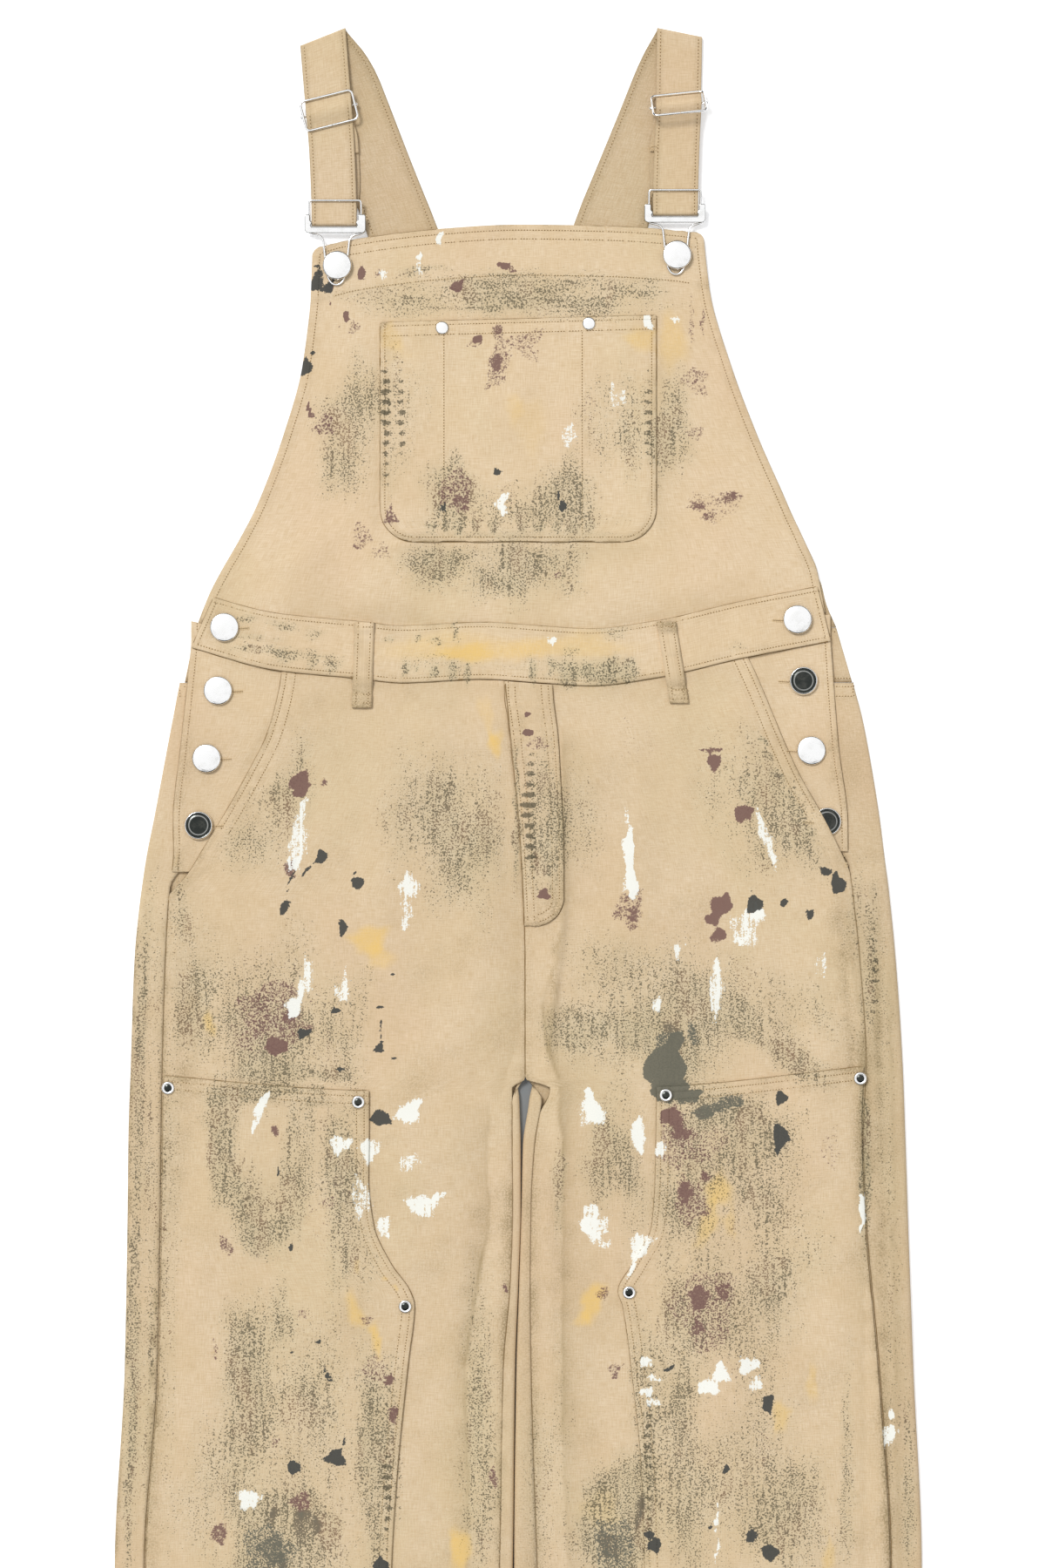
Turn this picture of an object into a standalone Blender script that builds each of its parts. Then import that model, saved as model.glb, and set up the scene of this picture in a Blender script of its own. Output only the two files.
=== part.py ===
"""Bib overalls in cotton canvas, laid flat and face up, with two straps, bib buckles and knee patches.

The frame: +X to the garment's side on the right as seen from above, +Y from the hems to the straps, +Z up.
The floor is z = 0, and the origin is under the middle of the whole outline. Lengths are in millimetres and
are turned into Blender's metres where a mesh is made. Names end in _l for -X and _r for +X.
"""

import math
from bisect import bisect_right
from typing import NamedTuple

import bmesh
import bpy
from mathutils import Matrix, Vector

MM = 0.001
NAME = "bib_overalls"

# Cloth
CLOTH = 1.2  # the wall of one layer of canvas
SEAM = 0.3  # between two pieces that meet edge to edge
STITCHED = 0.4  # between a panel and a piece sewn on it
LAYER = CLOTH + STITCHED
HIDDEN_GAP = 1.2  # from the waist's middle to the pieces that meet under the band

# Heights of undersides over the floor
FRONT_Z = 4.8  # the front panels at their seams
FACING_Z = 3.3  # the side placket facings, and the waistband's ends less a layer
HIP_FOLD = 3.0  # outer height of the back panel's fold beside the placket
LEG_FOLD = FRONT_Z + CLOTH  # outer height of the leg's side folds
WAIST_DROP = FRONT_Z - FACING_Z
UNEVEN = 0.005  # what the back legs lie off the floor between the points that touch it

# Lengths along the garment
TOP = 757.0
HEM = -757.0
BACK_TOP = 306.0  # upper edge of the back legs
WAISTBAND_HALF = 19.3
BAND_LIFT = LAYER + 0.2  # the waistband's underside over that of the pieces it is sewn on
BACK_BAND_TOP = 344.0
CROTCH = 29.0
PATCH_BOTTOM = -517.0

# Hardware
BUTTON_R = 10.0
BUTTON_T = 2.9
SHANK_R = 2.2
RIVET_R = 4.7
RIVET_T = 1.6
WIRE_R = 0.8
STRAP_HALF = 15.5
LOOP_R = WIRE_R + SEAM + CLOTH / 2  # middle of a strap that is folded round a wire
REST_Z = 2.2  # middle of a strap's way back up behind itself


class Outer(NamedTuple):
    """The leg's outer side at one height: the fold, and the seam or placket edge on the front."""

    y: float
    left_fold: float
    left_seam: float
    right_seam: float
    right_fold: float


OUTER = (
    Outer(330, -226.0, -224.6, 214.8, 226.0),
    Outer(306, -232.9, -227.2, 216.8, 230.6),
    Outer(284, -237.2, -229.6, 218.4, 236.4),
    Outer(260, -241.8, -232.2, 220.4, 241.2),
    Outer(212, -250.8, -237.0, 226.4, 249.0),
    Outer(188, -255.6, -236.8, 226.8, 252.0),
    Outer(164, -259.2, -239.6, 229.6, 255.0),
    Outer(116, -264.0, -242.4, 234.8, 259.8),
    Outer(44, -266.6, -244.6, 239.2, 264.6),
    Outer(-4, -268.2, -245.4, 237.2, 266.4),
    Outer(-60, -268.8, -246.0, 239.2, 268.2),
    Outer(-166, -270.8, -248.0, 248.4, 272.0),
    Outer(-300, -277.6, -256.9, 256.6, 277.8),
    Outer(HEM, -279.0, -259.0, 259.0, 279.0),
)


class Inner(NamedTuple):
    """The legs' inner sides at one height, below the crotch."""

    y: float
    left_seam: float
    left_fold: float
    right_fold: float
    right_seam: float


INNER = (
    Inner(40, -4.2, 0.6, 8.4, 17.4),
    Inner(22, -4.2, 0.6, 8.0, 16.6),
    Inner(-12, -4.2, 0.9, 4.8, 11.4),
    Inner(-52, -3.8, 1.2, 4.2, 9.0),
    Inner(-108, -5.6, -0.2, 1.0, 8.4),
    Inner(-164, -10.2, -2.0, -1.2, 9.0),
    Inner(-300, -12.8, -3.6, -2.8, 13.2),
    Inner(HEM, -27.0, -15.0, 15.0, 29.0),
)


class Across(NamedTuple):
    """Where a line that runs down the garment lies, on the left and on the right."""

    y: float
    left: float
    right: float


SLANT = (  # the hand pockets' slanted edges
    Across(330, -158.5, 147.0),
    Across(313, -161.4, 155.6),
    Across(298, -163.8, 163.5),
    Across(270, -171.8, 178.2),
    Across(242, -186.8, 193.4),
    Across(219, -199.8, 206.4),
    Across(190, -217.5, 221.4),
    Across(176, -226.0, 227.8),
    Across(160, -240.0, 234.0),
    Across(140, -262.0, 262.0),
)
BIB_SIDE = (
    Across(616, -141.4, 127.6),
    Across(603, -141.8, 128.8),
    Across(572, -142.8, 132.6),
    Across(524, -148.2, 146.4),
    Across(476, -161.4, 164.4),
    Across(428, -179.4, 185.4),
    Across(380, -203.4, 204.6),
    Across(347, -214.0, 208.4),
    Across(330, -218.0, 211.0),
)
BACK_SIDE = (  # the back bib: hidden behind the bib but for its lowest corners
    Across(BACK_BAND_TOP, -221.5, 219.0),
    Across(361, -215.0, 211.8),
    Across(377, -205.0, 207.6),
    Across(400, -178.0, 178.0),
    Across(430, -130.0, 130.0),
    Across(460, -92.0, 92.0),
    Across(506, -66.0, 66.0),
)


class Along(NamedTuple):
    """Where a line that runs across the garment, or down its middle, lies."""

    x: float
    y: float


WAIST = (  # the middle of the front waistband
    Along(-226, 350.0),
    Along(-165, 334.0),
    Along(-109, 328.5),
    Along(-80, 325.5),
    Along(-25, 328.0),
    Along(15, 325.5),
    Along(50, 323.5),
    Along(95, 329.0),
    Along(152, 342.0),
    Along(216, 354.5),
)
BIB_TOP = (
    Along(-142, 603.5),
    Along(-120, 609.5),
    Along(-54, 618.0),
    Along(0, 621.0),
    Along(62, 620.0),
    Along(110, 617.0),
    Along(128, 614.5),
)
CENTRE = (  # the centre front seam, from the waist to the crotch
    Along(-9.4, 345),
    Along(-9.0, 309),
    Along(-7.2, 289),
    Along(-4.2, 258),
    Along(0.0, 217),
    Along(3.0, 171),
    Along(4.7, 118),
    Along(4.8, 28),
)
FLY_EDGE = (  # the fly's outer edge, which curves in to the seam at its end
    Along(22.6, 330),
    Along(24.6, 300),
    Along(28.6, 250),
    Along(30.8, 200),
    Along(31.2, 158),
    Along(28.4, 148),
    Along(20.0, 141),
    Along(6.6, 137),
)


class Height(NamedTuple):
    """The height of the bib's underside in its middle and at its side edges."""

    y: float
    middle: float
    edge: float


BIB_HEIGHT = (
    Height(622, 1.8, 1.6),
    Height(590, 2.2, 1.7),
    Height(540, 3.3, 1.8),
    Height(500, 3.6, 1.9),
    Height(420, 3.8, 2.2),
    Height(372, 4.6, 3.2),
)


class Crease(NamedTuple):
    """A soft trough down a leg: how far it lies from the inseam, and how deep it is."""

    y: float
    left_at: float
    left_depth: float
    right_at: float
    right_depth: float


CREASE = (
    Crease(20, 17, 0.0, 15, 0.0),
    Crease(-30, 17, 0.8, 20, 1.8),
    Crease(-90, 19, 1.9, 22, 2.0),
    Crease(-140, 22, 2.0, 22, 1.4),
    Crease(-190, 25, 1.7, 28, 0.6),
    Crease(-250, 24, 0.9, 30, 0.0),
    Crease(-310, 24, 0.0, 30, 0.0),
)
CREASE_WIDTH = 9.0


class Spot(NamedTuple):
    """The middle of a button or rivet."""

    name: str
    x: float
    y: float


BIB_BUTTONS = (Spot("bib_button_l", -124.4, 592.8), Spot("bib_button_r", 109.2, 600.0))
SIDE_BUTTONS = (
    Spot("side_button_l1", -201.8, 344.0),
    Spot("side_button_l2", -206.4, 300.6),
    Spot("side_button_l3", -214.2, 254.0),
    Spot("side_button_l4", -219.7, 208.0),
    Spot("side_button_r1", 191.9, 349.4),
    Spot("side_button_r2", 196.1, 307.4),
    Spot("side_button_r3", 201.6, 259.4),
    Spot("side_button_r4", 212.4, 210.6),
)
POCKET_RIVETS = (Spot("pocket_rivet_l", -52.2, 549.6), Spot("pocket_rivet_r", 48.6, 552.6))
KNEE_RIVETS = (
    Spot("knee_rivet_l1", -240.5, 27.6),
    Spot("knee_rivet_l2", -109.8, 18.0),
    Spot("knee_rivet_l3", -77.6, -122.4),
    Spot("knee_rivet_r1", 101.4, 22.8),
    Spot("knee_rivet_r2", 235.0, 34.2),
    Spot("knee_rivet_r3", 76.2, -112.8),
)
TUCKED_BUTTON = SIDE_BUTTONS[-1]  # it lies half under the pocket's edge, which rides up over it
TUCKED_RISE = 4.0
TUCKED_REACH = 24.0


class Patch(NamedTuple):
    """The inner edge of the knee patches, across from the outseam."""

    y: float
    left: float
    right: float


PATCH = (
    Patch(31, -102.6, 95.4),
    Patch(-4, -102.6, 94.9),
    Patch(-34, -103.0, 94.4),
    Patch(-67, -99.4, 92.0),
    Patch(-93, -87.6, 79.0),
    Patch(-112, -74.4, 68.8),
    Patch(-122, -71.4, 72.0),
    Patch(-160, -75.6, 77.4),
    Patch(-238, -83.4, 85.2),
    Patch(-300, -87.2, 87.2),
    Patch(PATCH_BOTTOM, -92.0, 92.0),
)
PATCH_TOP = (Along(-246, 36.0), Along(-102, 25.6), Along(94, 28.2), Along(241, 42.6))


class StrapBack(NamedTuple):
    """A cross line of a strap's back part: its edge towards the middle, its outer edge, its height."""

    in_x: float
    in_y: float
    out_x: float
    out_y: float
    z: float


LEFT_STRAP_BACK = (
    StrapBack(-13.0, 494.0, -66.0, 480.0, 2.3),
    StrapBack(-19.0, 516.0, -70.0, 504.0, 2.3),
    StrapBack(-27.0, 540.0, -76.0, 530.0, 0.6),
    StrapBack(-54.8, 618.0, -101.6, 609.0, 0.6),
    StrapBack(-72.0, 660.0, -117.0, 650.0, 0.6),
    StrapBack(-86.6, 698.0, -131.0, 690.0, 0.6),
    StrapBack(-100.6, 734.0, -143.0, 722.0, 0.6),
)
RIGHT_STRAP_BACK = (
    StrapBack(2.0, 494.0, 58.0, 480.0, 2.3),
    StrapBack(8.0, 516.0, 62.0, 504.0, 2.3),
    StrapBack(13.0, 540.0, 66.0, 530.0, 0.6),
    StrapBack(37.4, 621.0, 87.0, 613.0, 0.6),
    StrapBack(55.4, 664.0, 101.0, 656.0, 0.6),
    StrapBack(71.0, 702.0, 113.5, 696.0, 0.6),
    StrapBack(84.0, 735.0, 123.0, 730.0, 0.6),
)


class StrapFront(NamedTuple):
    """A strap's front part: the middle, and how much higher its +X edge lies than its -X edge."""

    y: float
    x: float
    skew: float


LEFT_STRAP_FRONT = (
    StrapFront(755, -134.4, 12.6),
    StrapFront(745, -134.2, 12.0),
    StrapFront(699, -130.0, 8.0),
    StrapFront(640, -126.6, 0.0),
    StrapFront(610, -126.6, 0.0),
)
RIGHT_STRAP_FRONT = (
    StrapFront(755, 111.2, -6.6),
    StrapFront(745, 111.0, -5.0),
    StrapFront(702, 110.3, 3.4),
    StrapFront(650, 108.3, 0.0),
    StrapFront(610, 108.1, 0.0),
)


class Slider(NamedTuple):
    """A strap slider: the middle of its centre bar, its turn seen from above, and how its frame leans."""

    x: float
    y: float
    z: float
    turn: float
    lean: float


LEFT_SLIDER = Slider(-130.0, 699.0, 5.0, 14.0, 0.0)
RIGHT_SLIDER = Slider(110.3, 702.0, 9.0, 6.0, 40.0)
SLIDER_HALF = Vector((18.2, 10.3))
SLIDER_CORNER = 3.0
SLIDER_BAR_DROP = 2.0

BUCKLE_PIN_Y = 29.4  # above the bib button
BUCKLE_PIN_Z = 3.9
BUCKLE_TOP_Y = 44.4
BUCKLE_TOP_Z = 7.2
BUCKLE_SHIFT = -1.4  # the buckle's middle beside the button's
BUCKLE_HALF = 17.8

PAINT = {
    "canvas": ((0.76, 0.63, 0.43), 0.9, 0.0),
    "canvas_back": ((0.68, 0.53, 0.34), 0.9, 0.0),
    "steel": ((0.80, 0.80, 0.82), 0.25, 1.0),
}


class Curve:
    """A smooth line through one column of a table, against another, that never overshoots its rows."""

    def __init__(self, rows, column, key="y"):
        pairs = sorted((getattr(row, key), getattr(row, column)) for row in rows)
        self.at = [pair[0] for pair in pairs]
        self.value = [pair[1] for pair in pairs]
        steps = list(zip(self.at, self.at[1:], self.value, self.value[1:]))
        rises = [(v1 - v0) / (a1 - a0) for a0, a1, v0, v1 in steps]
        self.slope = [rises[0], *map(self.blend, rises, rises[1:]), rises[-1]]

    @staticmethod
    def blend(before, after):
        return 2 * before * after / (before + after) if before * after > 0 else 0.0

    def __call__(self, t):
        i = min(max(bisect_right(self.at, t) - 1, 0), len(self.at) - 2)
        span = self.at[i + 1] - self.at[i]
        s = min(max((t - self.at[i]) / span, 0.0), 1.0)
        start = self.value[i] * (1 + 2 * s) * (1 - s) ** 2 + self.slope[i] * span * s * (1 - s) ** 2
        end = self.value[i + 1] * s * s * (3 - 2 * s) - self.slope[i + 1] * span * s * s * (1 - s)
        return start + end


def smoothstep(low, high, t):
    s = min(max((t - low) / (high - low), 0.0), 1.0)
    return s * s * (3 - 2 * s)


def mix(a, b, t):
    return a + (b - a) * t


waist_y = Curve(WAIST, "y", "x")
bib_top_y = Curve(BIB_TOP, "y", "x")
centre_x = Curve(CENTRE, "x")
fly_x = Curve(FLY_EDGE, "x")
bib_left, bib_right = Curve(BIB_SIDE, "left"), Curve(BIB_SIDE, "right")
bib_middle_z, bib_edge_z = Curve(BIB_HEIGHT, "middle"), Curve(BIB_HEIGHT, "edge")
patch_top_y = Curve(PATCH_TOP, "y", "x")


class Side:
    """One half of the garment: sign is -1 at -X and 1 at +X."""

    def __init__(self, sign):
        word = "left" if sign < 0 else "right"
        self.sign = sign
        self.tag = word[0]
        self.fold = Curve(OUTER, word + "_fold")
        self.seam = Curve(OUTER, word + "_seam")
        self.inner_fold = Curve(INNER, word + "_fold")
        self.inner_seam = Curve(INNER, word + "_seam")
        self.slant = Curve(SLANT, word)
        self.back_side = Curve(BACK_SIDE, word)
        self.patch = Curve(PATCH, word)
        self.crease_at = Curve(CREASE, word + "_at")
        self.crease_depth = Curve(CREASE, word + "_depth")
        # The pocket's slanted edge reaches the outseam here.
        self.pocket_end = 168.0 if sign < 0 else 182.0

    def front_outer(self, y):
        """The front leg's outer edge: the pocket's slant, then the outseam."""
        seam = self.seam(y) - self.sign * SEAM / 2
        slant = self.slant(y)
        return max(seam, slant) if self.sign < 0 else min(seam, slant)

    def front_inner(self, y):
        """The front leg's inner edge: the centre seam, then the inseam."""
        if y > CROTCH + 4:
            return centre_x(y) + self.sign * SEAM / 2
        seam = self.inner_seam(y) + self.sign * SEAM / 2
        if self.sign > 0:
            seam += 5.0 * smoothstep(CROTCH - 20, CROTCH - 4, y)
        return seam

    def wrap_edge(self, y):
        """The back leg's outer edge, under the placket facing and then at the outseam."""
        tuck = 8.0 * smoothstep(self.pocket_end - 2, self.pocket_end + 16, y)
        return self.seam(y) - self.sign * tuck + self.sign * SEAM / 2 * (tuck == 0.0)

    def wrap_height(self, y):
        return mix(LEG_FOLD, HIP_FOLD, smoothstep(self.pocket_end - 16, self.pocket_end + 4, y))

    def front_z(self, x, y):
        """The underside of the front leg."""
        z = FRONT_Z
        if y < CROTCH:
            from_inseam = self.sign * (x - self.inner_seam(y))
            off = (from_inseam - self.crease_at(y)) / CREASE_WIDTH
            z -= self.crease_depth(y) * math.exp(-off * off)
        if self.sign > 0:
            away = math.hypot(x - TUCKED_BUTTON.x, y - TUCKED_BUTTON.y) / TUCKED_REACH
            z += TUCKED_RISE * math.exp(-away * away)
        return z


LEFT, RIGHT = Side(-1), Side(1)
SIDES = (LEFT, RIGHT)


def waist_z(x):
    """The underside of what the waistband is sewn on."""
    return FRONT_Z - WAIST_DROP * smoothstep(162.0, 208.0, abs(x))


def bib_z(x, y):
    """The underside of the bib."""
    left, right = bib_left(y), bib_right(y)
    out = abs(2 * x - left - right) / (right - left)
    low = mix(bib_middle_z(y), bib_edge_z(y), smoothstep(0.55, 1.0, out))
    return mix(waist_z(x), low, smoothstep(372.0, 430.0, y))


def make_collection(name):
    collection = bpy.data.collections.new(name)
    bpy.context.scene.collection.children.link(collection)
    return collection


def make_material(name, piece):
    """Each piece has a material of its own, in its finish's colour."""
    colour, roughness, metallic = PAINT[name]
    material = bpy.data.materials.new(piece + "_" + name)
    material.use_nodes = True
    shader = material.node_tree.nodes["Principled BSDF"]
    shader.inputs["Base Color"].default_value = (*colour, 1.0)
    shader.inputs["Roughness"].default_value = roughness
    shader.inputs["Metallic"].default_value = metallic
    material.diffuse_color = (*colour, 1.0)
    return material


def add_object(name, data, finish):
    """Links an object for the data, with its finish."""
    piece = bpy.data.objects.new(name, data)
    parts.objects.link(piece)
    data.materials.append(make_material(finish, name))
    return piece


def evenly(count):
    return [i / count for i in range(count + 1)]


def cloth(name, columns, rows, place, finish="canvas", offset=1.0):
    """A wall of cloth from a grid. place(column, row) gives the surface in mm, and the wall lies on the
    grid's upper side, or half on each with offset 0."""
    mesh = bpy.data.meshes.new(name)
    grid = bmesh.new()
    across, along = len(columns) - 1, len(rows) - 1
    bmesh.ops.create_grid(grid, x_segments=across, y_segments=along, size=0.5)
    for vert in grid.verts:
        column = columns[round((vert.co.x + 0.5) * across)]
        row = rows[round((vert.co.y + 0.5) * along)]
        vert.co = Vector(place(column, row)) * MM
    grid.to_mesh(mesh)
    grid.free()
    piece = add_object(name, mesh, finish)
    wall = piece.modifiers.new("Wall", "SOLIDIFY")
    wall.thickness = CLOTH * MM
    wall.offset = offset
    return piece


# The legs


FRONT_COLUMNS = (0.0, 0.17, 0.34, 0.51, 0.68, 0.83, 0.915, 1.0)
LOWER_ROWS = tuple(mix(-50.0, HEM, i / 15) for i in range(15, -1, -1))
FRONT_ROWS = (*LOWER_ROWS, -18, 14, 27, 34, 60, 90, 120, 150, 164, 176, 190, 208, 228, 250, 275, 300, 326)
CROTCH_TURNS = {25: 120.0, 31: 60.0}  # how many degrees of the inseam's fold are left, by row
BACK_ROWS = (*LOWER_ROWS, -12, 18, *CROTCH_TURNS, 37, 70, 110, 144, 156, 164, 176, 188, 204, 228, 256, 282, BACK_TOP)


def front_leg(side):
    def place(column, row):
        across = column if side.sign < 0 else 1 - column
        x = mix(side.front_outer(row), side.front_inner(row), across)
        y = row + (waist_y(x) - HIDDEN_GAP - 326) * smoothstep(236, 326, row)
        return x, y, side.front_z(x, y)

    return cloth("front_leg_" + side.tag, FRONT_COLUMNS if side.sign < 0 else
                 [1 - c for c in reversed(FRONT_COLUMNS)], FRONT_ROWS, place)


def side_roll(fold, edge, height):
    """A side fold's section, from the piece's edge on top, round the fold, to the floor: x and z."""
    inward = 1.0 if edge > fold else -1.0
    radius = height / 2
    middle = fold + inward * radius
    arc = [math.pi * (0.5 + i / 4) for i in range(5)]
    turned = [(middle + inward * radius * math.cos(a), radius + radius * math.sin(a)) for a in arc]
    return [(edge, height), *turned]


def open_roll(fold, inward, turn, count):
    """A side fold that comes open above the crotch: an arc from its free edge down to the floor."""
    radius = LEG_FOLD / 2
    arc = [math.radians(turn * (1 - i / (count - 1))) for i in range(count)]
    return [(fold + inward * radius * (1 - math.sin(a)), radius * (1 - math.cos(a))) for a in arc]


def flat_side(edge, count):
    """The same number of points laid flat up to an edge."""
    return [(edge[0] + (edge[1] - edge[0]) * i / (count - 1), 0.0) for i in range(count)]


def back_leg(side):
    """The back leg lies on the floor and folds round both sides to its seams on the front."""

    def section(y):
        outer = side_roll(side.fold(y), side.wrap_edge(y), side.wrap_height(y))
        if y in CROTCH_TURNS:
            inner = open_roll(side.inner_fold(y), side.sign, CROTCH_TURNS[y], len(outer))
        elif y > CROTCH:
            centre = centre_x(y) + side.sign * SEAM / 2
            inner = flat_side((centre, centre + side.sign * 9.0), len(outer))
        else:
            edge = side.inner_seam(y) - side.sign * SEAM / 2
            inner = side_roll(side.inner_fold(y), edge, LEG_FOLD)
        left, right = (outer, inner) if side.sign < 0 else (inner, outer)
        start, end = left[-1][0], right[-1][0]
        floor = [(mix(start, end, i / 6), 0.0) for i in range(1, 6)]
        return left + floor + right[::-1]

    count = len(section(0.0)) - 1
    sections = {y: section(y) for y in BACK_ROWS}

    def place(column, row):
        i = round(column * count)
        x, z = sections[row][i]
        return x, row, z + UNEVEN * ((i + BACK_ROWS.index(row)) % 2) * (z < UNEVEN)

    return cloth("back_leg_" + side.tag, evenly(count), BACK_ROWS, place, "canvas_back")


def fly():
    """The J-shaped fly piece, sewn on beside the centre seam."""
    rows = (139, 141, 145, 151, 158, 180, 205, 235, 265, 295, 320)

    def place(column, row):
        start = centre_x(row) + SEAM / 2
        x = mix(start, fly_x(row), column)
        y = row + (waist_y(x) - WAISTBAND_HALF - 1.0 - 320) * smoothstep(265, 320, row)
        return x, y, RIGHT.front_z(x, y) + LAYER

    return cloth("fly", evenly(2), rows, place)


def side_facing(side):
    """The placket facing shows between the pocket's slanted edge and the placket's edge."""
    rows = evenly(8)
    low = side.pocket_end + 8
    overlap = 8.0

    def place(column, row):
        y = mix(low, 345.0, row)
        across = column if side.sign < 0 else 1 - column
        x = mix(side.seam(y), side.slant(y) - side.sign * overlap, across)
        y += (waist_y(x) - HIDDEN_GAP - 345.0) * smoothstep(290.0, 345.0, y)
        return x, y, FACING_Z

    return cloth("side_facing_" + side.tag, evenly(3), rows, place)


def knee_patch(side):
    rows = (*(mix(PATCH_BOTTOM, -160.0, i / 7) for i in range(8)), -122, -112, -93, -67, -34, -4, 31)
    outer_gap = 1.2

    def place(column, row):
        across = column if side.sign < 0 else 1 - column
        x = mix(side.front_outer(row) - side.sign * outer_gap, side.patch(row), across)
        y = row + (patch_top_y(x) - 31) * smoothstep(-34, 31, row)
        return x, y, side.front_z(x, y) + LAYER

    return cloth("knee_patch_" + side.tag, evenly(5), rows, place)


# The bib and the waist


def front_bib():
    rows = (330, 347, 364, 382, 404, 430, 458, 488, 515, 545, 575, 600, 619)

    def place(column, row):
        x = mix(bib_left(row), bib_right(row), column)
        y = row + (waist_y(x) + HIDDEN_GAP - 330) * (1 - smoothstep(330, 404, row))
        y += (bib_top_y(x) - 619) * smoothstep(545, 619, row)
        return x, y, bib_z(x, y)

    return cloth("front_bib", evenly(12), rows, place)


def back_bib():
    rows = (BACK_BAND_TOP + SEAM, 361, 377, 400, 430, 470, 506)

    def place(column, row):
        return mix(LEFT.back_side(row), RIGHT.back_side(row), column), row, 0.0

    return cloth("back_bib", evenly(6), rows, place, "canvas_back")


def bib_pocket():
    """A patch pocket with round lower corners."""
    corner = 23.0
    low, high = 403.0, 556.0
    turns = [low + corner * (1 - math.cos(math.radians(a))) for a in (0, 22.5, 45, 67.5, 90)]
    rows = (*turns, 455, 485, 520, high)

    def place(column, row):
        drop = max(corner - (row - low), 0.0)
        inset = corner - math.sqrt(max(corner * corner - drop * drop, 0.0))
        tilt = mix(0.0, 5.0, smoothstep(485, high, row))
        x = mix(-94.6 + inset, 94.8 - inset, column)
        y = row + tilt * (column - 0.5)
        return x, y, bib_z(x, y) + LAYER

    return cloth("bib_pocket", evenly(8), rows, place)


def waistband_front():
    """The band over the seam between the bib and the legs. Its ends slant with the bib's sides."""

    def place(column, row):
        off = mix(-WAISTBAND_HALF, WAISTBAND_HALF, row)
        x = mix(mix(-224.4, -209.4, row), mix(214.8, 205.8, row), column)
        return x, waist_y(x) + off, waist_z(x) + BAND_LIFT

    return cloth("waistband_front", evenly(20), evenly(2), place)


def waistband_back():
    rows = evenly(1)

    def place(column, row):
        y = mix(BACK_TOP + SEAM, BACK_BAND_TOP, row)
        return mix(mix(-229.6, -222.0, row), mix(230.0, 219.0, row), column), y, 0.0

    return cloth("waistband_back", evenly(8), rows, place, "canvas_back")


class Loop(NamedTuple):
    """A belt loop: the middle of its upper and lower ends, and half its width."""

    tag: str
    top: tuple
    bottom: tuple
    half: float


LOOPS = (
    Loop("l", (-105.4, 347.0), (-107.4, 289.0), 6.6),
    Loop("r", (101.8, 347.5), (110.8, 292.0), 6.4),
)


def belt_loop(loop):
    """The loop lies over the waistband and is tacked to the leg below it."""
    waist = (waist_y(loop.top[0]) - WAISTBAND_HALF - loop.bottom[1]) / (loop.top[1] - loop.bottom[1])
    low, high = FRONT_Z + LAYER, FRONT_Z + BAND_LIFT + LAYER
    heights = {0.0: low, waist - 0.16: low, waist - 0.04: high, 0.7: high, 1.0: high}

    def place(column, row):
        x = mix(loop.bottom[0], loop.top[0], row) + mix(-loop.half, loop.half, column)
        return x, mix(loop.bottom[1], loop.top[1], row), heights[row]

    return cloth("belt_loop_" + loop.tag, evenly(1), list(heights), place)


# The straps


def bend(y, z, start, end, steps=6):
    """Points round a wire: y and z of the strap's middle, by angle in degrees, 0 towards +Y."""
    angles = [math.radians(mix(start, end, i / steps)) for i in range(steps + 1)]
    return [(y + LOOP_R * math.cos(a), z + LOOP_R * math.sin(a)) for a in angles]


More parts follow.
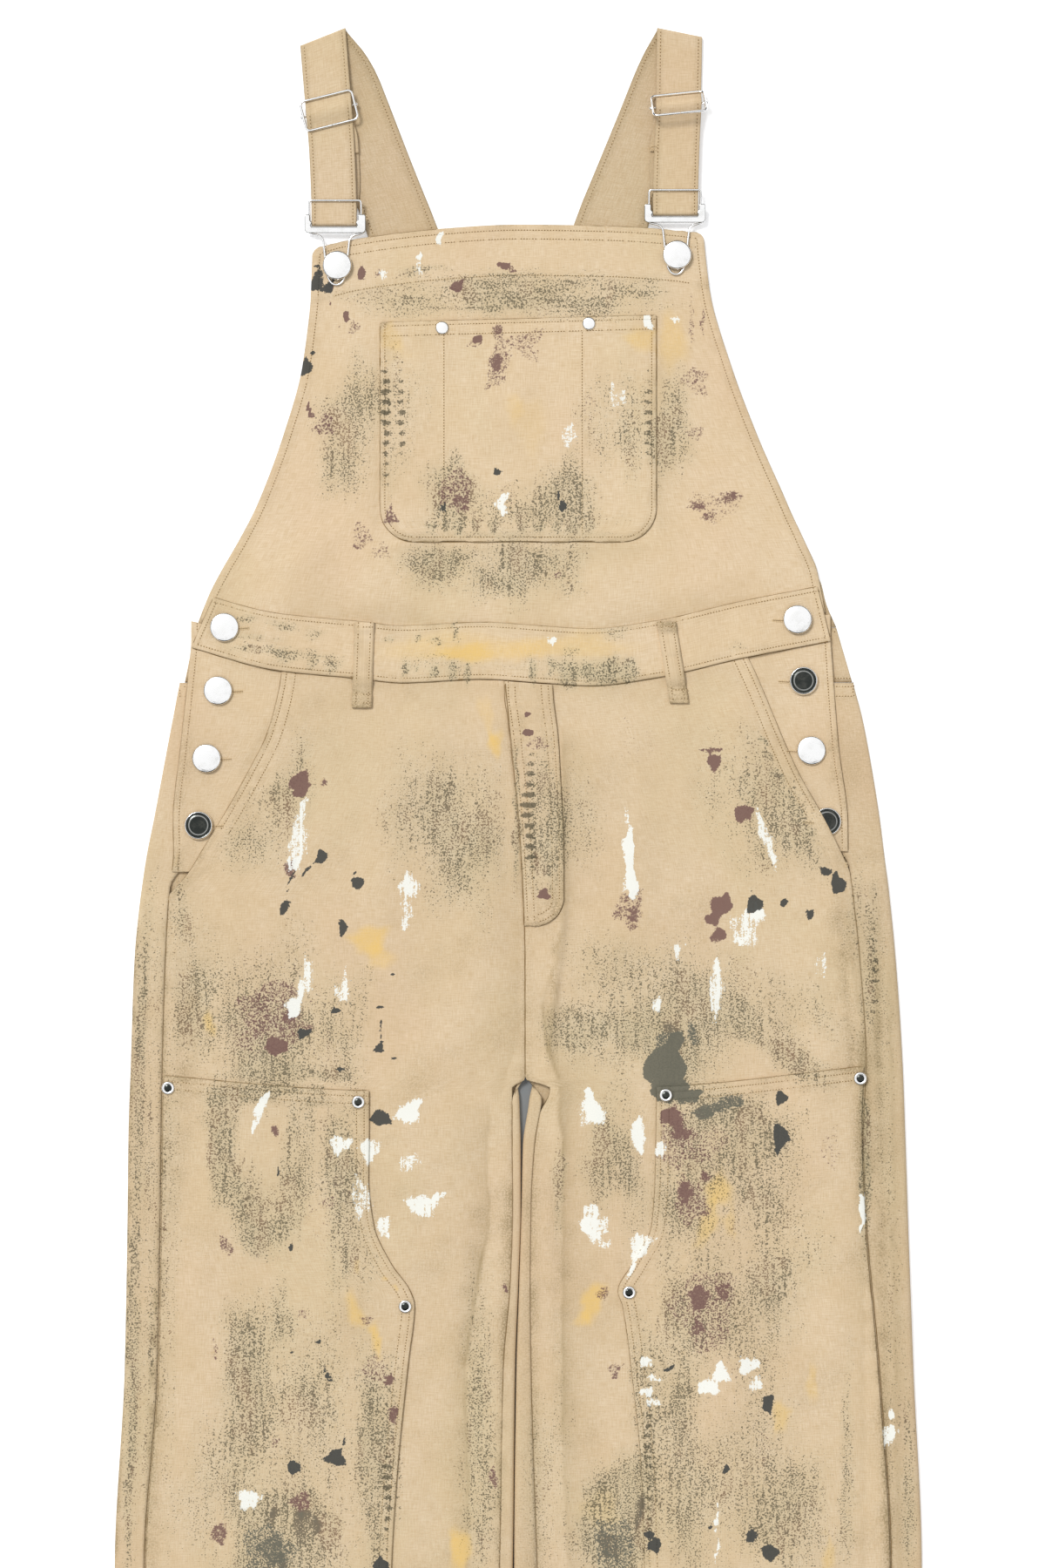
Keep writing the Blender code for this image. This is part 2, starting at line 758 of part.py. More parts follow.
def strap(side, back, front, slider, button):
    """One strip: from the back bib over the shoulder, round the buckle's pin, back up behind itself and
    round the slider's bar."""
    x_of, skew_of = Curve(front, "x"), Curve(front, "skew")
    lines = []
    for row in back:
        inner, outer = Vector((row.in_x, row.in_y, row.z)), Vector((row.out_x, row.out_y, row.z))
        lines.append((outer, inner) if side.sign < 0 else (inner, outer))

    fold_r = 1.1
    fold_y = TOP - fold_r - CLOTH / 2 - abs(front[0].skew) / 2
    fold = [math.radians(mix(-90, 90, i / 4)) for i in range(5)]
    path = [(fold_y + fold_r * math.cos(a), 0.6 + fold_r + fold_r * math.sin(a), 0.0) for a in fold]
    bar, layer = slider.z, 1.5 + 0.1 * (slider.z - 5.0)
    high = slider_wire(slider)
    pin_y, pin_z = button.y + BUCKLE_PIN_Y, BUCKLE_PIN_Z

    def under_bar(off):
        """The height of the strap's way back up, by its distance from the bar."""
        return mix(REST_Z, bar - LOOP_R, smoothstep(-14.0, 0.0, off))

    down = [(high.x + 4.0, high.y - 0.2), (high.x - 2.3, high.y), (2.2, bar + 3.1), (-2.2, bar + 3.1)]
    down += [(off, under_bar(off) + 2 * layer) for off in (-8.0, -10.5, -13.0)]
    down += [(-26.0, pin_z + LOOP_R), (pin_y + 15.0 - slider.y, pin_z + LOOP_R - 0.1)]
    drift = -side.sign * 2.6
    up = [(pin_y + 8.0 - slider.y, REST_Z, 0.0), (pin_y + 24.0 - slider.y, REST_Z, drift)]
    up += [(-24.0, REST_Z, drift), *((off, under_bar(off), 0.0) for off in (-13.0, -10.5, -8.0, -4.0))]
    tail = [(off, under_bar(off) + layer, 0.0) for off in (-6.0, -8.0, -10.5)]
    tail += [(-18.0, REST_Z + 1.5, drift), (-30.0, REST_Z + 1.5, drift)]
    path += [(slider.y + off, z, 0.0) for off, z in down]
    path += [(y, z, 0.0) for y, z in bend(pin_y, pin_z, 90, 270)]
    path += [(slider.y + off, z, shift) for off, z, shift in up]
    path += [(y, z, 0.0) for y, z in bend(slider.y, bar, -90, 140)]
    path += [(slider.y + off, z, shift) for off, z, shift in tail]
    for y, z, shift in path:
        x, rise = x_of(y) + shift, skew_of(y) / 2
        lines.append((Vector((x - STRAP_HALF, y - rise, z)), Vector((x + STRAP_HALF, y + rise, z))))

    def place(column, row):
        return lines[row][0].lerp(lines[row][1], column)

    return cloth("strap_" + side.tag, evenly(1), range(len(lines)), place, offset=0.0)


def slider_wire(slider):
    """Where the strap passes under the slider's upper wire: its distance above the bar, and its height."""
    lean = math.radians(slider.lean)
    centre = SLIDER_BAR_DROP * Vector((math.sin(lean), math.cos(lean)))
    wire_at = centre + SLIDER_HALF.y * Vector((math.cos(lean), -math.sin(lean)))
    return Vector((wire_at.x, slider.z + wire_at.y - LOOP_R))


# Wires, plates and turned pieces


def wire(name, points, closed, finish="steel", radius=WIRE_R):
    """A round wire through points in mm."""
    curve = bpy.data.curves.new(name, "CURVE")
    curve.dimensions = "3D"
    curve.bevel_depth = radius * MM
    curve.bevel_resolution = 2
    curve.use_fill_caps = not closed
    line = curve.splines.new("POLY")
    line.points.add(len(points) - 1)
    for point, place in zip(line.points, points):
        point.co = (*(Vector(place) * MM), 1.0)
    line.use_cyclic_u = closed
    return add_object(name, curve, finish)


def round_rectangle(half_x, half_y, corner, steps=3):
    """The points of a rectangle with round corners, about its middle."""
    points = []
    for quarter, (sx, sy) in enumerate(((1, 1), (-1, 1), (-1, -1), (1, -1))):
        middle = Vector((sx * (half_x - corner), sy * (half_y - corner)))
        for i in range(steps + 1):
            a = math.radians(90 * (quarter + i / steps))
            points.append(middle + corner * Vector((math.cos(a), math.sin(a))))
    return points


def turned(name, profile, place, steps, finish="steel"):
    """A turned piece: the profile's (radius, height) points run from its top down its outer side."""
    mesh = bpy.data.meshes.new(name)
    line = bmesh.new()
    verts = [line.verts.new((r * MM, 0.0, h * MM)) for r, h in profile]
    for start, end in zip(verts, verts[1:]):
        line.edges.new((start, end))
    line.to_mesh(mesh)
    line.free()
    piece = add_object(name, mesh, finish)
    piece.location = Vector(place) * MM
    screw = piece.modifiers.new("Turn", "SCREW")
    screw.steps = steps
    screw.render_steps = steps
    screw.use_merge_vertices = True
    screw.merge_threshold = 0.00001
    screw.use_smooth_shade = True
    return piece


def button(spot, base):
    """A tack button: a domed cap on a short shank, standing on the cloth at height base."""
    rise = BUTTON_T
    profile = ((0, rise), (BUTTON_R - 2.4, rise), (BUTTON_R - 0.6, rise - 0.7), (BUTTON_R, rise - 1.6),
               (BUTTON_R - 1.2, 0.4), (0, 0))
    return turned(spot.name, profile, (spot.x, spot.y, base + SEAM), 16)


def bib_button(spot):
    """The bib's buttons stand higher, so that the buckle's wire loop passes under their caps."""
    shank = 2 * WIRE_R + 2 * SEAM
    rise = shank + BUTTON_T
    profile = ((0, rise), (BUTTON_R - 2.4, rise), (BUTTON_R - 0.6, rise - 0.7), (BUTTON_R, rise - 1.6),
               (BUTTON_R - 1.2, shank + 0.3), (SHANK_R, shank), (SHANK_R, 0), (0, 0))
    base = bib_z(spot.x, spot.y) + CLOTH + SEAM
    return turned(spot.name, profile, (spot.x, spot.y, base), 16)


def rivet(spot, base):
    profile = ((0, RIVET_T), (RIVET_R - 1.6, RIVET_T - 0.3), (RIVET_R, 0.4), (RIVET_R - 0.5, 0), (0, 0))
    return turned(spot.name, profile, (spot.x, spot.y, base + SEAM), 12)


def slider_frame(side, slider):
    """The slider's wire frame, leaning about its bar."""
    place = Matrix.Translation((slider.x, slider.y, slider.z)) @ Matrix.Rotation(
        math.radians(slider.turn), 4, "Z") @ Matrix.Rotation(math.radians(-slider.lean), 4, "X")
    outline = round_rectangle(SLIDER_HALF.x, SLIDER_HALF.y, SLIDER_CORNER)
    points = [place @ Vector((p.x, p.y, SLIDER_BAR_DROP)) for p in outline]
    return wire("slider_frame_" + side.tag, points, closed=True)


def slider_bar(side, slider):
    """The slider's centre bar, with round ends that stand out past the frame."""
    half, ball = SLIDER_HALF.x + 2.2, 1.3
    profile = ((0, half), (ball * 0.8, half - 0.4), (ball, half - 1.3), (WIRE_R, half - 2.4),
               (WIRE_R, 2.4 - half), (ball, 1.3 - half), (ball * 0.8, 0.4 - half), (0, -half))
    piece = turned("slider_bar_" + side.tag, profile, (slider.x, slider.y, slider.z), 10)
    piece.rotation_euler = (0.0, math.radians(90), math.radians(slider.turn))
    return piece


def buckle(side, spot):
    """A bib buckle: the frame that holds the strap, the plate across it and the loop round the button."""
    middle = spot.x + BUCKLE_SHIFT
    top, pin = spot.y + BUCKLE_TOP_Y, spot.y + BUCKLE_PIN_Y
    outline = round_rectangle(BUCKLE_HALF, (top - pin) / 2, 1.8)
    points = []
    for p in outline:
        y = (top + pin) / 2 + p.y
        points.append((middle + p.x, y, mix(BUCKLE_PIN_Z, BUCKLE_TOP_Z, (y - pin) / (top - pin))))
    wire("buckle_frame_" + side.tag, points, closed=True)
    buckle_plate(side, middle, spot.y)
    buckle_loop(side, spot)


def buckle_plate(side, middle, base):
    """A flat plate: a bar across under the strap's loop, with an ear up each side."""
    half, ear = 21.0, STRAP_HALF + 1.0
    low, bar, high = base + 22.2, base + 26.2, base + 34.8
    strap_middle = -0.8 * (side.sign < 0)
    outline = ((-half + 2, low), (half - 2, low), (half, low + 2), (half, high), (ear + strap_middle, high),
               (ear + strap_middle, bar), (-ear + strap_middle, bar), (-ear + strap_middle, high),
               (-half, high), (-half, low + 2))
    curve = bpy.data.curves.new("buckle_plate_" + side.tag, "CURVE")
    curve.dimensions = "2D"
    curve.fill_mode = "BOTH"
    curve.extrude = 0.45 * MM
    line = curve.splines.new("POLY")
    line.points.add(len(outline) - 1)
    for point, (x, y) in zip(line.points, outline):
        point.co = (x * MM, (y - low) * MM, 0.0, 1.0)
    line.use_cyclic_u = True
    piece = add_object("buckle_plate_" + side.tag, curve, "steel")
    piece.location = Vector((middle, low, 6.0)) * MM
    piece.rotation_euler.x = math.radians(6.0)
    return piece


class LoopPoint(NamedTuple):
    """Half of the wire loop round a bib button, from under the plate to its tip."""

    x: float
    y: float
    z: float


LOOP_HALF = (
    LoopPoint(19.6, 24.0, 4.4),
    LoopPoint(17.4, 21.8, 4.5),
    LoopPoint(12.0, 21.0, 4.5),
    LoopPoint(9.2, 18.6, 4.5),
    LoopPoint(8.6, 14.0, 4.5),
    LoopPoint(7.6, 4.0, 4.5),
    LoopPoint(6.2, -7.0, 4.5),
    LoopPoint(3.8, -12.0, 4.5),
)


def buckle_loop(side, spot):
    tip = (spot.x + BUCKLE_SHIFT / 2, spot.y - 13.6, 4.5)
    shift = BUCKLE_SHIFT / 2
    left = [(spot.x + shift - p.x, spot.y + p.y, p.z) for p in LOOP_HALF]
    right = [(spot.x + shift + p.x, spot.y + p.y, p.z) for p in reversed(LOOP_HALF)]
    return wire("buckle_loop_" + side.tag, [*left, tip, *right], closed=False)


def build_cloth():
    for side in SIDES:
        back_leg(side)
        front_leg(side)
        side_facing(side)
        knee_patch(side)
    fly()
    back_bib()
    front_bib()
    bib_pocket()
    waistband_back()
    waistband_front()
    for loop in LOOPS:
        belt_loop(loop)
    strap(LEFT, LEFT_STRAP_BACK, LEFT_STRAP_FRONT, LEFT_SLIDER, BIB_BUTTONS[0])
    strap(RIGHT, RIGHT_STRAP_BACK, RIGHT_STRAP_FRONT, RIGHT_SLIDER, BIB_BUTTONS[1])


def build_hardware():
    for side, slider, spot in zip(SIDES, (LEFT_SLIDER, RIGHT_SLIDER), BIB_BUTTONS):
        slider_frame(side, slider)
        slider_bar(side, slider)
        buckle(side, spot)
        bib_button(spot)
    for spot in SIDE_BUTTONS:
        on_band = spot.y > 330
        button(spot, waist_z(spot.x) + BAND_LIFT + CLOTH if on_band else FACING_Z + CLOTH)
    for spot in POCKET_RIVETS:
        rivet(spot, bib_z(spot.x, spot.y) + LAYER + CLOTH)
    for spot in KNEE_RIVETS:
        rivet(spot, FRONT_Z + LAYER + CLOTH)


for leftover in list(bpy.data.objects):
    bpy.data.objects.remove(leftover, do_unlink=True)
parts = make_collection(NAME)
build_cloth()
build_hardware()
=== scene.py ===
"""Paint-spattered bib overalls in cotton canvas, laid flat and face up: their looks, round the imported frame.

The frame: +X to the garment's side on the right as seen from above, +Y from the hems to the straps, +Z up,
and the floor at z = 0. Tables and sizes are in millimetres, and meshes are made in metres. Names end in _l
for -X and _r for +X.
"""

import logging
import math
from dataclasses import dataclass, field
from enum import Enum
from typing import Callable, Dict, Iterable, List, NamedTuple, Optional, Sequence, Tuple, Union

import bmesh
import bpy
import numpy as np
from mathutils import Matrix, Vector
from mathutils.bvhtree import BVHTree


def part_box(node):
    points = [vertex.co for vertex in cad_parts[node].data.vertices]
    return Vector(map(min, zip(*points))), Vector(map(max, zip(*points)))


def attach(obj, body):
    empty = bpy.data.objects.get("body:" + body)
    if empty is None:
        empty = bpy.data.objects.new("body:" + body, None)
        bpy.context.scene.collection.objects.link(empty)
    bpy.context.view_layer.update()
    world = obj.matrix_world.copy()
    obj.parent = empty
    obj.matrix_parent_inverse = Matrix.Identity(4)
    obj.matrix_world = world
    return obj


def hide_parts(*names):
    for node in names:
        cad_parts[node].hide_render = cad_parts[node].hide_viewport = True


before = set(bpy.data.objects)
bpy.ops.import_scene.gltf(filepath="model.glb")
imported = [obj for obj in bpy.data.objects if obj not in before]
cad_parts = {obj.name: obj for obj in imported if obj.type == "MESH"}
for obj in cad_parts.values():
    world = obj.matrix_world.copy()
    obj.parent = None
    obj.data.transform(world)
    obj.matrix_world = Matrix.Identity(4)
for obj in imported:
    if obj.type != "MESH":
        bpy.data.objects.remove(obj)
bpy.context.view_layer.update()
log = logging.getLogger("overalls")

Array = np.ndarray
Number = Union[float, Array]
Pair = Tuple[float, float]
Triple = Tuple[float, float, float]
Line = Tuple[Array, Array]
Points = Tuple[Array, Array, Array]
Place = Callable[[Array, Array], Points]
Mesh = bpy.types.Mesh
Piece = bpy.types.Object
Material = bpy.types.Material
Socket = bpy.types.NodeSocket
Shape = bmesh.types.BMesh
Term = Union["Value", float]
Run = List[Tuple[float, ...]]

MM = 0.001
TAU = 2 * math.pi

# Cloth
CLOTH = 1.2  # one layer of canvas
SEAM = 0.3  # between two pieces that meet edge to edge
LAYER = 1.6  # a layer, and the little that lies between it and the next
HIDDEN_GAP = 1.2  # from the waist's middle to the pieces that meet under the band

# Heights of undersides over the floor
FRONT_Z = 4.8
FACING_Z = 3.3
HIP_FOLD = 3.0
LEG_FOLD = FRONT_Z + CLOTH
WAIST_DROP = FRONT_Z - FACING_Z

# Lengths along the garment
TOP = 757.0
HEM = -757.0
BACK_TOP = 306.0
WAISTBAND_HALF = 19.3
BAND_LIFT = LAYER + 0.2
BACK_BAND_TOP = 344.0
CROTCH = 29.0
PATCH_BOTTOM = -517.0
POCKET_LOW = 403.0
POCKET_HIGH = 556.0
POCKET_CORNER = 23.0

# Hardware
BUTTON_R = 10.0
BUTTON_T = 2.9
SHANK_R = 2.2
RIVET_R = 4.7
RIVET_T = 1.6
WIRE_R = 0.8
STRAP_HALF = 15.5
LOOP_R = WIRE_R + SEAM + CLOTH / 2  # middle of a strap that is folded round a wire
REST_Z = 2.2  # middle of a strap's way back up behind itself


def table_of(kind: Callable[..., NamedTuple], *rows: Sequence[float]) -> Tuple[NamedTuple, ...]:
    """A table of rows of one kind."""
    return tuple(kind(*row) for row in rows)


class Outer(NamedTuple):
    """The leg's outer side at one height: the fold, and the seam or placket edge on the front."""

    y: float
    left_fold: float
    left_seam: float
    right_seam: float
    right_fold: float


OUTER = table_of(
    Outer, (330, -226, -224.6, 214.8, 226), (306, -232.9, -227.2, 216.8, 230.6),
    (284, -237.2, -229.6, 218.4, 236.4), (260, -241.8, -232.2, 220.4, 241.2),
    (212, -250.8, -237, 226.4, 249), (188, -255.6, -236.8, 226.8, 252), (164, -259.2, -239.6, 229.6, 255),
    (116, -264, -242.4, 234.8, 259.8), (44, -266.6, -244.6, 239.2, 264.6),
    (-4, -268.2, -245.4, 237.2, 266.4), (-60, -268.8, -246, 239.2, 268.2),
    (-166, -270.8, -248, 248.4, 272), (-300, -277.6, -256.9, 256.6, 277.8), (HEM, -279, -259, 259, 279),
)


class Inner(NamedTuple):
    """The legs' inner sides at one height, below the crotch."""

    y: float
    left_seam: float
    left_fold: float
    right_fold: float
    right_seam: float


INNER = table_of(
    Inner, (40, -4.2, 0.6, 8.4, 17.4), (22, -4.2, 0.8, 7.8, 16.6), (-12, -4.2, 1.8, 3.2, 11.4),
    (-52, -3.8, 1.9, 2.3, 9), (-108, -5.6, 0.2, 0.6, 8.4), (-164, -10.2, -2, -1.2, 9),
    (-300, -12.8, -3.6, -2.8, 13.2), (HEM, -27, -15, 15, 29),
)


class Across(NamedTuple):
    """Where a line that runs down the garment lies, on the left and on the right."""

    y: float
    left: float
    right: float


# The hand pockets' slanted edges
SLANT = table_of(
    Across, (330, -158.5, 147), (313, -161.4, 155.6), (298, -163.8, 163.5), (270, -171.8, 178.2),
    (242, -186.8, 193.4), (219, -199.8, 206.4), (190, -217.5, 221.4), (176, -226, 227.8),
    (160, -240, 234), (140, -262, 262),
)
BIB_SIDE = table_of(
    Across, (616, -141.4, 127.6), (603, -141.8, 128.8), (572, -142.8, 132.6), (524, -148.2, 146.4),
    (476, -161.4, 164.4), (428, -179.4, 185.4), (380, -203.4, 204.6), (347, -214, 208.4),
    (330, -218, 211),
)
# The back bib: hidden behind the bib but for its lowest corners
BACK_SIDE = table_of(
    Across, (BACK_BAND_TOP, -221.5, 219), (361, -215, 211.8), (377, -205, 207.6), (400, -178, 178),
    (430, -130, 130), (460, -92, 92), (506, -66, 66),
)
# The knee patches' inner edges
PATCH = table_of(
    Across, (31, -102.6, 95.4), (-4, -102.6, 94.9), (-34, -103, 94.4), (-67, -99.4, 92), (-93, -87.6, 79),
    (-112, -74.4, 68.8), (-122, -71.4, 72), (-160, -75.6, 77.4), (-238, -83.4, 85.2), (-300, -87.2, 87.2),
    (PATCH_BOTTOM, -92, 92),
)


class Along(NamedTuple):
    """Where a line that runs across the garment, or down its middle, lies."""

    x: float
    y: float


# The middle of the front waistband
WAIST = table_of(
    Along, (-226, 350), (-165, 334), (-109, 328.5), (-80, 325.5), (-25, 328), (15, 325.5), (50, 323.5),
    (95, 329), (152, 342), (216, 354.5),
)
BIB_TOP = table_of(
    Along, (-142, 603.5), (-120, 609.5), (-54, 618), (0, 621), (62, 620), (110, 617), (128, 614.5),
)
# The centre front seam, from the waist to the crotch
CENTRE = table_of(
    Along, (-9.4, 345), (-9, 309), (-7.2, 289), (-4.2, 258), (0, 217), (3, 171), (4.7, 118), (4.8, 28),
)
# The fly's outer edge, which curves in to the seam at its end
FLY_EDGE = table_of(
    Along, (22.6, 330), (24.6, 300), (28.6, 250), (30.8, 200), (31.2, 158), (28.4, 148), (20, 141),
    (6.6, 137),
)
PATCH_TOP = table_of(
    Along, (-246, 36), (-102, 25.6), (94, 28.2), (241, 42.6),
)


class Height(NamedTuple):
    """The height of the bib's underside in its middle and at its side edges."""

    y: float
    middle: float
    edge: float


BIB_HEIGHT = table_of(
    Height, (622, 1.8, 1.6), (590, 2.2, 1.7), (540, 3.3, 1.8), (500, 3.6, 1.9), (420, 3.8, 2.2),
    (372, 4.6, 3.2),
)


class Crease(NamedTuple):
    """A soft trough down a leg: how far it lies from the inseam, and how deep it is."""

    y: float
    left_at: float
    left_depth: float
    right_at: float
    right_depth: float


CREASE = table_of(
    Crease, (20, 17, 0, 15, 0), (-30, 17, 0.8, 20, 1.8), (-90, 19, 1.9, 22, 2), (-140, 22, 2, 22, 1.4),
    (-190, 25, 1.7, 28, 0.6), (-250, 24, 0.9, 30, 0), (-310, 24, 0, 30, 0),
)
CREASE_WIDTH = 9.0


class Spot(NamedTuple):
    """The middle of a button or rivet, and whether it has gone dark."""

    name: str
    x: float
    y: float
    dark: bool = False


BIB_BUTTONS = table_of(
    Spot, ("bib_button_l", -124.4, 592.8), ("bib_button_r", 109.2, 600),
)
SIDE_BUTTONS = table_of(
    Spot, ("side_button_l1", -201.8, 344), ("side_button_l2", -206.4, 300.6),
    ("side_button_l3", -214.2, 254), ("side_button_l4", -219.7, 208, True),
    ("side_button_r1", 191.9, 349.4), ("side_button_r2", 196.1, 307.4, True),
    ("side_button_r3", 201.6, 259.4), ("side_button_r4", 212.4, 210.6, True),
)
POCKET_RIVETS = table_of(
    Spot, ("pocket_rivet_l", -52.2, 549.6), ("pocket_rivet_r", 48.6, 552.6),
)
KNEE_RIVETS = table_of(
    Spot, ("knee_rivet_l1", -240.5, 27.6, True), ("knee_rivet_l2", -109.8, 18, True),
    ("knee_rivet_l3", -77.6, -122.4, True), ("knee_rivet_r1", 101.4, 22.8, True),
    ("knee_rivet_r2", 235, 34.2, True), ("knee_rivet_r3", 76.2, -112.8, True),
)
TUCKED_BUTTON = SIDE_BUTTONS[-1]  # it lies half under the pocket's edge, which rides up over it
TUCKED_RISE = 4.0
TUCKED_REACH = 24.0


class StrapBack(NamedTuple):
    """A cross line of a strap's back part: its edge towards the middle, its outer edge, its height."""

    in_x: float
    in_y: float
    out_x: float
    out_y: float
    z: float


LEFT_STRAP_BACK = table_of(
    StrapBack, (-13, 494, -66, 480, 2.3), (-19, 516, -70, 504, 2.3), (-27, 540, -76, 530, 0.6),
    (-54.8, 618, -101.6, 609, 0.6), (-72, 660, -117, 650, 0.6), (-86.6, 698, -131, 690, 0.6),
    (-100.6, 734, -143, 722, 0.6),
)
RIGHT_STRAP_BACK = table_of(
    StrapBack, (2, 494, 58, 480, 2.3), (8, 516, 62, 504, 2.3), (13, 540, 66, 530, 0.6),
    (37.4, 621, 87, 613, 0.6), (55.4, 664, 101, 656, 0.6), (71, 702, 113.5, 696, 0.6),
    (84, 735, 123, 730, 0.6),
)


class StrapFront(NamedTuple):
    """A strap's front part: the middle, and how much higher its +X edge lies than its -X edge."""

    y: float
    x: float
    skew: float


LEFT_STRAP_FRONT = table_of(
    StrapFront, (755, -134.4, 12.6), (745, -134.2, 12), (699, -130, 8), (640, -126.6, 0),
    (610, -126.6, 0),
)
RIGHT_STRAP_FRONT = table_of(
    StrapFront, (755, 111.2, -6.6), (745, 111, -5), (702, 110.3, 3.4), (650, 108.3, 0), (610, 108.1, 0),
)


class Slider(NamedTuple):
    """A strap slider: the middle of its centre bar, its turn seen from above, and how its frame leans."""

    x: float
    y: float
    z: float
    turn: float
    lean: float


LEFT_SLIDER = Slider(-130.0, 699.0, 5.0, 14.0, 0.0)
RIGHT_SLIDER = Slider(110.3, 702.0, 9.0, 6.0, 40.0)
SLIDER_HALF = Vector((18.2, 10.3))
SLIDER_CORNER = 3.0
SLIDER_BAR_DROP = 2.0

BUCKLE_PIN_Y = 29.4  # above the bib button
BUCKLE_PIN_Z = 3.9
BUCKLE_TOP_Y = 44.4
BUCKLE_TOP_Z = 7.2
BUCKLE_SHIFT = -1.4  # the buckle's middle beside the button's
BUCKLE_HALF = 17.8


class LoopPoint(NamedTuple):
    """Half of the wire loop round a bib button, from under the plate to its tip."""

    x: float
    y: float
    z: float


LOOP_HALF = table_of(
    LoopPoint, (19.6, 24, 4.4), (17.4, 21.8, 4.5), (12, 21, 4.5), (9.2, 18.6, 4.5), (8.6, 14, 4.5),
    (7.6, 4, 4.5), (6.2, -7, 4.5), (3.8, -12, 4.5),
)
LOOP_TIP = LoopPoint(0.0, -13.6, 4.5)


class BeltLoop(NamedTuple):
    """A belt loop: the middle of its upper and lower ends, and half its width."""

    tag: str
    top: Pair
    bottom: Pair
    half: float


BELT_LOOPS = (
    BeltLoop("l", (-105.4, 347.0), (-107.4, 289.0), 6.6),
    BeltLoop("r", (101.8, 347.5), (110.8, 292.0), 6.4),
)


class Curve:
    """A smooth line through one column of a table, against another, that never overshoots its rows."""

    def __init__(self, rows: Sequence[NamedTuple], column: str, key: str = "y") -> None:
        """Reads the table.

        Args:
            rows: The table's rows.
            column: The column that the curve gives.
            key: The column that the curve runs along.
        """
        pairs = np.array(sorted((getattr(row, key), getattr(row, column)) for row in rows), float)
        self.at, self.value = pairs.T
        rise = np.diff(self.value) / np.diff(self.at)
        product = rise[:-1] * rise[1:]
        total = np.where(product > 0, rise[:-1] + rise[1:], 1.0)
        inner = np.where(product > 0, 2 * product / total, 0.0)
        self.slope = np.concatenate([rise[:1], inner, rise[-1:]])

    def __call__(self, t: Number) -> Array:
        """The curve's value at t, or at its nearest end beyond the table."""
        t = np.clip(np.asarray(t, float), self.at[0], self.at[-1])
        i = np.clip(np.searchsorted(self.at, t, side="right") - 1, 0, len(self.at) - 2)
        span = self.at[i + 1] - self.at[i]
        s = (t - self.at[i]) / span
        start = self.value[i] * (1 + 2 * s) * (1 - s) ** 2 + self.slope[i] * span * s * (1 - s) ** 2
        end = self.value[i + 1] * s * s * (3 - 2 * s) - self.slope[i + 1] * span * s * s * (1 - s)
        return start + end


def smoothstep(low: float, high: float, t: Number) -> Array:
    """0 below low, 1 above high, and smooth between."""
    s = np.clip((np.asarray(t, float) - low) / (high - low), 0.0, 1.0)
    return s * s * (3 - 2 * s)


def mix(a: Number, b: Number, t: Number) -> Number:
    """a where t is 0, b where t is 1."""
    return a + (b - a) * t


def bump(off: Array, width: float) -> Array:
    """A soft bell, 1 in its middle, width to each side."""
    return np.exp(-((off / width) ** 2))


def swirl(x: Array, y: Array, wavelength: float, seed: int, waves: int = 9) -> Array:
    """A smooth, uneven swell between about -1 and 1, from plane waves in seeded directions.

    Args:
        x: Across the garment.
        y: Along the garment.
        wavelength: The swell's usual length from crest to crest.
        seed: What sets the directions, lengths and phases.
        waves: How many plane waves are added up.
    """
    rng = np.random.default_rng(seed)
    angle, phase = rng.uniform(0, TAU, waves), rng.uniform(0, TAU, waves)
    scale = rng.uniform(0.7, 1.45, waves)
    total = np.zeros(np.broadcast(x, y).shape)
    for a, p, k in zip(angle, phase, scale):
        total += np.sin((x * math.cos(a) + y * math.sin(a)) * TAU * k / wavelength + p)
    return total / math.sqrt(waves)


waist_y = Curve(WAIST, "y", "x")
bib_top_y = Curve(BIB_TOP, "y", "x")
centre_x = Curve(CENTRE, "x")
fly_x = Curve(FLY_EDGE, "x")
bib_left, bib_right = Curve(BIB_SIDE, "left"), Curve(BIB_SIDE, "right")
bib_middle_z, bib_edge_z = Curve(BIB_HEIGHT, "middle"), Curve(BIB_HEIGHT, "edge")
patch_top_y = Curve(PATCH_TOP, "y", "x")


class Fold(NamedTuple):
    """A soft fold across the cloth, from one end to the other: a ridge, or a trough where it is negative."""

    x0: float
    y0: float
    x1: float
    y1: float
    width: float
    height: float


FOLDS = table_of(
    Fold, (30.8, 255, 30.4, 150, 3, 1.1), (30.4, 150, 21, 52, 3.4, 1.6), (27, 30, 30.5, -40, 5, 1),
    (-9, 250, -6, 130, 6, -0.8), (-60, 300, -90, 150, 22, 1.1), (60, 300, 92, 120, 22, 1),
    (120, 280, 150, 150, 16, -0.8), (-130, 270, -150, 120, 18, -0.8), (-20, 120, -60, -20, 20, 1.1),
    (10, 110, 60, -30, 20, 1), (-200, 120, -215, -120, 16, 0.9), (200, 120, 215, -140, 16, 0.9),
    (-130, -40, -140, -300, 24, 1), (130, -60, 150, -300, 24, 1), (-50, -80, -60, -320, 16, -0.9),
    (52, -100, 55, -330, 16, -0.9), (-135, -330, -120, -700, 30, 1.2), (140, -330, 120, -700, 30, 1.2),
    (-190, -400, -205, -740, 20, -1), (190, -380, 205, -740, 20, -1), (-118, 560, -150, 440, 12, 0.7),
    (105, 560, 140, 450, 12, 0.7), (-60, 400, -30, 352, 10, -0.7), (50, 398, 20, 352, 10, -0.7),
    (-120, 420, -175, 360, 14, 0.7), (120, 420, 160, 365, 14, 0.7),
)


# The unevenness of worn canvas: height, how far drawn out along the garment, length, and seed
SWELLS = ((0.8, 0.45, 110, 3), (0.3, 0.6, 42, 4), (0.08, 1.0, 17, 5))
FOLD_GAIN = 1.4
HOLLOW_GAIN = 0.7  # hollows are shallower than ridges are high, because layers lie below


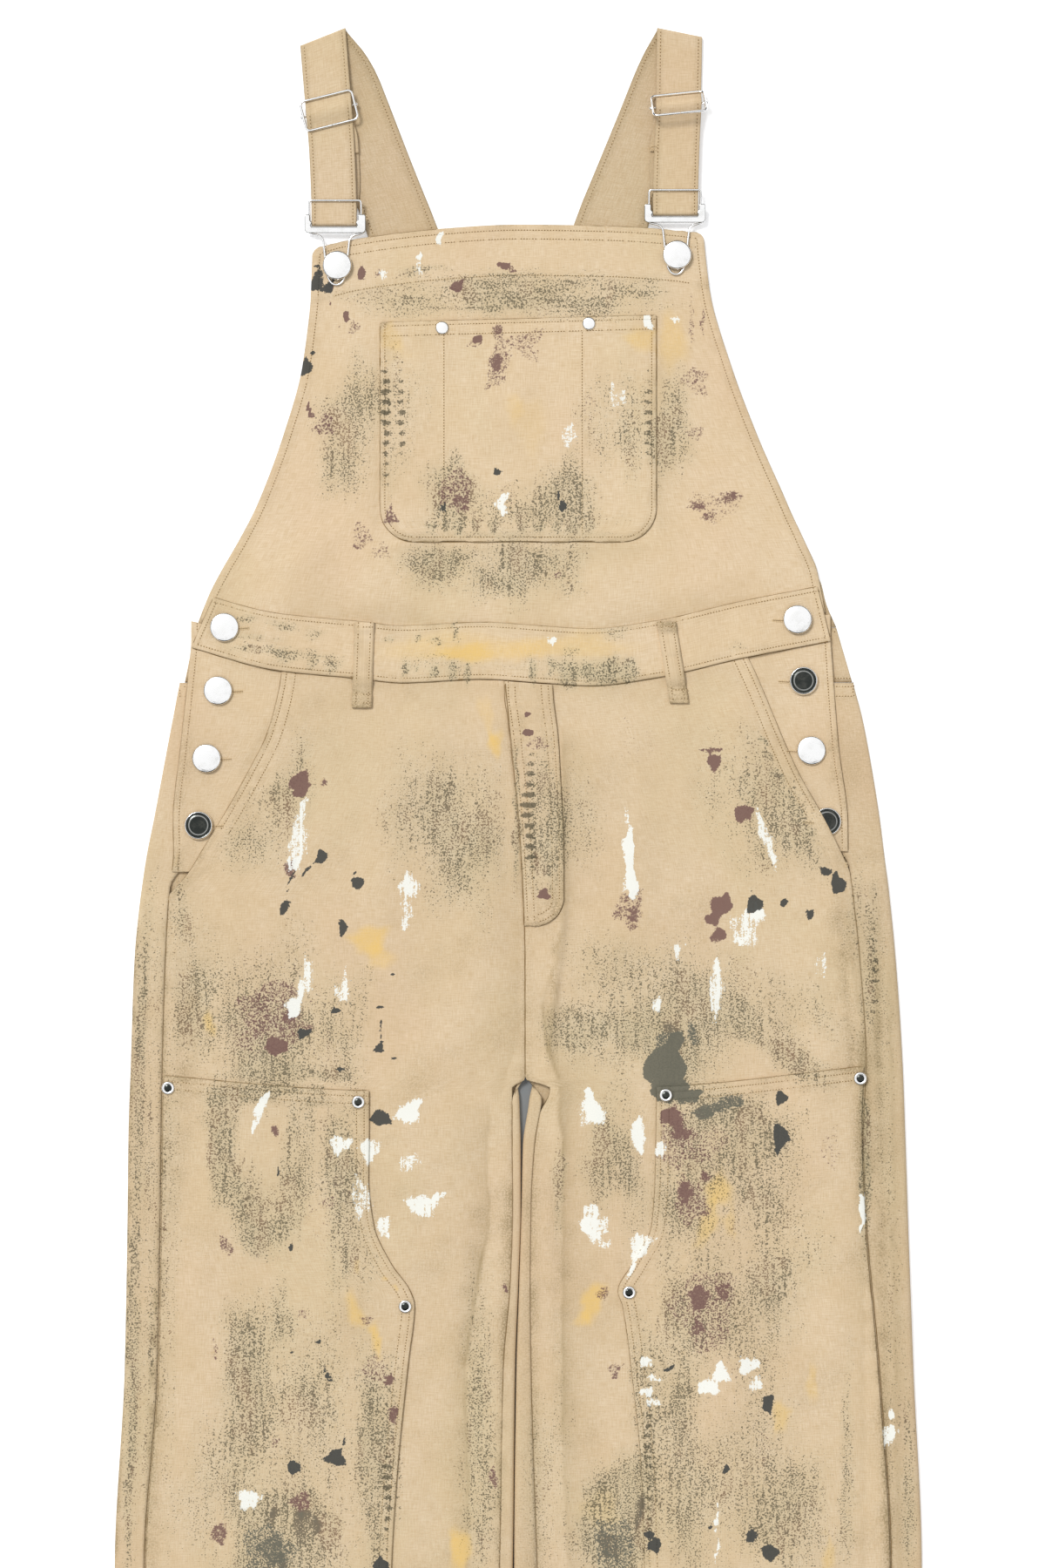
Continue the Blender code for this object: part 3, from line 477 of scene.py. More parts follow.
def along_line(x: Array, y: Array, x0: float, y0: float, x1: float, y1: float) -> Line:
    """Where points lie by a straight line.

    Returns:
        How far along it they are, 0 to 1 between its ends, and their distance to its side.
    """
    dx, dy = x1 - x0, y1 - y0
    length = math.hypot(dx, dy)
    along = ((x - x0) * dx + (y - y0) * dy) / length**2
    return along, ((x - x0) * dy - (y - y0) * dx) / length


def between_ends(along: Array, beyond: float, within: float) -> Array:
    """1 along a line and 0 away from its ends, smooth from beyond each end to within it."""
    return smoothstep(-beyond, within, along) * (1 - smoothstep(1 - within, 1 + beyond, along))


def swell(x: Array, y: Array) -> Array:
    """How the front's layers rise and fall together: folds, and the unevenness of worn canvas."""
    z = sum(high * swirl(x, drawn * y, length, seed) for high, drawn, length, seed in SWELLS)
    for fold in FOLDS:
        along, off = along_line(x, y, *fold[:4])
        ends = between_ends(along, 0.25, 0.2)
        winding = 0.15 * fold.width * np.sin(along * 9.0)
        z = z + FOLD_GAIN * fold.height * ends * bump(off + winding, fold.width)
    return np.where(z < 0, HOLLOW_GAIN * z, z)


class Side:
    """One half of the garment: sign is -1 at -X and 1 at +X."""

    def __init__(self, sign: int) -> None:
        """Reads the side's columns of the tables."""
        word = "left" if sign < 0 else "right"
        self.sign = sign
        self.tag = word[0]
        self.fold = Curve(OUTER, word + "_fold")
        self.seam = Curve(OUTER, word + "_seam")
        self.inner_fold = Curve(INNER, word + "_fold")
        self.inner_seam = Curve(INNER, word + "_seam")
        self.slant = Curve(SLANT, word)
        self.back_side = Curve(BACK_SIDE, word)
        self.patch = Curve(PATCH, word)
        self.crease_at = Curve(CREASE, word + "_at")
        self.crease_depth = Curve(CREASE, word + "_depth")
        # The pocket's slanted edge reaches the outseam here.
        self.pocket_end = 168.0 if sign < 0 else 182.0

    def front_outer(self, y: Array) -> Array:
        """The front leg's outer edge: the pocket's slant, then the outseam."""
        seam = self.seam(y) - self.sign * SEAM / 2
        slant = self.slant(y)
        return np.maximum(seam, slant) if self.sign < 0 else np.minimum(seam, slant)

    def front_inner(self, y: Array) -> Array:
        """The front leg's inner edge: the centre seam, then the inseam."""
        seam = self.inner_seam(y) + self.sign * SEAM / 2
        if self.sign > 0:
            seam = seam + 5.0 * smoothstep(CROTCH - 20, CROTCH - 4, y)
        centre = centre_x(y) + self.sign * SEAM / 2
        return mix(seam, centre, smoothstep(CROTCH - 1, CROTCH + 5, y))

    def wrap_edge(self, y: Array) -> Array:
        """The back leg's outer edge, under the placket facing and then at the outseam."""
        tuck = 8.0 * smoothstep(self.pocket_end - 2, self.pocket_end + 16, y)
        return self.seam(y) - self.sign * tuck + self.sign * SEAM / 2 * (tuck == 0.0)

    def wrap_height(self, y: Array) -> Array:
        """The outer height of the back leg's side fold."""
        return mix(LEG_FOLD, HIP_FOLD, smoothstep(self.pocket_end - 16, self.pocket_end + 4, y))

    def front_z(self, x: Array, y: Array) -> Array:
        """The underside of the front leg."""
        from_inseam = self.sign * (x - self.inner_seam(y))
        crease = self.crease_depth(y) * bump(from_inseam - self.crease_at(y), CREASE_WIDTH)
        z = FRONT_Z - crease * (y < CROTCH) + swell(x, y)
        if self.sign > 0:
            z = z + TUCKED_RISE * bump(np.hypot(x - TUCKED_BUTTON.x, y - TUCKED_BUTTON.y), TUCKED_REACH)
        return z


LEFT, RIGHT = Side(-1), Side(1)
SIDES = (LEFT, RIGHT)


def waist_z(x: Array) -> Array:
    """The underside of what the waistband is sewn on, before the cloth's own unevenness."""
    return FRONT_Z - WAIST_DROP * smoothstep(162.0, 208.0, np.abs(x))


def bib_z(x: Array, y: Array) -> Array:
    """The underside of the bib. Near its thin edges it can't sink into what lies under it."""
    left, right = bib_left(y), bib_right(y)
    out = np.abs(2 * x - left - right) / (right - left)
    low = mix(bib_middle_z(y), bib_edge_z(y), smoothstep(0.55, 1.0, out))
    flat = mix(waist_z(x), low, smoothstep(372.0, 430.0, y))
    uneven = swell(x, y)
    return flat + uneven * np.clip((flat - 1.6) / 2.4, 0.12, 1.0)


# Paint, dirt and wear


class Splash(NamedTuple):
    """A mark of paint: its middle, width and length, how well it covers, and its turn from +Y towards +X."""

    x: float
    y: float
    wide: float
    long: float
    cover: float = 1.0
    turn: float = 0.0


WHITE = table_of(
    Splash, (-53.4, 611.4, 4.6, 8.4), (-68, 599, 4.2, 5.5), (-69, 590, 3.6, 9, 0.7, 10),
    (-92, 587, 5, 6, 0.6), (89.4, 553.2, 6, 8), (108.6, 556.2, 4, 6, 0.85), (-10.8, 429, 8, 16, 0.95),
    (34.8, 475.8, 8, 16, 0.6), (68, 503, 8, 16, 0.42), (22.8, 334, 4, 6, 0.75),
    (-151, 199, 10, 48, 0.7, 8), (-152, 184, 5, 14, 0.8, 8), (76.6, 181, 8, 46, 1, -4.5),
    (75, 213, 4, 12, 0.6), (167, 208, 4.6, 30, 0.85, -18), (174, 191, 4.4, 24, 0.7, -18),
    (-75.6, 166, 13, 15, 0.82), (-77, 149, 6, 22, 0.45), (-147, 100, 7, 30, 0.72, 17),
    (-154.6, 83, 8, 13, 1, 17), (-119.4, 96.6, 7.5, 21, 0.68, 8), (-75.6, 10.2, 14, 15, 1, 30),
    (-68, 18, 5, 6, 1, 40), (-176, 16, 6.5, 16, 1, 24), (-180, 4, 3.6, 14, 0.8, 10),
    (-122, -11, 13, 11, 0.8), (-103, -15, 12, 17, 0.85, -10), (-75, -24, 10, 15, 0.55, 45),
    (-66, -53, 19, 14, 0.82), (-55, -47, 4, 10, 0.8, 60), (-92, -67, 6, 14, 0.72, 8),
    (-108, -48, 11, 24, 0.52, -10), (158, 140, 17, 28, 0.56, 20), (165, 147, 8, 8), (153, 128, 9, 6, 0.8),
    (110, 122, 5, 8, 0.65), (95, 85, 6, 11, 0.7, 20), (136, 96, 6.5, 35, 0.66), (137, 110, 4, 10, 0.9),
    (209, 112, 8, 14, 0.42), (51, 12, 13, 22, 1, -25), (48, 24, 7, 8), (83, -7, 9, 26, 0.82, -8),
    (53, -68, 20, 16, 0.78), (50, -56, 10, 10, 0.82), (60, -80, 8, 6, 0.7), (84, -81, 13, 18, 0.76, 25),
    (79, -95, 2.6, 18, 0.9, 25), (98, -14, 5, 7, 0.7), (236, -56, 4.8, 24), (132, -177, 14, 9, 1, 20),
    (139, -167, 11, 12, 1, -20), (126, -180, 6, 5), (158, -163, 10, 14, 0.85, 60), (163, -175, 7, 8, 0.7),
    (88, -160, 9, 6, 0.85), (93, -171, 11, 5, 0.8), (90, -181, 8, 5, 0.8), (93, -188, 9, 3.5, 0.7),
    (256, -196, 7, 9, 0.85), (255, -211, 8, 11, 0.75), (-185, -255, 15, 12, 0.88, 10),
    (136.5, -281, 1.6, 46, 1, 2),
)
BLACK = table_of(
    Splash, (-138, 580, 12, 10, 0.86), (-131, 577, 7, 7, 0.84), (-136, 587, 6, 5, 0.8),
    (-128, 584, 3.4, 4, 0.9), (-137, 592, 4.4, 3.6), (-129, 590, 2, 2), (-127, 574, 2, 2.4),
    (-146, 523, 8.5, 12, 1, 12), (-141, 533, 4, 4), (-14, 451, 5.4, 5.4), (-51, 425, 3, 8, 0.75),
    (29.4, 427, 6, 8), (28, 434, 1.4, 9), (-135, 187, 9.5, 9, 1, 30), (-145, 178, 1.4, 15, 0.8, 50),
    (-156, 172, 1.3, 10, 0.8, 30), (-160.5, 152, 6, 11, 1, 15), (-159, 161, 1.5, 14, 1, 14),
    (-110, 168.5, 10, 8.5), (-111.5, 175, 1.4, 8, 1, -20), (-121, 137, 6.4, 12),
    (-84, 105, 10, 2.4, 1, 14), (-93.6, 82.8, 6, 3.2), (-94.5, 55, 7.5, 8.5, 1, 20), (-95, 66, 1.2, 14),
    (-84, 47, 6, 3.4, 0.85), (-126, 81, 8, 4.6), (-147, 65, 8, 7), (-123, 40, 8, 3), (-94.5, 7, 14.5, 11),
    (-164, -28.8, 1.8, 11, 1, 20), (162.6, 154, 11, 12), (160.6, 163, 1.6, 11, 1, -12),
    (183, 155, 5.6, 6), (200, 147, 6, 7.4, 1, -30), (211, 176, 10.5, 5.4, 1, 20),
    (220, 167.5, 9, 14, 1, -15), (175, 136, 2.2, 2.2), (181, 20.4, 9, 9), (179, 9.6, 3, 3),
    (180.6, -6, 10, 16), (178, -16, 2.4, 9, 1, 10), (-156, -81.6, 3.4, 8), (-136, -147, 5, 4.4),
    (-132, -168, 2.4, 16, 0.75, -38), (-156, -153.6, 2.8, 2.8), (-153.6, -233, 8.6, 9.5, 1, 30),
    (-125, -225.6, 12, 12), (-121, -220, 1.5, 17, 0.8, 20), (-94, -300, 11, 10), (172, -189, 8.6, 12),
    (104, -164.6, 9, 3, 1, -35), (142, -234, 4.6, 9), (132, -273, 3.6, 3.6), (160, -280, 6.5, 12, 1, 30),
    (173, -291, 11, 11), (94, -287, 10, 9, 1, 30), (90, -280, 7, 5),
)
GREY = table_of(
    Splash, (101.4, 42.6, 29, 30), (108, 60, 12, 14, 1, 20), (120, 64, 7, 16, 0.6, -10),
    (98, 60, 7, 10, 0.6, 10), (104, 26, 28, 14), (116, 22, 22, 10, 0.8, -14), (140, 16, 34, 9, 0.62, -18),
    (128, 10, 16, 9, 0.7, -10), (-172, -292, 34, 40, 0.5, 10), (-168, -288, 18, 22, 0.62),
    (66, -290, 26, 46, 0.5),
)
MAROON = table_of(
    Splash, (-168, 84, 40, 34, 0.48), (-160, 66, 30, 20, 0.5), (112, -12, 34, 30, 0.46),
    (118, -50, 22, 34, 0.48), (128, -124, 40, 56, 0.44), (-43, 578.4, 7.6, 6.6), (-39, 582, 3, 3),
    (-107.4, 587.4, 5.4, 8), (-130, 577, 5, 6), (-10, 594, 10, 6), (-6, 591, 8, 5, 0.7),
    (-130, 567, 2.8, 2.4), (-118, 558, 4.8, 8), (-124, 551, 4, 2.2), (-113, 551, 9, 8, 0.46),
    (-144, 494, 3.8, 13, 0.9, -6), (-132, 483, 17, 14, 0.44), (-28, 542.4, 7, 6.4, 1, -30),
    (-31, 539, 8, 6, 0.5), (-14, 524, 15, 34, 0.46, 14), (-15, 526, 8, 10, 0.72), (-14, 548, 6, 10, 0.56),
    (2, 541, 34, 10, 0.44, -14), (8, 531, 14, 10, 0.42), (-88, 420, 9, 13, 0.56),
    (-108, 407, 13, 20, 0.46), (-94, 397, 12, 13, 0.42), (127, 554, 2.4, 16, 0.5),
    (119, 555, 2.4, 32, 0.42), (122, 513, 17, 20, 0.43, -20), (122, 478, 11, 10, 0.44),
    (49, 495, 10, 22, 0.36), (27.6, 380.4, 5, 6, 0.5), (135, 428, 36, 20, 0.4), (123, 428, 11, 5, 0.62),
    (146, 434, 13, 4.6, 0.66, -10), (130, 420, 12, 5, 0.55), (-149.6, 238, 13.5, 15), (-151, 230, 8, 6),
    (-133, 238, 4, 6, 0.6), (-156, 179, 8, 15, 0.74, 14), (5, 284, 5.8, 4.2, 1, -25),
    (7, 271.8, 8.4, 4, 1, 8), (12.6, 264, 13, 8, 0.47), (18, 160.8, 9.5, 7, 1, 10),
    (134, 260, 13, 4, 0.76, -10), (135, 251.6, 9.6, 9.6), (155, 216.6, 11, 10.4),
    (139.6, 154, 12.5, 16, 1, 25), (134.5, 143.6, 14, 8, 0.9, -15), (137.6, 133, 11, 8.6),
    (77, 151, 20, 26, 0.5), (79, 147, 8, 10, 0.66), (-177.6, 72, 21, 19, 0.5), (-166, 56, 15, 10, 1, 20),
    (-158, 77, 8, 6, 0.85), (-187, 60, 12, 12, 0.46), (-167, -1.2, 5, 9, 0.72), (106, 8, 18, 13, 0.8, 35),
    (112, -3, 15, 7, 0.74), (136, -8, 16, 14, 0.42), (115, -44, 6, 15, 0.8), (128, -34, 7, 6, 0.7),
    (-201, -80, 8, 15, 0.52, -30), (-130, -51, 6, 7, 0.45), (-147, -128, 9, 8, 0.46),
    (-104, -132, 9, 8, 0.48), (-208, -151, 2.6, 16, 0.5), (-99, -166, 18, 16, 0.43),
    (-88, -173, 5, 8, 0.75), (-86, -197, 7, 12, 0.66), (-167, -217, 4, 12, 0.52),
    (-205, -278, 10, 15, 0.6), (-149, -256, 12, 14, 0.6), (-17, -240, 8, 12, 0.55),
    (-10, -109, 4, 5, 0.6), (124, -116, 12, 18, 0.72), (141, -112, 8, 13, 0.66), (124, -137, 8, 9, 0.62),
    (140, -139, 12, 12, 0.42), (66, -167, 10, 12, 0.52), (58, -114, 9, 8, 0.5),
    (76, 268, 10, 36, 0.3, -8), (91, 258, 4, 34, 0.3), (168, -220, 10, 26, 0.36),
    (215, -12, 12, 30, 0.34), (-132, 483, 17, 15, 0.5), (-43, 437, 22, 28, 0.5), (-40, 430, 10, 14, 0.6),
    (-96, 588, 6, 5, 0.5), (-11, 433, 20, 20, 0.34), (-178, 70, 44, 40, 0.36), (-158, 92, 36, 40, 0.3),
    (-136, 62, 40, 30, 0.3), (120, -10, 40, 44, 0.34), (-66, 196, 30, 40, 0.26), (-130, -60, 30, 60, 0.3),
)
YELLOW = table_of(
    Splash, (-88, 544, 15, 20, 0.5), (-82, 532, 20, 14, 0.3), (84, 542, 20, 18, 0.6),
    (106, 541, 20, 42, 0.55), (9, 483, 24, 42, 0.34), (-4, 496, 12, 22, 0.3), (-44, 330, 110, 20, 0.5),
    (-36, 326, 34, 12, 0.5), (38, 331, 84, 17, 0.5), (-22, 284, 10, 30, 0.45, -18),
    (-16, 264, 11, 18, 0.8), (-103, 130, 26, 18, 0.8, -20), (-95, 117, 18, 18, 0.6),
    (-212, 72, 8, 18, 0.85, -10), (138, -42, 18, 22, 0.9, 10), (130, -66, 12, 30, 0.8, 20),
    (146, -66, 8, 20, 0.6), (-112, -126, 12, 26, 0.75, -20), (-98, -145, 8, 24, 0.9, -8),
    (-110, -95, 4, 12, 0.6), (-92, -102, 4, 6, 0.7), (-85, -110, 4, 6, 0.7), (-40, -290, 14, 30, 0.9),
    (52, -118, 14, 26, 0.85, 20), (44, -132, 12, 12, 0.6), (202, -175, 9, 28, 0.55),
    (180, -198, 12, 22, 0.72), (213, -293, 9, 28, 0.6), (58, -262, 26, 30, 0.5),
)
# Grey rubbed on with a dry brush, up and down the garment
SCUFF_DOWN = table_of(
    Splash, (-117, 480, 38, 74, 0.72, 10), (-126, 448, 24, 30, 0.36), (-108, 510, 26, 40, 0.4, 10),
    (-83, 486, 22, 84, 0.5), (107, 484, 24, 66, 0.8), (98, 466, 16, 44, 0.5), (62, 484, 22, 60, 0.5),
    (80, 484, 22, 64, 0.56), (46, 488, 14, 40, 0.3), (38, 436, 34, 34, 0.42), (-45, 438, 30, 44, 0.42),
    (0, 420, 120, 16, 0.4), (-66, 500, 14, 54, 0.2), (-60, 386, 40, 32, 0.7), (-24, 388, 80, 26, 0.56),
    (-20, 372, 34, 18, 0.6), (4, 384, 36, 42, 0.7), (34, 386, 26, 40, 0.6), (-158, 222, 28, 66, 0.6, 22),
    (-163, 234, 16, 30, 0.4), (-184, 190, 40, 28, 0.5, 20), (-187, 212, 20, 50, 0.34, 30),
    (-150, 264, 14, 30, 0.3), (-70, 216, 46, 70, 0.6, -4), (-40, 214, 52, 80, 0.66),
    (-28, 182, 34, 64, 0.5, -6), (-52, 166, 36, 34, 0.36), (18, 212, 24, 92, 0.84),
    (26, 196, 14, 70, 0.5), (-1, 212, 5, 88, 0.9), (44, 212, 26, 70, 0.46, -8),
    (176, 224, 40, 84, 0.66, -24), (190, 204, 22, 66, 0.5, -24), (146, 224, 36, 76, 0.42, -20),
    (160, 180, 30, 24, 0.3), (-174, 80, 76, 100, 0.5, 8), (-172, 66, 50, 50, 0.4),
    (-150, 52, 70, 40, 0.34), (-117, 76, 30, 66, 0.5), (-223, 90, 24, 56, 0.44, 12),
    (-216, 66, 30, 40, 0.3), (-170, 38, 70, 12, 0.5), (-126, 36, 40, 10, 0.3), (90, 92, 96, 74, 0.56, 20),
    (60, 64, 80, 36, 0.46), (124, 66, 60, 66, 0.5), (36, 66, 38, 34, 0.44), (200, 84, 60, 24, 0.4, 38),
    (176, 60, 70, 30, 0.5, 40), (196, 44, 54, 18, 0.4, 30), (150, 92, 44, 56, 0.36),
    (-204, 2, 22, 56, 0.72), (-201, -28, 22, 50, 0.66, -8), (-191, -58, 20, 44, 0.6, -20),
    (-176, -58, 28, 60, 0.5, -20), (-172, -76, 40, 20, 0.36, -30), (-156, -24, 13, 92, 0.62, 3),
    (-146, -24, 10, 84, 0.6, 3), (-121, -52, 19, 124, 0.62), (-120, -30, 30, 56, 0.46),
    (-134, -20, 16, 60, 0.3), (-106, -88, 20, 50, 0.4), (-184, 24, 60, 12, 0.72, -4),
    (-138, 21, 18, 12, 0.6, -4), (-110, 12, 14, 30, 0.34), (-190, -190, 34, 130, 0.62, 6),
    (-180, -142, 40, 50, 0.34, 20), (-163, -126, 16, 44, 0.5), (-150, -220, 66, 150, 0.44),
    (-130, -180, 40, 70, 0.26), (-97, -226, 27, 150, 0.72), (-100, -210, 18, 60, 0.4),
    (-219, -256, 24, 100, 0.36), (-166, -288, 42, 52, 1, 6), (-146, -272, 34, 44, 0.6),
    (-150, -310, 90, 60, 0.5), (104, 50, 40, 50, 0.5), (138, 12, 44, 20, 0.6, -16),
    (142, 0, 70, 56, 0.6, 10), (172, -26, 50, 76, 0.54, 10), (112, -36, 36, 90, 0.56),
    (140, -60, 60, 60, 0.34), (186, -84, 46, 66, 0.34, 30), (62, -24, 34, 56, 0.66),
    (70, 10, 30, 60, 0.3), (80, -56, 20, 60, 0.4), (160, -132, 60, 80, 0.56), (112, -150, 40, 100, 0.5),
    (86, -190, 18, 130, 0.5), (108, -240, 40, 110, 0.56), (158, -240, 80, 100, 0.54),
    (190, -270, 50, 80, 0.46), (66, -276, 40, 70, 0.95), (78, -250, 30, 50, 0.66),
    (-28, -150, 18, 120, 0.26), (-26, -240, 20, 120, 0.36), (30, -230, 14, 130, 0.3),
    (-255, 60, 16, 220, 0.3, 2), (-258, -160, 16, 260, 0.3, 1), (-236, 20, 10, 260, 0.24),
    (-240, -200, 10, 260, 0.24), (250, 60, 16, 200, 0.3, -2), (258, -160, 16, 260, 0.26, -1),
    (238, -20, 8, 160, 0.34), (-232, 152, 10, 60, 0.44, -6), (-222, 130, 20, 70, 0.26, -8),
    (168, 266, 8, 3.4, 1.3, 30), (172, 255, 8, 3.4, 1.3, 30), (178, 242, 8, 3.4, 1.3, 30),
    (184, 230, 8, 3.4, 1.3, 30), (192, 218, 8, 3.4, 1.3, 30), (198, 206, 8, 3.4, 1.3, 30),
    (232, 150, 12, 60, 0.5, 4), (240, 110, 12, 90, 0.4, 2), (-48, 438, 32, 42, 0.62),
    (32, 438, 36, 46, 0.62), (-4, 430, 60, 26, 0.44), (-172, -284, 46, 64, 0.8), (64, -276, 40, 80, 0.7),
    (126, -118, 40, 70, 0.4), (-262, 20, 10, 240, 0.5, 2), (-267, -190, 10, 240, 0.6, 1),
    (-247, -60, 14, 300, 0.3, 1), (238, -25, 6, 90), (226, -240, 10, 130, 0.6), (269, -250, 8, 120, 0.6),
    (-25, -225, 26, 170, 0.34), (28, -42, 8, 60, 0.6), (15, -250, 18, 120, 0.35),
)
KNEE_LINE = 130.0  # below it the scuffs lie more thickly
KNEE_RUB = 1.22
# The same, rubbed on across the garment
SCUFF_ACROSS = table_of(
    Splash, (-60, 574, 100, 22, 0.5, -4), (-8, 575, 64, 24, 0.76), (-14, 568, 40, 14, 0.5),
    (48, 576, 80, 24, 0.6, 4), (84, 578, 36, 16, 0.4), (20, 562, 100, 12, 0.4),
    (-64, 590, 40, 5, 0.7, -6), (-80, 564, 60, 16, 0.36), (60, 564, 90, 16, 0.34),
    (-190, 338, 44, 4, 0.8, 6), (-180, 329, 32, 5, 0.7, 6), (-187, 350, 14, 5, 0.8),
    (-161, 345, 20, 7, 0.9, 12), (-140, 339, 12, 7, 0.7), (-160, 325, 20, 11, 1, 6),
    (-141, 323, 10, 11, 0.9), (-128, 319, 11, 13, 0.9), (-52, 320, 60, 12, 0.3), (40, 316, 80, 14, 0.4),
    (65, 341, 18, 8, 0.6), (36, 328, 12, 6, 0.6), (150, 331, 12, 8, 0.4), (0, 408, 120, 6, 0.5),
    (60, 66, 60, 16, 0.34),
)


RUNG_PITCH = 7.1  # from one dab of a ladder to the next


class Ladder(NamedTuple):
    """Dabs one below another, where a brush has caught the ridges of a seam: the first, and how many."""

    x: float
    y: float
    count: int
    wide: float
    cover: float


LADDERS = table_of(
    Ladder, (-90.6, 531, 13, 7, 0.85), (-80.5, 525, 11, 6, 0.8), (89, 519, 10, 7.4, 0.75),
    (8, 256, 12, 11, 0.9), (-19, -170, 20, 5, 0.6), (-90, -214, 11, 7, 0.85), (-82, -206, 12, 3, 0.66),
    (90, -142, 24, 5.4, 0.75), (82, -150, 20, 3, 0.66), (-251, 176, 9, 4.4, 0.55),
    (245, 150, 12, 6.4, 0.75),
)
# The dabs on the waistband: middle, width and length. Then where those on the pocket's hem are
BAND_DABS = (
    (-88, 336, 5, 4), (-69, 336, 5, 4), (-56, 335, 7, 5), (-43, 340, 2.4, 14), (-77, 316, 4.4, 10),
    (-70, 316, 3, 8), (-58, 313, 6, 10), (-45, 314, 8, 13), (-35, 313, 4, 15), (10, 314, 5, 18),
    (22, 317, 5, 14), (35, 312, 17, 18), (48, 314, 10, 13), (63, 313, 19, 17), (76, 314, 13, 16),
)
POCKET_DABS = (-60, -50, -41, -29, -16, 3, 14, 26, 38, 50)


def fields_of(mark: Splash, x: Array, y: Array, reach: float) -> Points:
    """A mark's ellipse over points.

    Args:
        mark: The mark.
        x: Across the garment.
        y: Along the garment.
        reach: How far beyond its edge the mark still counts.

    Returns:
        The indices of the points near it, and for those the ellipse's radius (1 at its edge) and the
        distance inside that edge.
    """
    a, b = max(mark.wide / 2, 1.0), max(mark.long / 2, 1.0)
    near = np.nonzero((np.abs(x - mark.x) < max(a, b) + reach) & (np.abs(y - mark.y) < max(a, b) + reach))[0]
    turn = math.radians(mark.turn)
    dx, dy = x[near] - mark.x, y[near] - mark.y
    across = dx * math.cos(turn) - dy * math.sin(turn)
    along = dx * math.sin(turn) + dy * math.cos(turn)
    angle = np.arctan2(along / b, across / a)
    lobe = 1 + 0.13 * np.sin(3 * angle + mark.x) + 0.09 * np.sin(5 * angle + mark.y)
    radius = np.hypot(across / a, along / b) * lobe
    slope = np.hypot(across / a**2, along / b**2) + 1e-6
    inside = np.minimum(radius * (1 - radius) / slope, min(a, b))
    inside = np.where(radius < 0.35, min(a, b) * (1 - radius), inside)
    return near, radius, inside


def wander(x: Array, y: Array) -> Line:
    """Points moved a little, so that a mark read there has an uneven edge."""
    return (
        x + 0.9 * swirl(x, y, 19, 21) + 0.5 * swirl(x, y, 8, 22),
        y + 0.9 * swirl(x, y, 19, 23) + 0.5 * swirl(x, y, 8, 24),
    )


def spatter(marks: Iterable[Splash], x: Array, y: Array, crisp: float) -> Array:
    """Marks of paint as one field: over a half where there is paint, less where it is broken.

    Args:
        marks: The marks.
        x: Across the garment.
        y: Along the garment.
        crisp: How wide a solid mark's edge is at most.
    """
    x, y = wander(x, y)
    field_ = np.zeros(len(x))
    for mark in marks:
        soft = min(crisp, max(3.4, 0.8 * min(mark.wide, mark.long))) if mark.cover >= 0.8 else 10.0
        near, _, inside = fields_of(mark, x, y, soft)
        most = 1.0 if mark.cover >= 1 else 0.30 + 0.4 * mark.cover
        field_[near] = np.maximum(field_[near], np.clip(0.5 + inside / soft, 0.0, most))
    return field_


def smear(marks: Iterable[Splash], x: Array, y: Array) -> Array:
    """Rubbed marks as one field of how thickly they lie."""
    x, y = wander(x, y)
    field_ = np.zeros(len(x))
    for mark in marks:
        near, radius, _ = fields_of(mark, x, y, 0.8 * max(mark.wide, mark.long))
        field_[near] += mark.cover * (1 - smoothstep(0.45, 1.55, radius))
    return np.minimum(field_, 1.8)


def scattered(seed: int, count: int, wide: Pair, long: Pair, cover: Pair) -> Tuple[Splash, ...]:
    """Marks strewn over the lower legs.

    Args:
        seed: What sets them.
        count: How many.
        wide: The least and greatest width.
        long: The least and greatest length.
        cover: The least and greatest cover.
    """
    rng = np.random.default_rng(seed)
    marks = []
    for _ in range(count):
        side = rng.choice((-1, 1))
        marks.append(Splash(
            x=float(side * rng.uniform(35, 262)), y=float(rng.uniform(-735, -330)),
            wide=float(rng.uniform(*wide)), long=float(rng.uniform(*long)),
            turn=float(rng.uniform(-25, 25)), cover=float(rng.uniform(*cover)),
        ))
    return tuple(marks)


def rubbed(mark: Splash) -> Splash:
    """A scuff as thick as it lies: thicker on the knees, which take the most wear."""
    return mark._replace(cover=mark.cover * KNEE_RUB) if mark.y < KNEE_LINE else mark


def rungs(ladder: Ladder) -> Splash:
    """The whole area of a ladder of dabs."""
    high = RUNG_PITCH * ladder.count
    return Splash(ladder.x, ladder.y - high / 2 + RUNG_PITCH / 2, ladder.wide, high, ladder.cover)


class Mark(Enum):
    """The attributes that tell the cloth's finish where paint, dirt and painted shade lie."""

    WHITE = "white"
    BLACK = "black"
    GREY = "grey"
    MAROON = "maroon"
    YELLOW = "yellow"
    DOWN = "scuff_down"
    ACROSS = "scuff_across"
    RUNG = "rung"
    DIRT = "dirt"
    SHADE = "shade"


def dabs() -> Tuple[Splash, ...]:
    """Where a brush has caught the waistband and the pocket's lower edge."""
    band = [Splash(*dab, cover=1.25) for dab in BAND_DABS]
    pocket = [Splash(x, POCKET_LOW + 10, 7, 8) for x in POCKET_DABS]
    return tuple(band + pocket)


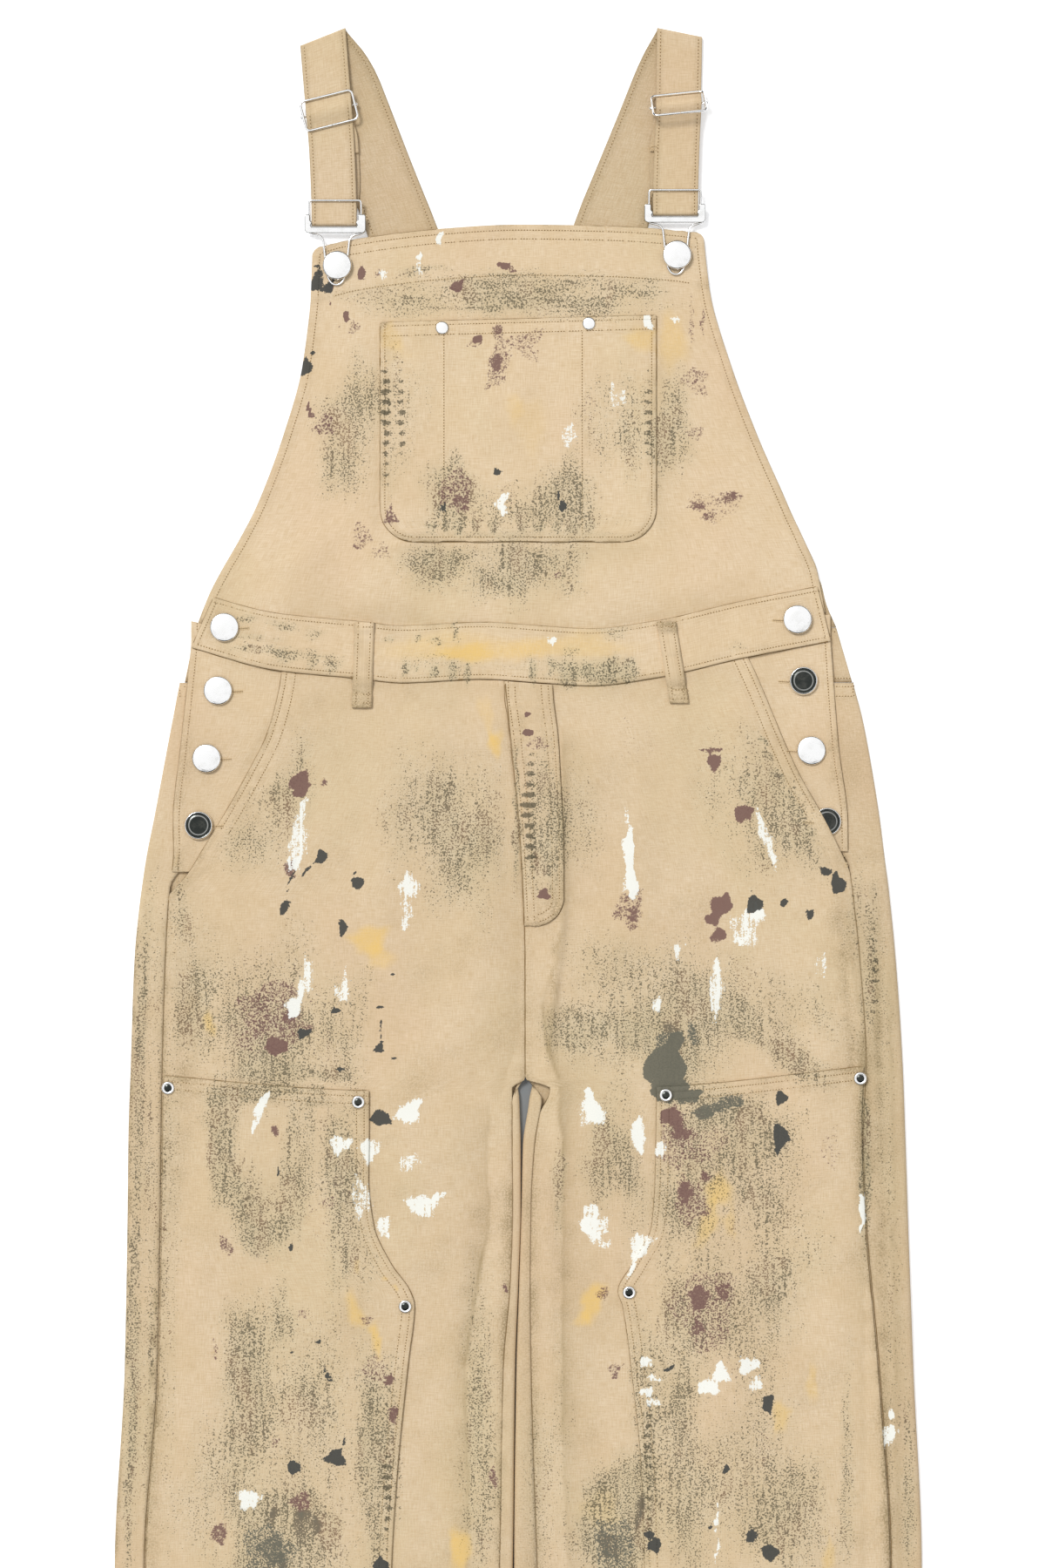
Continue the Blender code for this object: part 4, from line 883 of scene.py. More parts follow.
SPATTERS = {
    Mark.WHITE: WHITE + scattered(31, 26, (4, 16), (8, 26), (0.5, 1.1)),
    Mark.GREY: GREY,
    Mark.BLACK: BLACK + scattered(32, 26, (3, 12), (4, 13), (0.8, 1.2)),
    Mark.MAROON: MAROON + scattered(33, 26, (5, 16), (6, 18), (0.4, 1.0)),
}
CRISP = {Mark.WHITE: 13.0, Mark.BLACK: 5.5, Mark.GREY: 9.0, Mark.MAROON: 8.0}
SMEARS = {
    Mark.YELLOW: YELLOW + scattered(34, 12, (8, 22), (16, 40), (0.4, 0.9)),
    Mark.DOWN: (*map(rubbed, SCUFF_DOWN), *dabs(), *scattered(35, 26, (14, 50), (30, 100), (0.3, 0.7))),
    Mark.ACROSS: SCUFF_ACROSS,
    Mark.RUNG: tuple(map(rungs, LADDERS)),
}


def srgb(red: float, green: float, blue: float) -> Triple:
    """A colour from its sRGB values out of 255."""
    return tuple(c / 12.92 if c <= 0.04045 else ((c + 0.055) / 1.055) ** 2.4
                 for c in (red / 255, green / 255, blue / 255))


# Finishes


class Value:
    """A number that varies over a surface. Sums with it add Math nodes to its net."""

    def __init__(self, net: "Net", socket: Socket) -> None:
        """Wraps an output socket."""
        self.net = net
        self.socket = socket

    def _math(self, operation: str, *values: Term) -> "Value":
        """The output of a Math node."""
        return self.net.value("ShaderNodeMath", {"operation": operation}, dict(enumerate(values)))

    def __add__(self, other: Term) -> "Value":
        """self + other"""
        return self._math("ADD", self, other)

    __radd__ = __add__

    def __sub__(self, other: Term) -> "Value":
        """self - other"""
        return self._math("SUBTRACT", self, other)

    def __rsub__(self, other: Term) -> "Value":
        """other - self"""
        return self._math("SUBTRACT", other, self)

    def __mul__(self, other: Term) -> "Value":
        """self * other"""
        return self._math("MULTIPLY", self, other)

    __rmul__ = __mul__

    def sine(self) -> "Value":
        """The sine of it, in radians."""
        return self._math("SINE", self)

    def most(self, other: Term) -> "Value":
        """The greater of the two."""
        return self._math("MAXIMUM", self, other)

    def least(self, other: Term) -> "Value":
        """The lesser of the two."""
        return self._math("MINIMUM", self, other)

    def smooth(self, low: float, high: float) -> "Value":
        """0 below low, 1 above high, and smooth between."""
        return self.net.value("ShaderNodeMapRange", {"interpolation_type": "SMOOTHSTEP"},
                              {"Value": self, "From Min": low, "From Max": high})

    def stretched(self, gain: float) -> "Value":
        """More contrast round a half."""
        return (self - 0.5) * gain + 0.5


class Net:
    """A material and its nodes."""

    def __init__(self, name: str) -> None:
        """Starts a material that has only an output."""
        self.material = bpy.data.materials.new(name)
        self.material.use_nodes = True
        self.nodes = self.material.node_tree.nodes
        self.links = self.material.node_tree.links
        self.nodes.clear()
        self.output = self.nodes.new("ShaderNodeOutputMaterial")

    def node(self, kind: str, settings: Optional[Dict[str, object]] = None,
             inputs: Optional[Dict[Union[str, int], object]] = None) -> bpy.types.Node:
        """Adds a node.

        Args:
            kind: Its type.
            settings: Its properties, set first.
            inputs: Its sockets' numbers, colours or links.

        Returns:
            The node.
        """
        node = self.nodes.new(kind)
        for name, setting in (settings or {}).items():
            setattr(node, name, setting)
        for name, given in (inputs or {}).items():
            socket = node.inputs[name]
            given = given.socket if isinstance(given, Value) else given
            if isinstance(given, Socket):
                self.links.new(given, socket)
            else:
                socket.default_value = (*given, 1.0) if socket.type == "RGBA" else given
        return node

    def value(self, kind: str, settings: Optional[Dict[str, object]] = None,
              inputs: Optional[Dict[Union[str, int], object]] = None, output: Union[str, int] = 0) -> Value:
        """Adds a node and gives one of its outputs as a value."""
        return Value(self, self.node(kind, settings, inputs).outputs[output])

    def blend(self, low: object, high: object, factor: Union[Value, float]) -> Socket:
        """A colour between two, by a Mix node."""
        # Of its sockets, 0 is the factor, and 6, 7 and output 2 are the colours'
        return self.node("ShaderNodeMix", {"data_type": "RGBA"}, {0: factor, 6: low, 7: high}).outputs[2]

    def place(self, source: str, scale: Triple) -> Socket:
        """The surface's own coordinates ("Object" or "UV") times a scale for each axis."""
        start = self.node("ShaderNodeTexCoord").outputs[source]
        return self.node("ShaderNodeVectorMath", {"operation": "MULTIPLY"}, {0: start, 1: scale}).outputs[0]

    def noise(self, source: str, scale: Triple, detail: float = 2.0, rough: float = 0.5) -> Value:
        """Noise from 0 to 1, with so many lumps to the metre along each axis."""
        inputs = {"Vector": self.place(source, scale), "Scale": 1.0, "Detail": detail, "Roughness": rough}
        return self.value("ShaderNodeTexNoise", {"noise_dimensions": "3D"}, inputs, "Fac")

    def attribute(self, name: str) -> Value:
        """A number that the mesh carries."""
        return self.value("ShaderNodeAttribute", {"attribute_name": name}, None, "Fac")

    def finish(self, shader: Socket) -> Material:
        """Links the shader to the output."""
        self.links.new(shader, self.output.inputs["Surface"])
        return self.material


@dataclass(frozen=True)
class Canvas:
    """Worn cotton canvas, with whatever paint, dirt and painted shade the mesh says."""

    name: str
    clean: Triple
    warm: Triple
    worn: Triple
    painted: bool = True
    grime: Triple = srgb(158, 138, 104)
    shade: Triple = srgb(150, 128, 88)
    yellow: Triple = srgb(230, 192, 112)
    olive: Triple = srgb(86, 80, 64)
    russet: Triple = srgb(126, 94, 74)
    haze: Triple = srgb(183, 174, 142)
    pinkish: Triple = srgb(236, 208, 180)
    greenish: Triple = srgb(228, 214, 178)
    soot: Triple = srgb(103, 101, 88)
    maroon: Triple = srgb(118, 88, 82)
    black: Triple = srgb(72, 72, 68)
    white: Triple = srgb(241, 242, 235)

    def material(self) -> Material:
        """Builds the material.

        Returns:
            The material.
        """
        net = Net(self.name)
        warp = net.noise("UV", (1500, 120, 1), 2)
        weft = net.noise("UV", (120, 1500, 1), 2)
        weave = (warp + weft).stretched(1.0) - 0.5
        mottle = net.noise("Object", (22, 22, 22), 4, 0.6)
        grain = net.noise("Object", (900, 900, 900), 2).stretched(2.2)
        broad = net.noise("Object", (9, 6, 9), 3, 0.5)
        colour = net.blend(self.clean, self.warm, mottle.smooth(0.38, 0.66))
        colour = net.blend(colour, self.pinkish, broad.smooth(0.5, 0.66) * 0.5)
        colour = net.blend(colour, self.greenish, (1.0 - broad).smooth(0.5, 0.66) * 0.55)
        colour = net.blend(colour, self.worn, (0.16 + weave * 0.9).most(0.0))
        height = weave * 0.5
        if not self.painted:
            # Dirt, and painted edge and crease shade, in one attribute.
            dirt = net.attribute(Mark.DIRT.value)
            colour = net.blend(colour, self.grime, (dirt * (0.45 + grain * 0.6)).least(0.9))
            return self._shade(net, colour, height, 0.0)
        speck = net.noise("Object", (430, 430, 430), 3, 0.6).stretched(2.0)
        cloud = net.noise("Object", (55, 30, 55), 3).stretched(1.8)
        bristle = net.noise("Object", (430, 40, 100), 2).stretched(2.2)
        brush = net.noise("Object", (40, 430, 100), 2).stretched(2.2)
        # Dirt, and painted edge and crease shade, in one attribute.
        dirt = net.attribute(Mark.DIRT.value)
        caught = (dirt * (0.1 + grain * 0.9)).smooth(0.08, 1.05)
        colour = net.blend(colour, self.grime, (caught * 0.75 + dirt * 0.26).least(0.9))
        colour = net.blend(colour, self.shade, (net.attribute(Mark.SHADE.value) * 0.5).least(0.8))
        yellow = net.attribute(Mark.YELLOW.value) * (0.8 + grain * 0.3)
        colour = net.blend(colour, self.yellow, yellow.smooth(0.05, 1.15) * 0.86)
        for mark, streak in ((Mark.DOWN, bristle), (Mark.ACROSS, brush)):
            thick = net.attribute(mark.value) * (0.7 + cloud * 0.62)
            solid = thick.smooth(1.75, 2.3)
            over = (thick * 0.4).least(0.36) + solid * 0.5 + grain * 0.78 + streak * 0.26 - 0.88
            colour = net.blend(colour, self.haze, (thick * 0.3).least(0.36))
            strength = over.smooth(-0.05, 0.15) * (0.8 + solid * 0.16) * thick.smooth(0.02, 0.14)
            tint = net.blend(self.olive, self.russet, cloud.smooth(0.5, 0.9) * 0.8)
            colour = net.blend(colour, net.blend(tint, self.soot, solid), strength)
        along = net.value("ShaderNodeSeparateXYZ", None, {0: net.place("Object", (1, 1, 1))}, "Y")
        dab = (along * (TAU / (RUNG_PITCH * MM)) + (speck - 0.5) * 1.2).sine()
        rung = net.attribute(Mark.RUNG.value) * 1.1 + dab * 0.3 + (grain - 0.5) * 0.5 + (speck - 0.5) * 0.4
        colour = net.blend(colour, self.olive, rung.smooth(0.8, 1.06) * 0.8)
        paint = 0.0
        tooth = (speck - 0.5) * 0.12 + (grain - 0.5) * 0.14
        for mark, tint, cover, extra in (
            (Mark.GREY, self.soot, 0.95, tooth),
            (Mark.MAROON, self.maroon, 0.93, tooth),
            (Mark.WHITE, self.white, 0.92, tooth * 1.8 + (bristle - 0.5) * 0.3),
            (Mark.BLACK, self.black, 0.98, tooth * 1.2),
        ):
            mask = (net.attribute(mark.value) + extra).smooth(0.455, 0.545)
            colour = net.blend(colour, tint, mask * cover)
            paint = mask + paint
        height = height * (1.0 - (paint * 0.6).least(0.8)) + paint.least(1.0) * 0.35
        return self._shade(net, colour, height, paint.least(1.0))

    def _shade(self, net: Net, colour: Socket, height: Value, paint: Term) -> Material:
        """Ends the material with its shader.

        Args:
            net: The material so far.
            colour: Its colour.
            height: Its fine relief.
            paint: Where paint lies on it.

        Returns:
            The material.
        """
        relief = net.node("ShaderNodeBump", None, {"Strength": 0.5, "Distance": 0.0005, "Height": height})
        shader = net.node("ShaderNodeBsdfPrincipled", None, {
            "Base Color": colour, "Roughness": 0.93 - paint * 0.22, "Normal": relief.outputs[0],
            "Specular IOR Level": 0.22,
        })
        return net.finish(shader.outputs[0])


FRONT_CANVAS = Canvas("canvas", srgb(240, 222, 195), srgb(233, 212, 180), srgb(206, 179, 140))
# The back's canvas is the front's a little darker: painted shade, for the back shows only in the rolls at the
# sides and where it peeks out from under the front.
SHADED_BACK_CANVAS = Canvas("canvas_back", srgb(236, 218, 190), srgb(228, 206, 173), srgb(200, 173, 134))
STRAP_CANVAS = Canvas(
    "canvas_strap", srgb(238, 219, 192), srgb(231, 209, 176), srgb(202, 175, 137), painted=False)
THREAD = Canvas("thread", srgb(246, 230, 198), srgb(238, 216, 176), srgb(216, 188, 142))
# The needle holes are dark discs: painted shade in the dimples between stitches.
HOLE_SHADE_CANVAS = Canvas("needle_holes", srgb(158, 126, 80), srgb(138, 106, 66), srgb(118, 90, 56))
SEAM_SHADOW = Canvas("seam_shadow", srgb(166, 136, 92), srgb(146, 117, 76), srgb(122, 96, 60))


@dataclass(frozen=True)
class Metal:
    """Zinc-plated steel, bright or darkened with use."""

    name: str
    bright: Triple
    dull: Triple
    rough: float

    def material(self) -> Material:
        """Builds the material."""
        net = Net(self.name)
        cloud = net.noise("Object", (160, 160, 160), 4, 0.6)
        fine = net.noise("Object", (1400, 1400, 1400), 2)
        tarnish = (cloud.stretched(1.6) * 0.7 + fine * 0.3).smooth(0.42, 0.78)
        colour = net.blend(self.bright, self.dull, tarnish)
        relief = net.node("ShaderNodeBump", None, {"Strength": 0.03, "Distance": 0.0003, "Height": fine})
        shader = net.node("ShaderNodeBsdfPrincipled", None, {
            "Base Color": colour, "Metallic": 1.0, "Roughness": self.rough + tarnish * 0.16,
            "Normal": relief.outputs[0],
        })
        return net.finish(shader.outputs[0])


ZINC = Metal("steel", srgb(250, 250, 250), srgb(228, 228, 226), 0.16)
# Darker steel: worn on the dark buttons' rings, and painted shade on the buckle plates' sides and rounded
# edges.
WORN_AND_EDGE_SHADE_METAL = Metal("steel_worn", srgb(150, 151, 148), srgb(118, 119, 116), 0.2)
DARK_METAL = Metal("steel_dark", srgb(52, 55, 53), srgb(74, 75, 71), 0.14)


# Cloth


class End(Enum):
    """The four edges of a piece of cloth as it lies."""

    LEFT = "left"
    RIGHT = "right"
    LOW = "low"
    HIGH = "high"


class Row(NamedTuple):
    """Stitching along an edge: how far in, from and to where along it, and the stitches' pitch."""

    inset: float
    start: float = 0.0
    end: float = 1.0
    pitch: float = 2.0


@dataclass(frozen=True)
class Edge:
    """How one edge of a piece is finished: its stitching, the width of its hem, how much darker the cloth is
    near it, from dirt and painted edge shade, and how wide the painted shadow line is that it lays on the
    cloth below."""

    end: End
    rows: Tuple[Row, ...] = ()
    hem: float = 0.0
    dirt: float = 0.35
    groove: float = 0.0


class StitchLine(NamedTuple):
    """A line of stitching: its points across and along the garment, the stitches' pitch, and the height of
    the cloth that it is on, where the piece lies over itself."""

    x: Array
    y: Array
    pitch: float
    level: Optional[float] = None


class ShadowLine(NamedTuple):
    """The painted shadow line where one piece of cloth ends on another: points across, along and up, and its
    width.
    """

    x: Array
    y: Array
    z: Array
    width: float


class DarkLine(NamedTuple):
    """Darkening along a line: dirt, and painted shade along the crease or fold that it follows."""

    x0: float
    y0: float
    x1: float
    y1: float
    width: float
    strength: float


# Down the legs' creases, inseams and side folds, along the fly's fold and beside the waistband: painted shade,
# with the dirt that gathers there.
DARK_LINES = table_of(
    DarkLine, (-21, -40, -36, -170, 9, 0.3), (-33, -150, -40, -330, 9, 0.25), (30, -40, 31, -200, 9, 0.3),
    (9, -40, 12, -330, 5, 0.4), (-6, -40, -12, -330, 5, 0.5), (238, 60, 240, -40, 4, 0.75),
    (233, 20, 236, -60, 5, 0.5), (-222, 110, -236, -60, 9, 0.35), (218, 150, 232, 40, 7, 0.4),
    (-246, 160, -252, -500, 4.5, 0.3), (-262, 140, -264.5, 90, 2.4, 0.9),
    (-264.5, 90, -267.6, -20, 2.4, 1.1), (-267.6, -20, -270.6, -160, 2.4, 1.1),
    (-270.6, -160, -277, -300, 2.4, 1.1), (-277, -300, -279, -700, 2.4, 0.9),
    (-243, 150, -247, -60, 2, 0.5), (-247, -60, -257, -300, 2, 0.7), (250, -170, 257, -330, 2, 0.6),
    (246, 120, 248, 20, 2, 0.6), (246, 160, 258, -500, 4.5, 0.42), (31, 250, 22, 60, 3, 0.4),
    (-60, 300, -150, 294, 10, 0.22), (60, 300, 150, 306, 10, 0.22), (-130, 360, -60, 350, 10, 0.25),
    (60, 350, 130, 362, 10, 0.25),
)


class Shade(NamedTuple):
    """The soft shade to one side of a fold, and how dark the fold's own thin line is. The shade is to the
    right of the line as it runs, or to the left if width is negative."""

    x0: float
    y0: float
    x1: float
    y1: float
    width: float
    strength: float
    line: float = 0.0


SHADES = table_of(
    Shade, (31, 270, 31, 150, -12, 0.5, 0.25), (31, 150, 27, 116, -8, 0.4, 0.3),
    (27, 116, 17, 86, 5, 0.2, 0.3), (17, 86, 19, 64, -6, 0.5, 0.5), (19, 64, 22, 50, -6, 0.6, 0.8),
    (27, 100, 21, 52, 4, 0.35, 0.5), (22, 50, 28, 34, -7, 0.6, 0.8), (28, 34, 31, -20, -10, 0.65, 0.4),
    (31, -20, 31, -210, -12, 0.6, 0.3), (31, -210, 36, -330, -12, 0.4, 0.1),
    (-20, 16, -22, -30, 14, 0.35, 0.15), (-22, -30, -20, -67, 14, 0.35, 0.5),
    (-20, -67, -28, -105, 14, 0.35, 0.9), (-28, -105, -37, -164, 14, 0.35, 0.8),
    (-37, -164, -34, -256, 14, 0.3, 0.7), (-34, -256, -36, -340, 14, 0.3, 0.5), (0, 200, 0, 60, 16, 0.4),
    (-2, 60, -14, 20, 10, 0.35), (218, 186, 238, 60, -7, 0.45), (236, 60, 238, -60, -5, 0.4),
    (236, 60, 238, -330, 6, 0.3), (255, 110, 262, -330, -6, 0.45, 0.2), (-254, 150, -262, -300, 6, 0.2),
    (-222, 350, -160, 330, -8, 0.3), (-160, 353, -60, 347, -9, 0.35), (-60, 347, 60, 344, -7, 0.25),
    (60, 345, 160, 362, -9, 0.35), (-90, 399, 90, 399, 9, 0.3), (-200, 322, -100, 308, 9, 0.3),
    (-100, 305, 40, 304, 7, 0.25), (40, 303, 150, 318, 9, 0.3), (-97, 540, -97, 410, 6, 0.3),
    (97, 540, 97, 410, -6, 0.3), (-206, 382, -150, 500, -12, 0.2), (200, 382, 150, 500, 12, 0.2),
    (-192, 242, -172, 280, 8, 0.3), (198, 236, 172, 280, -8, 0.3), (-240, 156, -214, 178, -10, 0.35),
    (-106, 24, -106, -60, -8, 0.2), (98, 24, 98, -60, 8, 0.2),
)


# How far from an edge the fine rows and columns lie that show its sewing, and how far the others keep
FINE = np.array((0.7, 1.6, 2.7, 4.0, 5.6, 7.6, 9.8))
FINE_REACH = 11.0


def edge_steps(length: float, step: float, low: bool = True, high: bool = True) -> Array:
    """Fractions along a piece: fine near the edges that show their sewing, and even between.

    Args:
        length: The piece's length.
        step: The even step.
        low: Whether its start is fine.
        high: Whether its end is fine.
    """
    fine = np.concatenate([[0.0], FINE])
    start = fine if low else fine[:1]
    end = length - (fine if high else fine[:1])[::-1]
    count = max(int(round((end[0] - start[-1]) / step)), 1)
    return np.concatenate([start, np.linspace(start[-1], end[0], count + 1)[1:-1], end]) / length


def bands(*stops: Pair) -> Array:
    """Rows between stops, each (where it starts, the step from there on); the last is the end."""
    rows: List[Array] = []
    for (start, step), (end, _) in zip(stops, stops[1:]):
        count = max(int(round((end - start) / step)), 1)
        rows.append(np.linspace(start, end, count + 1)[:-1])
    return np.concatenate([*rows, [stops[-1][0]]])


def fine_ends(rows: Array, low: bool = True, high: bool = True) -> Array:
    """Rows with finer ones added near the ends."""
    low_rows = rows[0] + FINE if low else np.array([])
    high_rows = rows[-1] - FINE if high else np.array([])
    above, below = rows[0] + FINE_REACH * low, rows[-1] - FINE_REACH * high
    middle = rows[(rows > above) & (rows < below)]
    return np.sort(np.concatenate([rows[:1], low_rows, middle, high_rows, rows[-1:]]))


def edge_line(x: Array, y: Array, end: End) -> Line:
    """The points of one edge of a grid."""
    place = -1 if end in (End.RIGHT, End.HIGH) else 0
    pick = np.s_[:, place] if end in (End.LEFT, End.RIGHT) else np.s_[place, :]
    return x[pick], y[pick]


def from_edge(x: Array, y: Array, end: End) -> Array:
    """How far each point of a grid is from one of its edges."""
    ex, ey = edge_line(x, y, end)
    if end in (End.LEFT, End.RIGHT):
        slope = np.gradient(ex, ey)
        return np.abs(x - ex[:, None]) / np.hypot(1.0, slope)[:, None]
    run = np.gradient(ex)
    slope = np.gradient(ey) / np.where(np.abs(run) < 0.01, 0.01, run)
    return np.abs(y - ey[None, :]) / np.hypot(1.0, slope)[None, :]


def inset_line(x: Array, y: Array, end: End, inset: float) -> Line:
    """An edge's line, moved into the piece."""
    ex, ey = edge_line(x, y, end)
    tx, ty = np.gradient(ex), np.gradient(ey)
    length = np.hypot(tx, ty) + 1e-9
    nx, ny = -ty / length, tx / length
    mx, my = x.mean(), y.mean()
    towards = np.sign(np.sum(nx * (mx - ex) + ny * (my - ey)))
    return ex + nx * inset * towards, ey + ny * inset * towards


HEM_RISE = 0.35
EDGE_DROP = 0.45
STITCH_DROP = 0.28
PUCKER_RISE = 0.10
DIRT_CLOUDS = ((0.10, 70, 41), (0.06, 24, 42))  # strength, length and seed
EDGE_DARKENING_REACH = 3.2  # how far the darkening of an edge reaches in: dirt and painted edge shade


def relief_of(x: Array, y: Array, edges: Sequence[Edge]) -> Array:
    """The sewing's relief: thicker hems, grooves at the stitches, and puckers beside them."""
    z = np.zeros(x.shape)
    for edge in edges:
        off = from_edge(x, y, edge.end)
        run = y if edge.end in (End.LEFT, End.RIGHT) else x
        if edge.hem:
            z += HEM_RISE * (1 - smoothstep(edge.hem - 1.0, edge.hem + 1.2, off))
        z -= EDGE_DROP * (1 - smoothstep(0.0, 1.7, off))
        for row in edge.rows:
            z -= STITCH_DROP * bump(off - row.inset, 0.9)
            pucker = np.sin(run * TAU / 8.3 + 1.7 * np.sin(run / 11.0)) + 0.6 * np.sin(run * TAU / 5.1 + 2.0)
            z += PUCKER_RISE * pucker * bump(off - row.inset - 1.5, 5.0)
    return z


def dirt_of(x: Array, y: Array, edges: Sequence[Edge], base: float) -> Array:
    """How dark each point of a grid is made: dirt in soft clouds, and dirt with painted shade along edges and
    the dark lines.
    """
    dirt = base + 0.3 * (1 - smoothstep(250, 330, y))
    for strength, length, seed in DIRT_CLOUDS:
        dirt = dirt + strength * np.clip(swirl(x, y, length, seed), 0, 2)
    # Darker along each edge and beside its innermost stitching: dirt, and painted edge shade.
    for edge in edges:
        off = from_edge(x, y, edge.end)
        patchiness = 0.75 + 0.35 * swirl(x, y, 30, 43)
        dirt = dirt + edge.dirt * patchiness * np.exp(-off / EDGE_DARKENING_REACH)
        if edge.rows:
            inset = max(row.inset for row in edge.rows)
            dirt = dirt + 0.4 * edge.dirt * patchiness * bump(off - inset - 1.5, 2.4)
    # The dark lines: dirt, and painted shade along creases and folds.
    for dark_line in DARK_LINES:
        along, off = along_line(x, y, *dark_line[:4])
        ends = between_ends(along, 0.1, 0.12)
        dirt = dirt + dark_line.strength * ends * bump(off, dark_line.width) * (0.8 + 0.3 * swirl(x, y, 20, 44))
    return np.clip(dirt, 0.0, 1.2)


def shade_of(x: Array, y: Array) -> Array:
    """How deep in the shade of a fold each point lies."""
    total = np.zeros(np.broadcast(x, y).shape)
    for shade in SHADES:
        along, off = along_line(x, y, *shade[:4])
        off = (off + 0.5 * swirl(x, y, 26, 51)) * np.sign(shade.width)
        ends = between_ends(along, 0.08, 0.08)
        side = np.where(off > 0, np.exp(-off / abs(shade.width)), bump(off, 1.2))
        line = shade.line * bump(off, 1.3) * (0.7 + 0.3 * swirl(x, y, 14, 52))
        total = total + ends * (shade.strength * side + line)
    return np.clip(total, 0.0, 1.3)


FRONT_FROM = 1.25  # cloth that lies higher over the floor than this is read as the front's
# The back is read mirrored, a little narrower and lower, so that it has marks of its own
BACK_SCALE = 0.93
BACK_ACROSS = 9.0
BACK_SHIFT = 41.0


def mesh_of(name: str, shape: Shape) -> Mesh:
    """Makes a mesh of a shape, and frees the shape."""
    mesh = bpy.data.meshes.new(name)
    shape.to_mesh(mesh)
    shape.free()
    return mesh


def add_to(whole: Shape, part: Shape) -> None:
    """Adds a shape's faces to another's, and frees it."""
    chunk = mesh_of("chunk", part)
    whole.from_mesh(chunk)
    bpy.data.meshes.remove(chunk)


def points_of(mesh: Mesh) -> Array:
    """A mesh's points, a row to each, in metres."""
    where = np.empty(len(mesh.vertices) * 3)
    mesh.vertices.foreach_get("co", where)
    return where.reshape(-1, 3)


def shade_smooth(mesh: Mesh) -> None:
    """Shades all of a mesh's faces smooth."""
    mesh.polygons.foreach_set("use_smooth", np.ones(len(mesh.polygons), bool))


def own_marks(mesh: Mesh, x: Array, y: Array, dirt: Array, seen: Optional[Array] = None) -> None:
    """Gives a mesh's points what its finish reads about paint, dirt and painted shade.

    Args:
        mesh: The mesh.
        x: Where each point is read across the garment, in mm.
        y: Where each point is read along the garment, in mm.
        dirt: How dark each is made, by dirt and by painted edge and crease shade.
        seen: False for points of the back, which are read elsewhere.
    """
    if seen is not None:
        x, y = np.where(seen, x, BACK_ACROSS - BACK_SCALE * x), np.where(seen, y, y - BACK_SHIFT)
    fields = {mark: spatter(marks, x, y, CRISP[mark]) for mark, marks in SPATTERS.items()}
    fields.update({mark: smear(marks, x, y) for mark, marks in SMEARS.items()})
    fields[Mark.DIRT] = dirt
    fields[Mark.SHADE] = shade_of(x, y)
    for mark, numbers in fields.items():
        layer = mesh.attributes.new(mark.value, "FLOAT", "POINT")
        layer.data.foreach_set("value", np.asarray(numbers, np.float32))


def add_object(name: str, mesh: Mesh, *finishes: Material) -> Piece:
    """Adds a mesh to the scene with its finishes."""
    for finish in finishes:
        mesh.materials.append(finish)
    piece = bpy.data.objects.new(name, mesh)
    bpy.context.scene.collection.objects.link(piece)
    log.info("%s: %d points", name, len(mesh.vertices))
    return piece


